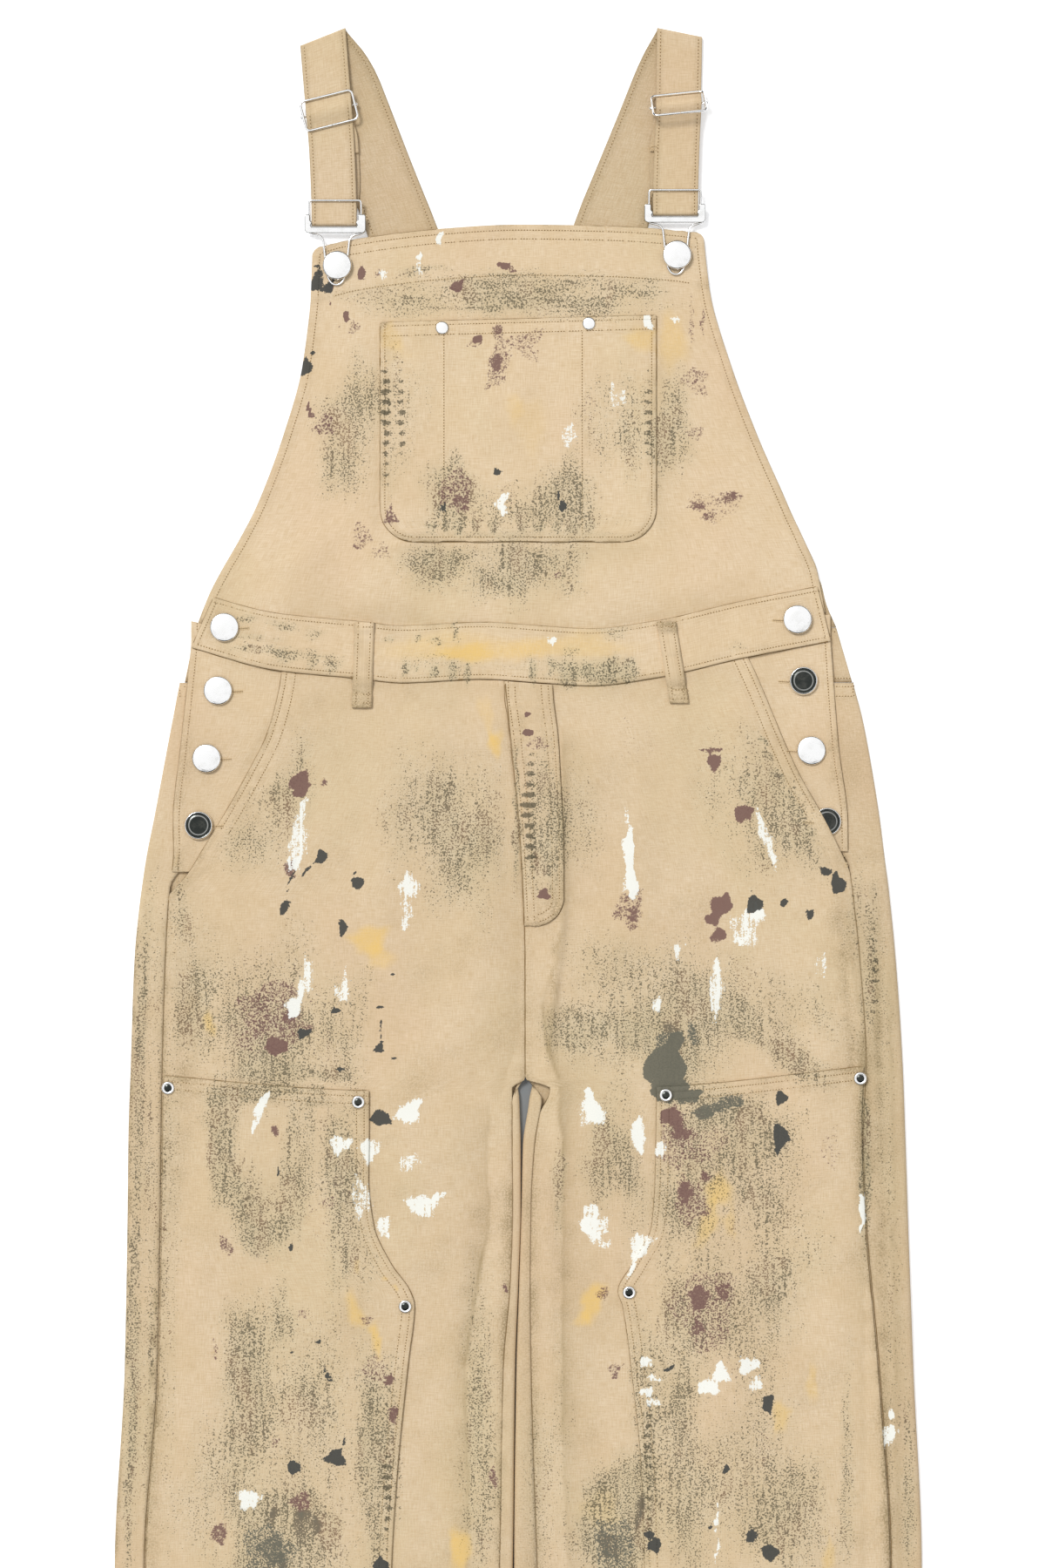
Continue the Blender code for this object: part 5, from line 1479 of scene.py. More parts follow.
@dataclass
class Cloth:
    """One piece of canvas as it is cut, sewn and laid: a fine grid with the cloth's own thickness."""

    name: str
    node: str
    place: Place
    columns: Array
    rows: Array
    flat: Pair
    area: float
    finish: Material
    edges: Tuple[Edge, ...] = ()
    slot: str = "canvas"
    held: str = "laid"
    offset: float = 1.0
    dirt: float = 0.0
    rests_on: Tuple[str, ...] = ()
    lines: List[StitchLine] = field(default_factory=list)
    grooves: List[ShadowLine] = field(default_factory=list)
    piece: Optional[Piece] = None

    def build(self) -> "Cloth":
        """Returns:
            Itself.
        """
        x, y, z = self.place(self.columns[None, :], self.rows[:, None])
        shape = np.broadcast(x, y, z).shape
        x, y, z = (np.array(np.broadcast_to(each, shape), float) for each in (x, y, z))
        z = np.maximum(z + relief_of(x, y, self.edges), 0.0)
        mesh = self._grid(x, y, z)
        dirt = dirt_of(x, y, self.edges, self.dirt)
        own_marks(mesh, x.ravel(), y.ravel(), dirt.ravel(), z.ravel() > FRONT_FROM)
        self.piece = add_object(self.name, mesh, self.finish)
        wall = self.piece.modifiers.new("Thickness", "SOLIDIFY")
        wall.thickness = CLOTH * MM
        wall.offset = self.offset
        wall.use_even_offset = False
        for edge in self.edges:
            for row in edge.rows:
                lx, ly = inset_line(x, y, edge.end, row.inset)
                first, last = int(row.start * (len(lx) - 1)), int(math.ceil(row.end * (len(lx) - 1)))
                self.lines.append(StitchLine(lx[first:last + 1], ly[first:last + 1], row.pitch))
            # A painted shadow line along the edge, on the cloth below it.
            if edge.groove:
                gx, gy = inset_line(x, y, edge.end, -0.3)
                self.grooves.append(ShadowLine(gx, gy, edge_line(z, z, edge.end)[0], edge.groove))
        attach(self.piece, "root")
        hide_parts(self.node)
        self.flat[0] * MM
        self.flat[1] * MM
        return self

    def _grid(self, x: Array, y: Array, z: Array) -> Mesh:
        """A grid of the given points, with a UV map in metres that follows the threads.

        Args:
            x: Across the garment, a row of the grid to each row.
            y: Along it.
            z: Up.

        Returns:
            The mesh.
        """
        high, wide = x.shape
        grid = bmesh.new()
        grid.loops.layers.uv.new("UVMap")
        bmesh.ops.create_grid(grid, x_segments=wide - 1, y_segments=high - 1, size=1.0, calc_uvs=True)
        mesh = mesh_of(self.name, grid)
        where = points_of(mesh)
        column = np.rint((where[:, 0] + 1) / 2 * (wide - 1)).astype(int)
        row = np.rint((where[:, 1] + 1) / 2 * (high - 1)).astype(int)
        order = row * wide + column
        if not np.array_equal(order, np.arange(high * wide)):
            raise ValueError(f"{self.name}: its grid is numbered in another order")
        points = np.stack([x.ravel(), y.ravel(), z.ravel()], axis=1) * MM
        mesh.vertices.foreach_set("co", points.ravel())
        loops = np.empty(len(mesh.loops), int)
        mesh.loops.foreach_get("vertex_index", loops)
        thread = np.stack([
            np.broadcast_to(self.columns[None, :] * self.flat[0], x.shape).ravel(),
            np.broadcast_to((self.rows - self.rows[0])[:, None], x.shape).ravel(),
        ], axis=1) * MM
        mesh.uv_layers[0].data.foreach_set("uv", thread[loops].ravel())
        shade_smooth(mesh)
        mesh.update()
        return mesh


def side_roll(fold: Array, edge: Array, height: Array, strip: int, turn: int) -> Line:
    """A side of the back leg, from its edge on the front, round the fold, to the floor.

    Args:
        fold: Where the garment's outline is.
        edge: Where the cloth ends on the front.
        height: How high it comes up over the floor.
        strip: How many points lie on the front.
        turn: How many points go round the fold.

    Returns:
        The points across, and their heights.
    """
    inward = np.sign(edge - fold)
    radius = height / 2
    middle = fold + inward * radius
    along = np.linspace(0, 1, strip, endpoint=False)[None, :]
    angle = np.radians(np.linspace(90, 270, turn))[None, :]
    x = np.concatenate([mix(edge, middle, along), middle + inward * radius * np.cos(angle)], axis=1)
    z = np.concatenate([np.broadcast_to(height, (len(x), strip)), radius + radius * np.sin(angle)], axis=1)
    return x, z


@dataclass
class Leg:
    """One leg: the back piece that wraps round its sides, the front over it, the placket facing at the
    hip and the patch at the knee."""

    side: Side
    top: float = 326.0
    facing_top: float = 345.0
    patch_top: float = 31.0
    pieces: Dict[str, Cloth] = field(default_factory=dict)

    def name(self, base: str) -> str:
        """A piece's name on this side."""
        return f"{base}_{self.side.tag}"

    def across(self, column: Array) -> Array:
        """How far a column lies from the outer side, 0 to 1."""
        return column if self.side.sign < 0 else 1 - column

    def front_place(self, column: Array, row: Array) -> Points:
        """Where the front leg lies."""
        x = mix(self.side.front_outer(row), self.side.front_inner(row), self.across(column))
        y = row + (waist_y(x) - HIDDEN_GAP - self.top) * smoothstep(236, self.top, row)
        return x, y, self.side.front_z(x, y)

    def facing_place(self, column: Array, row: Array) -> Points:
        """Where the placket facing lies."""
        x = mix(self.side.seam(row), self.side.slant(row) - self.side.sign * 8, self.across(column))
        y = row + (waist_y(x) - HIDDEN_GAP - self.facing_top) * smoothstep(290, self.facing_top, row)
        return x, y, FACING_Z + swell(x, y)

    def patch_place(self, column: Array, row: Array) -> Points:
        """Where the knee patch lies."""
        outer = self.side.front_outer(row) - self.side.sign * 1.2
        x = mix(outer, self.side.patch(row), self.across(column))
        y = row + (patch_top_y(x) - self.patch_top) * smoothstep(-34, self.patch_top, row)
        return x, y, self.side.front_z(x, y) + LAYER

    def back_place(self, column: Array, row: Array) -> Points:
        """Where the back leg lies: the columns are given by the section's own points."""
        side, sign = self.side, self.side.sign
        y = row
        outer_x, outer_z = side_roll(side.fold(y), side.wrap_edge(y), side.wrap_height(y), 9, 7)
        seam = side.inner_seam(y) - sign * SEAM / 2
        inner_x, inner_z = side_roll(side.inner_fold(y), seam, LEG_FOLD + 0 * y, 4, 7)
        centre = centre_x(y) + sign * SEAM / 2
        spread = np.linspace(0, 9, inner_x.shape[1])[None, :] * sign
        flat = smoothstep(19, 37, y)
        inner_x, inner_z = mix(inner_x, centre + spread, flat), inner_z * (1 - flat)
        count = column.shape[1] - outer_x.shape[1] - inner_x.shape[1] + 2
        floor = mix(outer_x[:, -1:], inner_x[:, -1:], np.linspace(0, 1, count)[None, 1:-1])
        x = np.concatenate([outer_x, floor, inner_x[:, ::-1]], axis=1)
        z = np.concatenate([outer_z, 0 * floor, inner_z[:, ::-1]], axis=1)
        if sign > 0:
            x, z = x[:, ::-1], z[:, ::-1]
        y = y + 0 * x
        return x, y, z + np.clip(z / LEG_FOLD, 0, 1) * swell(x, y)

    def build(self, canvas: Material, back: Material) -> "Leg":
        """Builds the leg's pieces.

        Args:
            canvas: The front's finish.
            back: The back's finish.

        Returns:
            Itself.
        """
        side = self.side
        outer, inner = (End.LEFT, End.RIGHT) if side.sign < 0 else (End.RIGHT, End.LEFT)
        slant_from = (side.pocket_end - HEM) / (self.top - HEM)
        rows = fine_ends(bands((HEM, 5.4), (-310, 2.5), (self.top, 0)))
        coarse, fine = edge_steps(245, 2.5), (197 + 48 * edge_steps(48, 1.6, low=False)) / 245
        columns = np.concatenate([coarse[coarse < 0.8], fine])
        columns = columns if side.sign < 0 else 1 - columns[::-1]
        self.pieces["front"] = Cloth(
            self.name("front_leg_canvas"), self.name("front_leg"), self.front_place, columns, rows,
            (270, 1085), 0.262, canvas, (
                Edge(outer, (Row(3.2, slant_from), Row(9.4, slant_from)), 0, 0.45, 0.65),
                Edge(inner, (), 0, 0.45, 0.6),
                Edge(End.LOW, (Row(12.0), Row(2.6)), 13.0, 0.6),
            ), rests_on=(self.name("back_leg"),),
        ).build()
        self.pieces["facing"] = Cloth(
            self.name("side_facing_canvas"), self.name("side_facing"), self.facing_place,
            edge_steps(60, 2.6), fine_ends(bands((side.pocket_end + 8, 2.6), (self.facing_top, 0))),
            (78, 180), 0.0098, canvas, (Edge(outer, (Row(3.8),), 0, 0.4, 0.8),),
            rests_on=(self.name("back_leg"),),
        ).build()
        self.pieces["patch"] = Cloth(
            self.name("knee_patch_canvas"), self.name("knee_patch"), self.patch_place, edge_steps(160, 2.4),
            fine_ends(bands((PATCH_BOTTOM, 5.0), (-310, 2.4), (self.patch_top, 0))),
            (178, 560), 0.093, canvas, (
                Edge(End.HIGH, (Row(3.4), Row(8.6)), 10.0, 0.5, 0.6),
                Edge(inner, (Row(3.2), Row(8.4)), 9.6, 0.3, 0.5),
                Edge(outer, (), 0, 0.5, 0.9),
                Edge(End.LOW, (Row(3.4), Row(8.6)), 10.0, 0.5, 0.8),
            ), rests_on=(self.name("front_leg"),),
        ).build()
        self.pieces["back"] = Cloth(
            self.name("back_leg_canvas"), self.name("back_leg"), self.back_place, np.linspace(0, 1, 66),
            bands((HEM, 6.4), (-310, 3.6), (BACK_TOP, 0)), (318, 1070), 0.330, back,
            (Edge(End.LOW, (Row(12.0),), 13.0, 0.5), Edge(End.HIGH, (Row(2.6), Row(9.2)), 0, 0.4)),
            slot="canvas_back", held="folded", dirt=-0.3 if side.sign < 0 else 0.1,
        ).build()
        return self


@dataclass
class Bib:
    """The bib, its pen pocket, and the back bib behind it."""

    low: float = 330.0
    high: float = 619.0
    corner: float = 4.0
    divisions: Tuple[float, ...] = (-51.0, 44.0)
    pieces: Dict[str, Cloth] = field(default_factory=dict)

    def bib_place(self, column: Array, row: Array) -> Points:
        """Where the bib lies."""
        rise = np.clip(row - (self.high - self.corner), 0.0, None)
        inset = self.corner - np.sqrt(np.clip(self.corner**2 - rise**2, 0.0, None))
        x = mix(bib_left(row) + inset, bib_right(row) - inset, column)
        y = row + (waist_y(x) + HIDDEN_GAP - self.low) * (1 - smoothstep(self.low, 404, row))
        y = y + (bib_top_y(x) - self.high) * smoothstep(545, self.high, row)
        return x, y, bib_z(x, y)

    def pocket_place(self, column: Array, row: Array) -> Points:
        """Where the pocket lies: its lower corners are round."""
        drop = np.clip(POCKET_CORNER - (row - POCKET_LOW), 0.0, None)
        inset = POCKET_CORNER - np.sqrt(np.clip(POCKET_CORNER**2 - drop**2, 0.0, None))
        x = mix(-94.6 + inset, 94.8 - inset, column)
        y = row + 5.0 * smoothstep(485, POCKET_HIGH, row) * (column - 0.5)
        return x, y, bib_z(x, y) + LAYER

    def back_place(self, column: Array, row: Array) -> Points:
        """Where the back bib lies."""
        x = mix(LEFT.back_side(row), RIGHT.back_side(row), column)
        return x, row + 0 * x, 0 * x

    def build(self, canvas: Material, back: Material) -> "Bib":
        """Builds the bib's pieces.

        Args:
            canvas: The front's finish.
            back: The back's finish.

        Returns:
            Itself.
        """
        sides = (Row(4.8, 0.08),)
        self.pieces["bib"] = Cloth(
            "front_bib_canvas", "front_bib", self.bib_place, edge_steps(300, 2.6),
            fine_ends(bands((self.low, 2.6), (self.high, 0)), low=False), (434, 310), 0.099, canvas, (
                Edge(End.LEFT, sides, 7.0, 0.5, 0.6), Edge(End.RIGHT, sides, 7.0, 0.5, 0.6),
                Edge(End.HIGH, (Row(3.6), Row(9.6), Row(34.6)), 36.0, 0.5, 0.6),
            ), rests_on=("back_bib",),
        ).build()
        turns = POCKET_LOW + POCKET_CORNER * (1 - np.cos(np.linspace(0, math.pi / 2, 12)))
        rows = np.concatenate([turns[:-1], fine_ends(bands((turns[-1], 2.3), (POCKET_HIGH, 0)), low=False)])
        self.pieces["pocket"] = Cloth(
            "bib_pocket_canvas", "bib_pocket", self.pocket_place, edge_steps(190, 2.3), rows,
            (206, 176), 0.0295, canvas, (
                Edge(End.LEFT, (Row(3.0),), 0, 0.7, 1.0), Edge(End.RIGHT, (Row(3.0),), 0, 0.6, 0.9),
                Edge(End.LOW, (Row(3.0),), 0, 0.6, 0.9),
                Edge(End.HIGH, (Row(2.6), Row(9.4)), 11.0, 0.4, 0.6),
            ), rests_on=("front_bib",),
        ).build()
        for x in self.divisions:
            along = np.linspace(POCKET_LOW + 3.4, POCKET_HIGH - 10, 60)
            self.pieces["pocket"].lines.append(StitchLine(x + 0 * along, along, 2.0))
        self.pieces["back"] = Cloth(
            "back_bib_canvas", "back_bib", self.back_place, edge_steps(400, 7.0),
            bands((BACK_BAND_TOP + SEAM, 5.0), (506, 0)), (443, 162), 0.048, back,
            (Edge(End.LEFT, (Row(4.8),), 7.0, 0.5), Edge(End.RIGHT, (Row(4.8),), 7.0, 0.5)),
            slot="canvas_back", dirt=0.3,
        ).build()
        return self


@dataclass
class Waist:
    """The waistband, front and back, with its belt loops, and the fly below it."""

    fly_low: float = 139.0
    fly_high: float = 320.0
    pieces: Dict[str, Cloth] = field(default_factory=dict)

    def band_place(self, column: Array, row: Array) -> Points:
        """Where the front waistband lies: its rows are distances from its middle."""
        t = row / (2 * WAISTBAND_HALF) + 0.5
        x = mix(mix(-224.4, -209.4, t), mix(214.8, 205.8, t), column)
        y = waist_y(x) + row
        return x, y, waist_z(x) + BAND_LIFT + swell(x, y)

    def back_place(self, column: Array, row: Array) -> Points:
        """Where the back waistband lies."""
        t = (row - BACK_TOP - SEAM) / (BACK_BAND_TOP - BACK_TOP - SEAM)
        x = mix(mix(-229.6, -222.0, t), mix(230.0, 219.0, t), column)
        return x, row + 0 * x, 0 * x

    def fly_place(self, column: Array, row: Array) -> Points:
        """Where the fly lies."""
        x = mix(centre_x(row) + SEAM / 2, fly_x(row), column)
        top = waist_y(x) - WAISTBAND_HALF - 1
        y = row + (top - self.fly_high) * smoothstep(265, self.fly_high, row)
        return x, y, RIGHT.front_z(x, y) + LAYER

    def loop_place(self, loop: BeltLoop) -> Place:
        """Where a belt loop lies."""
        (top_x, top_y), (low_x, low_y) = loop.top, loop.bottom
        waist = (float(waist_y(top_x)) - WAISTBAND_HALF - low_y) / (top_y - low_y)

        def place(column: Array, row: Array) -> Points:
            """Where its points lie, by fractions across and up it."""
            x = mix(low_x, top_x, row) + mix(-loop.half, loop.half, column)
            y = mix(low_y, top_y, row) + 0 * x
            lift = mix(LAYER, BAND_LIFT + LAYER, smoothstep(waist - 0.16, waist - 0.02, row))
            folded = 1.0 * (1 - smoothstep(0.1, 0.17, row)) + 0.9 * smoothstep(0.86, 0.93, row)
            return x, y, FRONT_Z + lift + folded + swell(x, y)

        return place

    def build(self, canvas: Material, back: Material) -> "Waist":
        """Builds the waist's pieces.

        Args:
            canvas: The front's finish.
            back: The back's finish.

        Returns:
            Itself.
        """
        rows = fine_ends(bands((-WAISTBAND_HALF, 2.6), (WAISTBAND_HALF, 0)))
        self.pieces["band"] = Cloth(
            "waistband_front_canvas", "waistband_front", self.band_place, edge_steps(430, 2.6), rows,
            (441, 76), 0.0172, canvas, (
                Edge(End.LOW, (Row(2.8),), 0, 0.4, 1.3), Edge(End.HIGH, (Row(2.8),), 0, 0.4, 0.6),
                Edge(End.LEFT, (Row(3.0),), 0, 0.4, 0.7), Edge(End.RIGHT, (Row(3.0),), 0, 0.4, 0.7),
            ), rests_on=("front_bib", "front_leg_l", "front_leg_r"),
        ).build()
        self.pieces["back"] = Cloth(
            "waistband_back_canvas", "waistband_back", self.back_place, edge_steps(450, 7.0),
            bands((BACK_TOP + SEAM, 4.0), (BACK_BAND_TOP, 0)), (460, 76), 0.0178, back,
            (Edge(End.LOW, (Row(2.8),), 0, 0.4), Edge(End.HIGH, (Row(2.8),), 0, 0.4)),
            slot="canvas_back", dirt=0.3,
        ).build()
        self.pieces["fly"] = Cloth(
            "fly_canvas", "fly", self.fly_place, edge_steps(30, 2.2),
            fine_ends(bands((self.fly_low, 2.2), (self.fly_high, 0))), (44, 190), 0.0055, canvas, (
                Edge(End.RIGHT, (Row(2.8), Row(7.6)), 9.0, 0.5, 0.5),
                Edge(End.LEFT, (Row(2.2), Row(6.8)), 8.0, 0.6, 1.0),
            ), rests_on=("front_leg_r",),
        ).build()
        for loop in BELT_LOOPS:
            name, length, wide = f"belt_loop_{loop.tag}", loop.top[1] - loop.bottom[1], 2 * loop.half
            self.pieces[f"loop_{loop.tag}"] = Cloth(
                f"{name}_canvas", name, self.loop_place(loop), edge_steps(13, 1.4, low=False, high=False),
                edge_steps(length, 1.6), (wide, length + 16), wide * (length + 14) * MM**2, canvas, (
                    Edge(End.LEFT, (Row(2.4),), 0, 0.6), Edge(End.RIGHT, (Row(2.4),), 0, 0.6),
                    Edge(End.LOW, (Row(3.0), Row(9.0)), 0, 0.6), Edge(End.HIGH, (Row(3.0),), 0, 0.6),
                ), rests_on=("waistband_front",),
            ).build()
        return self


# Sewing


def surface_of(pieces: Iterable[Piece]) -> BVHTree:
    """The finished surfaces of pieces, to find heights on."""
    deps = bpy.context.evaluated_depsgraph_get()
    points: List[Array] = []
    faces: List[Tuple[int, ...]] = []
    count = 0
    for piece in pieces:
        made = piece.evaluated_get(deps)
        mesh = made.to_mesh()
        points.append(points_of(mesh))
        corners = np.empty(len(mesh.loops), int)
        mesh.loops.foreach_get("vertex_index", corners)
        faces.extend(map(tuple, (corners.reshape(-1, 4) + count).tolist()))
        count += len(mesh.vertices)
        made.to_mesh_clear()
    return BVHTree.FromPolygons(np.concatenate(points).tolist(), faces, all_triangles=False)


DROP_FROM = 0.06  # metres over the floor, above all the cloth
OTHER_LEVEL = 0.0011  # metres: stitches on a folded piece keep to cloth within this of their own level
COVERED = 0.0005  # metres: cloth more than this above a stitch hides it
STAMPS = 60  # so many small shapes are made at a time
THREAD_DIRT = 0.25
# How much darker the painted seam shadow lines are made again, through the dirt-and-shade attribute.
SEAM_SHADOW_DARKENING = 0.3
GROOVE_STEP = 2.2
GROOVE_LOOKS = (-1.6, -0.5, 0.5, 1.6)  # how far beside a groove the cloth is looked for
GROOVE_COVER = 0.55  # cloth that is more than a layer and this above a groove hides it
GROOVE_LIFT = 0.00006  # metres over the cloth at a strip's sides, and twice that in its middle
GROOVE_BARE = 0.004  # metres: a strip's height where there is no cloth under it


def drop_on(surface: BVHTree, x: float, y: float) -> Tuple[Optional[Vector], Optional[Vector]]:
    """The highest point of a surface over a place, and its normal."""
    hit, normal, _, _ = surface.ray_cast(Vector((x * MM, y * MM, DROP_FROM)), Vector((0, 0, -1)))
    return hit, normal


def evenly_along(x: Array, y: Array, pitch: float) -> Tuple[Array, Array, Array, Array]:
    """Points at an even pitch along a line, and its direction at each."""
    run = np.concatenate([[0], np.cumsum(np.hypot(np.diff(x), np.diff(y)))])
    at = np.arange(pitch / 2, run[-1] - pitch / 4, pitch)
    px, py = np.interp(at, run, x), np.interp(at, run, y)
    dx = np.interp(at + 0.6, run, x) - np.interp(at - 0.6, run, x)
    dy = np.interp(at + 0.6, run, y) - np.interp(at - 0.6, run, y)
    length = np.hypot(dx, dy) + 1e-9
    return px, py, dx / length, dy / length


def stamped(name: str, places: Sequence[Matrix], stamp: Callable[[Shape, Matrix], None]) -> Mesh:
    """One mesh with a small shape at each place.

    Args:
        name: The mesh's name.
        places: Where each goes.
        stamp: What adds the shape at a place.

    Returns:
        The mesh.
    """
    whole = bmesh.new()
    for start in range(0, len(places), STAMPS):
        part = bmesh.new()
        for place in places[start:start + STAMPS]:
            stamp(part, place)
        add_to(whole, part)
    return mesh_of(name, whole)


def stitch(target: Shape, place: Matrix) -> None:
    """One stitch, a plump little grain of thread."""
    bmesh.ops.create_uvsphere(target, u_segments=6, v_segments=3, radius=1.0, matrix=place)


def hole_shade_disc(target: Shape, place: Matrix) -> None:
    """A dark disc: the painted shade of the dimple where the thread goes down between two stitches."""
    bmesh.ops.create_circle(target, cap_ends=True, segments=6, radius=1.0, matrix=place)


def laid_on(where: Vector, normal: Vector, dx: float, dy: float, size: Triple, lift: float) -> Matrix:
    """A place on cloth, turned to a direction: the shape's length lies along it.

    Args:
        where: The point on the cloth, in metres.
        normal: The cloth's normal there.
        dx: The direction across the garment.
        dy: The direction along it.
        size: Half the shape's length, width and height, in millimetres.
        lift: How far its middle lies over the cloth.
    """
    up = normal if normal.z > 0 else -normal
    along = Vector((dx, dy, 0.0))
    along = (along - up * along.dot(up)).normalized()
    across = up.cross(along)
    turn = Matrix((along, across, up)).transposed().to_4x4()
    scale = Matrix.Diagonal((size[0] * MM, size[1] * MM, size[2] * MM, 1.0))
    return Matrix.Translation(where + up * lift * MM) @ turn @ scale


def add_on_cloth(name: str, mesh: Mesh, dirt: float, finish: Material) -> None:
    """Adds thread or seam lines, with the paint of the cloth that they lie on."""
    where = points_of(mesh) / MM
    own_marks(mesh, where[:, 0], where[:, 1], np.full(len(where), dirt))
    piece = add_object(name, mesh, finish)
    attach(piece, "root")


# The bartacks at the pockets' lower ends: middle and direction. Then the frayed thread beside the strap
POCKET_TACKS = {"leg_l": (-234.6, 184.2, 80), "leg_r": (225.0, 183.6, -80)}
LOOSE_THREAD = ((91.0, 675.0), ((95.0, 671.0), (93.0, 668.0), (96.0, 674.0)))


@dataclass
class Sewing:
    """All the thread of one sub-assembly: its stitches, and dark discs between them that paint the shade of
    the needle holes.
    """

    name: str
    half: Triple = (0.66, 0.3, 0.2)
    hole: Triple = (0.48, 0.42, 1.0)
    stitches: List[Matrix] = field(default_factory=list)
    holes: List[Matrix] = field(default_factory=list)

    def sew(self, line: StitchLine, own: BVHTree, top: BVHTree) -> None:
        """Sews a line of stitches on a piece, where nothing lies over it.

        Args:
            line: The line.
            own: The piece's surface.
            top: All the cloth's surfaces.
        """
        px, py, dx, dy = evenly_along(line.x, line.y, line.pitch)
        for x, y, ux, uy in zip(px, py, dx, dy):
            hit, normal = drop_on(own, x, y)
            if hit is None or (line.level is not None and abs(hit.z - line.level * MM) > OTHER_LEVEL):
                continue
            over, _ = drop_on(top, x, y)
            if over is not None and over.z - hit.z > COVERED:
                continue
            self.stitches.append(laid_on(hit, normal, ux, uy, self.half, 0.04))
            step = line.pitch / 2
            self.holes.append(laid_on(
                hit + Vector((ux * step * MM, uy * step * MM, 0)), normal, ux, uy, self.hole, 0.09))

    def tack(self, x: float, y: float, angle: float, long: float, wide: float, top: BVHTree,
             pitch: float = 0.75, slit: bool = False) -> None:
        """A bar of close stitches: a bartack, or the thread round a buttonhole.

        Args:
            x: Its middle across the garment.
            y: Its middle along the garment.
            angle: Its direction, in degrees from +X.
            long: Its length.
            wide: Its width.
            top: The surface that it is on.
            pitch: From one stitch to the next.
            slit: Whether it has a slit along its middle, whose shade is painted with dark discs.
        """
        ux, uy = math.cos(math.radians(angle)), math.sin(math.radians(angle))
        count = max(int(long / pitch), 2)
        for i in range(count):
            at = (i / (count - 1) - 0.5) * long
            for side in ((-1, 1) if slit else (0,)):
                off = side * wide / 4
                sx, sy = x + ux * at - uy * off, y + uy * at + ux * off
                hit, normal = drop_on(top, sx, sy)
                if hit is None:
                    continue
                lean = 0.18 * (-1) ** i
                half = (wide / (4 if slit else 2), 0.34, 0.3)
                self.stitches.append(laid_on(hit, normal, -uy + lean * ux, ux + lean * uy, half, 0.12))
            if slit:
                hit, normal = drop_on(top, x + ux * at, y + uy * at)
                if hit is not None:
                    self.holes.append(laid_on(hit, normal, ux, uy, (0.5, 0.3, 1.0), 0.22))

    def buttonhole(self, spot: Spot, top: BVHTree) -> None:
        """The end of a buttonhole, which shows beside its button towards the garment's middle."""
        inward = 1 if spot.x < 0 else -1
        self.tack(spot.x + inward * 13.2, spot.y - 0.8, 4 * inward, 7.0, 2.6, top, 0.8, True)

    def strand(self, start: Pair, ends: Sequence[Pair], top: BVHTree) -> None:
        """Loose thread ends: from a point, short curved ends."""
        for i, (ex, ey) in enumerate(ends):
            for k in range(6):
                t = (k + 0.5) / 6
                sway = 0.9 * math.sin(t * 5 + i)
                x, y = mix(start[0], ex, t) + sway * (ey - start[1]) * 0.14, mix(start[1], ey, t) - sway * 0.5
                hit, normal = drop_on(top, x, y)
                if hit is None:
                    continue
                self.stitches.append(laid_on(
                    hit, normal, ex - start[0] + 0.01, ey - start[1] + 1.4 * math.cos(t * 5 + i),
                    (0.75, 0.22, 0.2), 0.3 + 0.4 * t))

    def finish(self, thread: Material, hole: Material) -> None:
        """Makes the thread and the painted shade of the holes.

        Args:
            thread: The thread's finish.
            hole: The finish of the holes' painted shade.
        """
        for word, places, stamp, finish in (
            ("stitches", self.stitches, stitch, thread), ("needle_holes", self.holes, hole_shade_disc, hole),
        ):
            name = f"{word}_{self.name}"
            mesh = stamped(name, places, stamp)
            shade_smooth(mesh)
            add_on_cloth(name, mesh, THREAD_DIRT, finish)


def visible_runs(groove: ShadowLine, top: BVHTree) -> List[Run]:
    """The parts of a painted shadow line that lie on cloth and that nothing covers.

    Args:
        groove: The painted shadow line.
        top: The cloth's surfaces.

    Returns:
        For each part its points: across, along, the groove's direction at each, and its place in the run.
    """
    px, py, dx, dy = evenly_along(groove.x, groove.y, GROOVE_STEP)
    run = np.concatenate([[0], np.cumsum(np.hypot(np.diff(groove.x), np.diff(groove.y)))])
    level = np.interp(np.arange(len(px)) * GROOVE_STEP + GROOVE_STEP / 2, run, groove.z)
    runs: List[Run] = [[]]
    for i, (x, y, ux, uy, z) in enumerate(zip(px, py, dx, dy, level)):
        hits = [drop_on(top, x + side * uy, y - side * ux)[0] for side in GROOVE_LOOKS]
        covered = all(hit is not None and hit.z > (z + CLOTH + GROOVE_COVER) * MM for hit in hits)
        if any(hit is None for hit in hits) or covered:
            runs.append([])
        else:
            runs[-1].append((float(x), float(y), float(ux), float(uy), float(i)))
    return [part for part in runs if len(part) > 2]


def shadow_line_mesh(name: str, grooves: Sequence[ShadowLine], top: BVHTree) -> Mesh:
    """Thin strips of painted shadow laid in the angles where one piece of cloth ends on another.

    Args:
        name: The mesh's name.
        grooves: Where they run.
        top: The cloth's surfaces.

    Returns:
        The mesh.
    """
    whole = bmesh.new()
    for groove in grooves:
        for points in visible_runs(groove, top):
            part = bmesh.new()
            bmesh.ops.create_grid(part, x_segments=len(points) - 1, y_segments=2, size=1.0)
            for vert in part.verts:
                x, y, ux, uy, i = points[int(round((vert.co.x + 1) / 2 * (len(points) - 1)))]
                side = vert.co.y * groove.width / 2 * (0.5 + 0.5 * math.sin(i * 0.37 + groove.x[0]) ** 2)
                x, y = x - uy * side, y + ux * side
                hit, _ = drop_on(top, x, y)
                height = hit.z if hit is not None else GROOVE_BARE
                height += 2 * GROOVE_LIFT if vert.co.y == 0 else GROOVE_LIFT
                vert.co = Vector((x * MM, y * MM, height))
            add_to(whole, part)
    return mesh_of(name, whole)


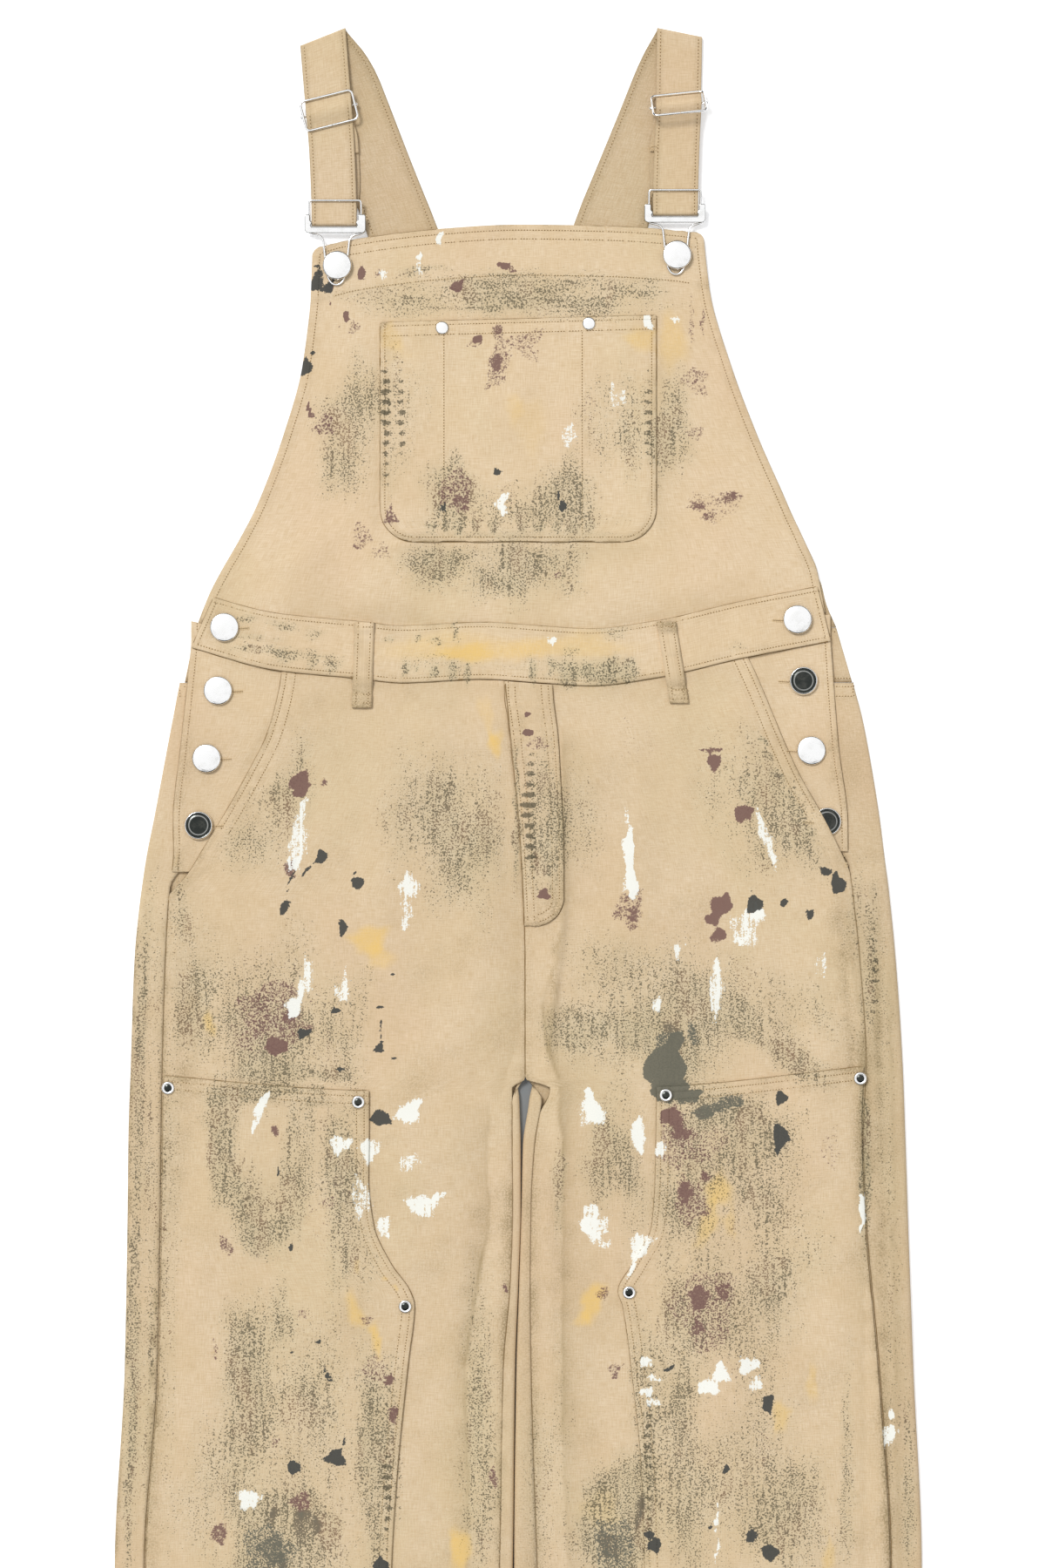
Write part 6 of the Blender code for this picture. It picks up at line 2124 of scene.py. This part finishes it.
def seam_shadow_lines(name: str, pieces: Sequence[Cloth], top: BVHTree, finish: Material) -> None:
    """Adds the painted shadow lines round one sub-assembly's pieces.

    Args:
        name: The sub-assembly's name.
        pieces: Its pieces.
        top: The cloth's surfaces.
        finish: The lines' finish.
    """
    name = f"seam_shadow_lines_{name}"
    mesh = shadow_line_mesh(name, [groove for cloth in pieces for groove in cloth.grooves], top)
    add_on_cloth(name, mesh, SEAM_SHADOW_DARKENING, finish)


# Straps and hardware


def chaikin(points: Array, rounds: int, closed: bool = False) -> Array:
    """Rounds a line's corners by cutting them."""
    for _ in range(rounds):
        after = np.roll(points, -1, axis=0) if closed else points[1:]
        before = points if closed else points[:-1]
        cut = np.stack([0.75 * before + 0.25 * after, 0.25 * before + 0.75 * after], axis=1)
        cut = cut.reshape(-1, points.shape[1])
        points = cut if closed else np.concatenate([points[:1], cut, points[-1:]])
    return points


def even_line(points: Array, step: float) -> Array:
    """A line with more points where they lie further apart than a step."""
    parts = []
    for start, end in zip(points, points[1:]):
        count = max(int(math.ceil(np.linalg.norm((end - start)[:3]) / step)), 1)
        parts.append(start + (end - start) * np.linspace(0, 1, count, endpoint=False)[:, None])
    return np.concatenate([*parts, points[-1:]])


def round_rectangle(half_x: float, half_y: float, corner: float, steps: int = 8) -> Array:
    """The points of a rectangle with round corners, about its middle."""
    points = []
    for quarter, (sx, sy) in enumerate(((1, 1), (-1, 1), (-1, -1), (1, -1))):
        for i in range(steps + 1):
            a = math.radians(90 * (quarter + i / steps))
            points.append((sx * (half_x - corner) + corner * math.cos(a),
                           sy * (half_y - corner) + corner * math.sin(a)))
    return np.array(points)


def turned(profile: Sequence[Pair], steps: int) -> Shape:
    """A turned shape about the origin, from the (radius, height) points of its profile in millimetres."""
    line = bmesh.new()
    verts = [line.verts.new((r * MM, 0.0, h * MM)) for r, h in profile]
    edges = [line.edges.new(pair) for pair in zip(verts, verts[1:])]
    bmesh.ops.spin(line, geom=[*verts, *edges], cent=(0, 0, 0), axis=(0, 0, 1), angle=TAU, steps=steps,
                   use_merge=True)
    bmesh.ops.remove_doubles(line, verts=line.verts, dist=0.000004)
    bmesh.ops.recalc_face_normals(line, faces=line.faces)
    return line


def add_steel(name: str, node: str, mesh: Mesh, *finishes: Material) -> None:
    """Adds a mesh as a steel piece that stands for a CAD node."""
    piece = add_object(name, mesh, *finishes)
    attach(piece, "root")
    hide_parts(node)


def metal_piece(name: str, node: str, shape: Shape, place: Matrix, finishes: Sequence[Material],
                smooth: bool = True) -> None:
    """Places a shape and adds it as a steel piece.

    Args:
        name: The piece's name.
        node: The CAD node that it stands for.
        shape: The shape, in metres.
        place: Where it goes.
        finishes: Its finishes, by its faces' material index.
        smooth: Whether its faces are shaded smooth.
    """
    for face in shape.faces:
        face.smooth = smooth
    bmesh.ops.transform(shape, matrix=place, verts=shape.verts)
    add_steel(name, node, mesh_of(name, shape), *finishes)


def wire_piece(name: str, node: str, points: Array, closed: bool, finish: Material,
               radius: float = WIRE_R) -> None:
    """A round wire through points in millimetres.

    Args:
        name: The piece's name.
        node: The CAD node that it stands for.
        points: The middle of the wire.
        closed: Whether its ends meet.
        finish: Its finish.
        radius: The wire's radius.
    """
    curve = bpy.data.curves.new(name, "CURVE")
    curve.dimensions = "3D"
    curve.bevel_depth = radius * MM
    curve.bevel_resolution = 4
    curve.use_fill_caps = not closed
    line = curve.splines.new("POLY")
    line.points.add(len(points) - 1)
    for point, where in zip(line.points, points):
        point.co = (*(float(each) * MM for each in where), 1.0)
    line.use_cyclic_u = closed
    line.use_smooth = True
    made = bpy.data.objects.new(name + "_line", curve)
    bpy.context.scene.collection.objects.link(made)
    mesh = bpy.data.meshes.new_from_object(made.evaluated_get(bpy.context.evaluated_depsgraph_get()))
    bpy.data.objects.remove(made)
    bpy.data.curves.remove(curve)
    mesh.name = name
    add_steel(name, node, mesh, finish)


@dataclass
class Strap:
    """A shoulder strap: from the back bib over the shoulder, through the slider's frame, round the
    buckle's pin, back up behind itself and round the slider's bar."""

    side: Side
    back: Sequence[StrapBack]
    front: Sequence[StrapFront]
    slider: Slider
    button: Spot
    fold_r: float = 1.1
    cloth: Optional[Cloth] = None

    def slider_wire(self) -> Vector:
        """Where the strap passes under the slider's upper wire: its distance above the bar, its height."""
        lean = math.radians(self.slider.lean)
        centre = SLIDER_BAR_DROP * Vector((math.sin(lean), math.cos(lean)))
        wire_at = centre + SLIDER_HALF.y * Vector((math.cos(lean), -math.sin(lean)))
        return Vector((wire_at.x, self.slider.z + wire_at.y - LOOP_R))

    def under_bar(self, off: float) -> float:
        """The height of the strap's way back up, by its distance from the bar."""
        return float(mix(REST_Z, self.slider.z - LOOP_R, smoothstep(-14.0, 0.0, off)))

    def bend(self, y: float, z: float, start: float, end: float, steps: int = 10) -> List[Triple]:
        """Points round a wire, by angle in degrees, 0 towards +Y."""
        angles = [math.radians(float(mix(start, end, i / steps))) for i in range(steps + 1)]
        return [(y + LOOP_R * math.cos(a), z + LOOP_R * math.sin(a), 0.0) for a in angles]

    def path(self) -> List[Triple]:
        """The front part's middle line: along the garment, up, and its shift to the side."""
        bar, layer = self.slider.z, 1.5 + 0.1 * (self.slider.z - 5.0)
        high = self.slider_wire()
        pin_y, pin_z = self.button.y + BUCKLE_PIN_Y, BUCKLE_PIN_Z
        fold_y = TOP - self.fold_r - CLOTH / 2 - abs(self.front[0].skew) / 2
        turns = [math.radians(float(mix(-90, 90, i / 8))) for i in range(9)]
        path = [(fold_y + self.fold_r * math.cos(a), 0.6 + self.fold_r + self.fold_r * math.sin(a), 0.0)
                for a in turns]
        down = [(high.x + 4.0, high.y - 0.2), (high.x - 2.3, high.y), (2.2, bar + 3.1), (-2.2, bar + 3.1)]
        down += [(off, self.under_bar(off) + 2 * layer) for off in (-8.0, -10.5, -13.0)]
        down += [(-26.0, pin_z + LOOP_R), (pin_y + 15.0 - self.slider.y, pin_z + LOOP_R - 0.1)]
        drift = -self.side.sign * 2.6
        up = [(pin_y + 8.0 - self.slider.y, REST_Z, 0.0), (pin_y + 24.0 - self.slider.y, REST_Z, drift)]
        up += [(-24.0, REST_Z, drift)]
        up += [(off, self.under_bar(off), 0.0) for off in (-13.0, -10.5, -8.0, -4.0)]
        tail = [(off, self.under_bar(off) + layer, 0.0) for off in (-6.0, -8.0, -10.5)]
        tail += [(-18.0, REST_Z + 1.5, drift), (-30.0, REST_Z + 1.5, drift)]
        path += [(self.slider.y + off, z, 0.0) for off, z in down]
        path += self.bend(pin_y, pin_z, 90, 270)
        path += [(self.slider.y + off, z, shift) for off, z, shift in up]
        path += self.bend(self.slider.y, bar, -90, 140)
        path += [(self.slider.y + off, z, shift) for off, z, shift in tail]
        return path

    def lines(self) -> Array:
        """The strap's cross lines, from its end on the back bib: -X end, then +X end, as rows of six."""
        rows = []
        for row in self.back:
            inner, outer = (row.in_x, row.in_y, row.z), (row.out_x, row.out_y, row.z)
            rows.append((*outer, *inner) if self.side.sign < 0 else (*inner, *outer))
        x_of, skew_of = Curve(self.front, "x"), Curve(self.front, "skew")
        for y, z, shift in self.path():
            x, rise = float(x_of(y)) + shift, float(skew_of(y)) / 2
            rows.append((x - STRAP_HALF, y - rise, z, x + STRAP_HALF, y + rise, z))
        return even_line(chaikin(np.array(rows), 2), 2.6)

    def build(self, canvas: Material) -> "Strap":
        """Builds the strap.

        Args:
            canvas: Its finish.

        Returns:
            Itself.
        """
        lines = self.lines()
        columns = edge_steps(2 * STRAP_HALF, 2.6)
        run = np.concatenate([[0], np.cumsum(np.linalg.norm(np.diff(lines[:, :3], axis=0), axis=1))])
        start, end = lines[:, None, :3], lines[:, None, 3:]

        def place(column: Array, row: Array) -> Points:
            """Where the strap lies: its rows are its cross lines."""
            where = start + (end - start) * column[0][None, :, None]
            return where[..., 0], where[..., 1], where[..., 2]

        tag = self.side.tag
        self.cloth = Cloth(
            f"strap_{tag}_canvas", f"strap_{tag}", place, columns, run, (34, 690), 0.0222, canvas,
            held="folded", offset=0.0, dirt=0.12,
        )
        self.cloth.build()
        where = points_of(self.cloth.piece.data) / MM
        edge = np.minimum(columns, 1 - columns)[None, :] * 2 * STRAP_HALF + 0 * run[:, None]
        # Darker at the strap's edges and beside its stitching: wear, and painted edge shade. Darker again
        # where it lies on the floor, most towards the shoulder fold where the front part lies over it: painted
        # shade.
        dirt = 0.10 + 0.5 * np.exp(-edge.ravel() / 1.6) + 0.22 * bump(edge.ravel() - 3.2, 1.2)
        dirt = dirt + (0.26 + 0.3 * smoothstep(690, 760, where[:, 1])) * (where[:, 2] < 1.4)
        layer = self.cloth.piece.data.attributes[Mark.DIRT.value]
        layer.data.foreach_set("value", dirt.astype(np.float32))
        for column in (2.5, 2 * STRAP_HALF - 2.5):
            t = column / (2 * STRAP_HALF)
            x, y = mix(lines[:, 0], lines[:, 3], t), mix(lines[:, 1], lines[:, 4], t)
            turn = int(np.argmax(y))
            low = turn + int(np.argmin(y[turn:]))
            back, over = slice(0, turn - 8), slice(turn + 4, low - 8)
            self.cloth.lines.append(StitchLine(x[back], y[back], 2.3, 1.2))
            self.cloth.lines.append(StitchLine(x[over], y[over], 2.3))
        return self


@dataclass
class SliderRing:
    """A strap slider: a wire frame about a bar with round ends."""

    tag: str
    slider: Slider

    def build(self, zinc: Material) -> None:
        """Builds the frame and the bar.

        Args:
            zinc: Their finish.
        """
        at = self.slider
        place = Matrix.Translation((at.x, at.y, at.z)) @ Matrix.Rotation(
            math.radians(at.turn), 4, "Z") @ Matrix.Rotation(math.radians(-at.lean), 4, "X")
        corners = np.roll(round_rectangle(SLIDER_HALF.x, SLIDER_HALF.y, SLIDER_CORNER), 9, axis=0)
        outline = [(0.14, -SLIDER_HALF.y), *corners, (-0.14, -SLIDER_HALF.y)]
        points = np.array([place @ Vector((x, y, SLIDER_BAR_DROP)) for x, y in outline])
        frame_node, bar_node = f"slider_frame_{self.tag}", f"slider_bar_{self.tag}"
        wire_piece(f"{frame_node}_wire", frame_node, points, False, zinc, WIRE_R + 0.1)
        half, ball = SLIDER_HALF.x + 2.2, 1.45
        ends = [(ball * math.sin(a), half - ball + ball * math.cos(a)) for a in np.linspace(0, 2.3, 10)]
        profile = [*ends, (WIRE_R, half - 3.4), (WIRE_R, 3.4 - half), *((r, -h) for r, h in ends[::-1])]
        turn = Matrix.Rotation(math.radians(at.turn), 4, "Z") @ Matrix.Rotation(math.radians(90), 4, "Y")
        place = Matrix.Translation(Vector((at.x, at.y, at.z)) * MM) @ turn
        metal_piece(f"{bar_node}_turned", bar_node, turned(profile, 20), place, [zinc])


@dataclass
class Buckle:
    """A bib buckle: the frame that holds the strap, the plate across it and the loop round the button."""

    tag: str
    spot: Spot
    plate_t: float = 1.0
    plate_z: float = 6.0
    plate_lean: float = 6.0

    def build(self, zinc: Material, worn: Material) -> None:
        """Builds the frame, the plate and the loop.

        Args:
            zinc: Their finish.
            worn: The finish of the plate's sides and rounded edges: darker steel that paints their shade.
        """
        middle = self.spot.x + BUCKLE_SHIFT
        top, pin = self.spot.y + BUCKLE_TOP_Y, self.spot.y + BUCKLE_PIN_Y
        points = []
        for x, y in round_rectangle(BUCKLE_HALF, (top - pin) / 2, 1.8):
            at = (top + pin) / 2 + y
            points.append((middle + x, at, mix(BUCKLE_PIN_Z, BUCKLE_TOP_Z, (at - pin) / (top - pin))))
        node = f"buckle_frame_{self.tag}"
        wire_piece(f"{node}_wire", node, np.array(points), True, zinc)
        self.plate(middle, [zinc, worn])
        self.loop(zinc)

    def plate(self, middle: float, finishes: Sequence[Material]) -> None:
        """A flat plate: a bar across under the strap's loop, with an ear up each side.

        Args:
            middle: The middle of the buckle.
            finishes: Its finish, and its edges', which paint their shade.
        """
        base = self.spot.y
        half, ear = 21.0, STRAP_HALF + 1.0
        low, bar, high = base + 22.2, base + 26.2, base + 34.8
        shift = -0.8 if self.tag == "l" else 0.0
        outer = [(half - 2.4, low), (half - 0.7, low + 0.7), (half, low + 2.4), (half, high - 1),
                 (half - 0.8, high)]
        inner = [(ear + 0.6, high), (ear, high - 0.8), (ear, bar + 4.6), (ear - 1.4, bar + 3),
                 (ear - 0.4, bar + 1.2), (ear - 1, bar)]
        outline = [(2.4 - half, low), *outer, *((shift + x, y) for x, y in inner)]
        outline += [(shift - x, y) for x, y in inner[::-1]] + [(-x, y) for x, y in outer[:0:-1]]
        shape = bmesh.new()
        under = -self.plate_t / 2 * MM
        verts = [shape.verts.new((x * MM, (y - low) * MM, under)) for x, y in outline]
        up = bmesh.ops.extrude_face_region(shape, geom=[shape.faces.new(verts)])
        verts = [each for each in up["geom"] if isinstance(each, bmesh.types.BMVert)]
        bmesh.ops.translate(shape, verts=verts, vec=(0, 0, self.plate_t * MM))
        bmesh.ops.recalc_face_normals(shape, faces=shape.faces)
        bmesh.ops.bevel(shape, geom=shape.edges, offset=0.42 * MM, segments=3, profile=0.5, affect="EDGES",
                        material=-1)
        for face in shape.faces:
            # Faces that don't look straight up take the darker steel: painted shade on the plate's sides and
            # rounded edges.
            face.material_index = int(face.normal.z < 0.97)
        lean = Matrix.Rotation(math.radians(self.plate_lean), 4, "X")
        place = Matrix.Translation(Vector((middle, low, self.plate_z)) * MM) @ lean
        node = f"buckle_plate_{self.tag}"
        metal_piece(f"{node}_steel", node, shape, place, finishes, False)

    def loop(self, zinc: Material) -> None:
        """The wire loop, from under one end of the plate, round the button, to the other.

        Args:
            zinc: Its finish.
        """
        middle, base = self.spot.x + BUCKLE_SHIFT / 2, self.spot.y
        right, left = ([(middle + sign * p.x, base + p.y, p.z) for p in LOOP_HALF] for sign in (1, -1))
        tip = (middle, base + LOOP_TIP.y, LOOP_TIP.z)
        points = chaikin(np.array([*right, tip, *left[::-1]]), 3)
        node = f"buckle_loop_{self.tag}"
        wire_piece(f"{node}_wire", node, points, False, zinc)


@dataclass
class Fasteners:
    """The tack buttons and rivets."""

    button_steps: int = 48
    rivet_steps: int = 32

    def button(self, spot: Spot, base: float, shank: float, finishes: Sequence[Material]) -> None:
        """A tack button: a low cap on a short shank, with a raised rim and a plain ring if it is dark.

        Args:
            spot: Where it is.
            base: The height of the cloth under it.
            shank: How far its cap stands off the cloth.
            finishes: Its cap's finish, its underside's and rim's, and its ring's.
                A bright button's underside is dark steel: painted shade under its cap.
        """
        rise = shank + BUTTON_T
        face = [(0, rise), (5.4, rise - 0.06), (7.0, rise - 0.2), (8.2, rise - 0.46), (8.9, rise - 0.72)]
        if spot.dark:
            face = [(0, rise - 0.1), (5.6, rise - 0.2), (6.1, rise - 0.1), (6.9, rise - 0.14),
                    (7.3, rise - 0.3), (8.4, rise - 0.42), (8.8, rise - 0.2), (9.1, rise - 0.22)]
        profile = [*face, (BUTTON_R - 0.5, rise - 0.8), (BUTTON_R - 0.25, rise - 1.2),
                   (BUTTON_R - 0.06, rise - 1.6), (BUTTON_R, rise - 2), (BUTTON_R - 0.5, rise - 2.4),
                   (BUTTON_R - 1.6, shank + 0.3), (SHANK_R, shank), (SHANK_R, 0), (0, 0)]
        shape = turned(profile, self.button_steps)
        for face in shape.faces:
            middle = face.calc_center_median()
            out = math.hypot(middle.x, middle.y) / MM
            # The underside, and a dark button's rim, take the second finish: on a bright button that is dark
            # steel, which paints the shade under its cap.
            if middle.z < (shank + 0.6) * MM or (spot.dark and out > 8.7):
                face.material_index = 1
            elif spot.dark and 6.0 < out < 7.0:
                face.material_index = 2
        place = Matrix.Translation((spot.x * MM, spot.y * MM, base))
        metal_piece(f"{spot.name}_cap", spot.name, shape, place, finishes)

    def rivet(self, spot: Spot, base: float, finishes: Sequence[Material]) -> None:
        """A rivet: a low ring round a domed middle.

        Args:
            spot: Where it is.
            base: The height of the cloth under it.
            finishes: Its ring's finish, and its middle's.
        """
        t = RIVET_T
        profile = [(0, t - 0.05), (1.4, t - 0.1), (2.3, t - 0.35), (2.7, t - 0.55), (3.1, t - 0.3),
                   (3.7, t - 0.15), (4.2, t - 0.4), (RIVET_R, 0.5), (RIVET_R - 0.1, 0.15),
                   (RIVET_R - 0.5, 0), (0, 0)]
        if not spot.dark:
            profile[:5] = [(0, t), (1.6, t - 0.02), (3.0, t - 0.1)]
        shape = turned(profile, self.rivet_steps)
        for face in shape.faces:
            middle = face.calc_center_median()
            if spot.dark and math.hypot(middle.x, middle.y) < 2.75 * MM and middle.z > 0.5 * MM:
                face.material_index = 1
        place = Matrix.Translation((spot.x * MM, spot.y * MM, base))
        metal_piece(f"{spot.name}_head", spot.name, shape, place, finishes)

    def build(self, top: BVHTree, zinc: Material, dark: Material, worn: Material) -> None:
        """Builds them all.

        Args:
            top: The cloth's surfaces.
            zinc: Bright steel.
            dark: Darkened steel.
            worn: Darkened steel with its edges rubbed.
        """
        for spot in (*BIB_BUTTONS, *SIDE_BUTTONS):
            low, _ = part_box(spot.name)
            shank = 2 * WIRE_R + 2 * SEAM if spot in BIB_BUTTONS else 0.0
            self.button(spot, float(low[2]), shank, [dark, zinc, worn] if spot.dark else [zinc, dark])
        for spot in (*POCKET_RIVETS, *KNEE_RIVETS):
            hit, _ = drop_on(top, spot.x, spot.y)
            self.rivet(spot, hit.z, [zinc, dark] if spot.dark else [zinc, zinc])


@dataclass
class Studio:
    """The floor, the light and the camera, which looks straight down."""

    middle: Pair = (0.003, 0.2364)
    height: float = 2.5
    high: float = 1.08  # how much of the garment's length the frame holds
    sensor: float = 36.0
    sun: float = 1.86
    sun_angle: float = 18.0
    sun_from: Triple = (-0.45, 0.52, 1.0)
    sky: float = 0.62
    floor_half: float = 6.0
    floor_glow: float = 0.31
    flag_grey: float = 0.05
    flag_radius: float = 4.0

    def build(self) -> None:
        """Builds all of it."""
        self.floor()
        self.light()
        self.flags()
        self.camera()

    def floor(self) -> None:
        """A plain floor that shows white to the camera, and keeps the garment's shadow. Between the legs it is
        painted grey, as shade.
        """
        line = bmesh.new()
        bmesh.ops.create_grid(line, x_segments=1, y_segments=1, size=self.floor_half)
        mesh = mesh_of("floor", line)
        net = Net("floor")
        rays = net.node("ShaderNodeLightPath")
        seen = Value(net, rays.outputs["Is Camera Ray"]).most(Value(net, rays.outputs["Is Glossy Ray"]))
        seen = seen.most(Value(net, rays.outputs["Is Transmission Ray"]))
        plain = net.node("ShaderNodeBsdfDiffuse", None, {"Color": (0.8, 0.8, 0.8)})
        white = net.node("ShaderNodeBsdfDiffuse", None, {"Color": (0.97, 0.98, 1.0)})
        glow = net.node("ShaderNodeEmission", None, {"Color": (1.0, 1.0, 1.0), "Strength": self.floor_glow})
        both = net.node("ShaderNodeAddShader", None, {0: white.outputs[0], 1: glow.outputs[0]})
        # Between the legs the floor is painted grey, the shade in the narrow gap there: it fades out 17 to 24
        # mm beside the middle
        gap_shade = net.node("ShaderNodeBsdfDiffuse", None, {"Color": (0.235, 0.25, 0.26)})
        split = net.node("ShaderNodeSeparateXYZ", None, {0: net.place("Object", (1.0, 1.0, 1.0))})
        across, along = Value(net, split.outputs["X"]), Value(net, split.outputs["Y"])
        gap_shade_mask = (across * across).smooth(0.0006, 0.0003) * along.smooth(0.05, 0.04) * along.smooth(-0.45, -0.4)
        top = net.node("ShaderNodeMixShader", None, {0: gap_shade_mask, 1: both.outputs[0], 2: gap_shade.outputs[0]})
        shader = net.node("ShaderNodeMixShader", None, {0: seen, 1: plain.outputs[0], 2: top.outputs[0]})
        floor = add_object("floor", mesh, net.finish(shader.outputs[0]))
        mesh.transform(Matrix.Translation((0, 0, -0.0002)))

    def light(self) -> None:
        """A bright even sky and a soft high sun."""
        world = bpy.data.worlds.new("studio")
        world.use_nodes = True
        bpy.context.scene.world = world
        nodes, links = world.node_tree.nodes, world.node_tree.links
        background = nodes["Background"]
        background.inputs["Color"].default_value = (1.0, 1.0, 1.0, 1.0)
        rays = nodes.new("ShaderNodeLightPath")
        shown = nodes.new("ShaderNodeMath")
        shown.operation = "MAXIMUM"
        links.new(rays.outputs["Is Camera Ray"], shown.inputs[0])
        links.new(rays.outputs["Is Glossy Ray"], shown.inputs[1])
        strength = nodes.new("ShaderNodeMapRange")
        strength.inputs["To Min"].default_value = self.sky
        strength.inputs["To Max"].default_value = 1.0
        links.new(shown.outputs[0], strength.inputs["Value"])
        links.new(strength.outputs[0], background.inputs["Strength"])
        lamp = bpy.data.lights.new("sun", "SUN")
        lamp.energy = self.sun
        lamp.angle = math.radians(self.sun_angle)
        sun = bpy.data.objects.new("sun", lamp)
        sun.rotation_euler = Vector(self.sun_from).to_track_quat("Z", "Y").to_euler()
        bpy.context.scene.collection.objects.link(sun)

    def flags(self) -> None:
        """Dark screens round the table and at its foot, which only polished metal sees."""
        grey, radius = self.flag_grey, self.flag_radius
        for name, low, high, arc in (("flag_ring", 0.2, 34.0, 360.0), ("flag_foot", 34.0, 60.0, 76.0)):
            net = Net(name)
            glow = net.node("ShaderNodeEmission", None, {"Color": (grey, grey, grey), "Strength": 1.0})
            finish = net.finish(glow.outputs[0])
            line = bmesh.new()
            verts = []
            for i in range(7):
                a = math.radians(float(mix(low, high, i / 6)))
                verts.append(line.verts.new((0.0, -radius * math.cos(a), radius * math.sin(a))))
            edges = [line.edges.new(pair) for pair in zip(verts, verts[1:])]
            bmesh.ops.rotate(line, verts=verts, cent=(0, 0, 0),
                             matrix=Matrix.Rotation(math.radians(-arc / 2), 3, "Z"))
            bmesh.ops.spin(line, geom=[*verts, *edges], cent=(0, 0, 0), axis=(0, 0, 1),
                           angle=math.radians(arc), steps=40, use_merge=arc == 360.0)
            flag = add_object(name, mesh_of(name, line), finish)
            flag.visible_camera = flag.visible_diffuse = False
            flag.visible_shadow = flag.visible_transmission = False

    def camera(self) -> None:
        """A camera over the upper garment, framed on its straps and knees."""
        data = bpy.data.cameras.new("camera")
        data.sensor_fit = "VERTICAL"
        data.sensor_height = self.sensor
        data.lens = self.sensor * self.height / self.high
        data.clip_start = 0.1
        data.clip_end = 20.0
        camera = bpy.data.objects.new("camera", data)
        camera.location = (*self.middle, self.height)
        bpy.context.scene.collection.objects.link(camera)
        bpy.context.scene.camera = camera


def main() -> None:
    """Builds the garment, then its studio."""
    logging.basicConfig(level=logging.INFO, format="%(name)s: %(message)s")
    bpy.context.scene.view_settings.view_transform = "Standard"
    canvas, back, webbing = FRONT_CANVAS.material(), SHADED_BACK_CANVAS.material(), STRAP_CANVAS.material()
    zinc, dark, worn = ZINC.material(), DARK_METAL.material(), WORN_AND_EDGE_SHADE_METAL.material()
    thread, hole = THREAD.material(), HOLE_SHADE_CANVAS.material()
    legs = [Leg(side).build(canvas, back) for side in SIDES]
    bib = Bib().build(canvas, back)
    waist = Waist().build(canvas, back)
    straps = [
        Strap(LEFT, LEFT_STRAP_BACK, LEFT_STRAP_FRONT, LEFT_SLIDER, BIB_BUTTONS[0]).build(webbing),
        Strap(RIGHT, RIGHT_STRAP_BACK, RIGHT_STRAP_FRONT, RIGHT_SLIDER, BIB_BUTTONS[1]).build(webbing),
    ]
    parts: Dict[str, List[Cloth]] = {
        "leg_l": list(legs[0].pieces.values()), "leg_r": list(legs[1].pieces.values()),
        "bib": list(bib.pieces.values()), "waist": list(waist.pieces.values()),
        "straps": [strap.cloth for strap in straps],
    }
    top = surface_of(cloth.piece for cloths in parts.values() for cloth in cloths)
    for tag, slider, spot in (("l", LEFT_SLIDER, BIB_BUTTONS[0]), ("r", RIGHT_SLIDER, BIB_BUTTONS[1])):
        SliderRing(tag, slider).build(zinc)
        Buckle(tag, spot).build(zinc, worn)
    Fasteners().build(top, zinc, dark, worn)
    shadow = SEAM_SHADOW.material()
    for name, cloths in parts.items():
        sewing = Sewing(name)
        for cloth in cloths:
            own = surface_of([cloth.piece])
            for line in cloth.lines:
                sewing.sew(line, own, top)
        if name == "bib":
            for spot in SIDE_BUTTONS:
                sewing.buttonhole(spot, top)
        if name in POCKET_TACKS:
            sewing.tack(*POCKET_TACKS[name], 8.0, 3.0, top)
        if name == "leg_r":
            sewing.strand(*LOOSE_THREAD, top)
        sewing.finish(thread, hole)
        if any(cloth.grooves for cloth in cloths):
            seam_shadow_lines(name, cloths, top, shadow)
    Studio().build()


if __name__ == "__main__":
    main()
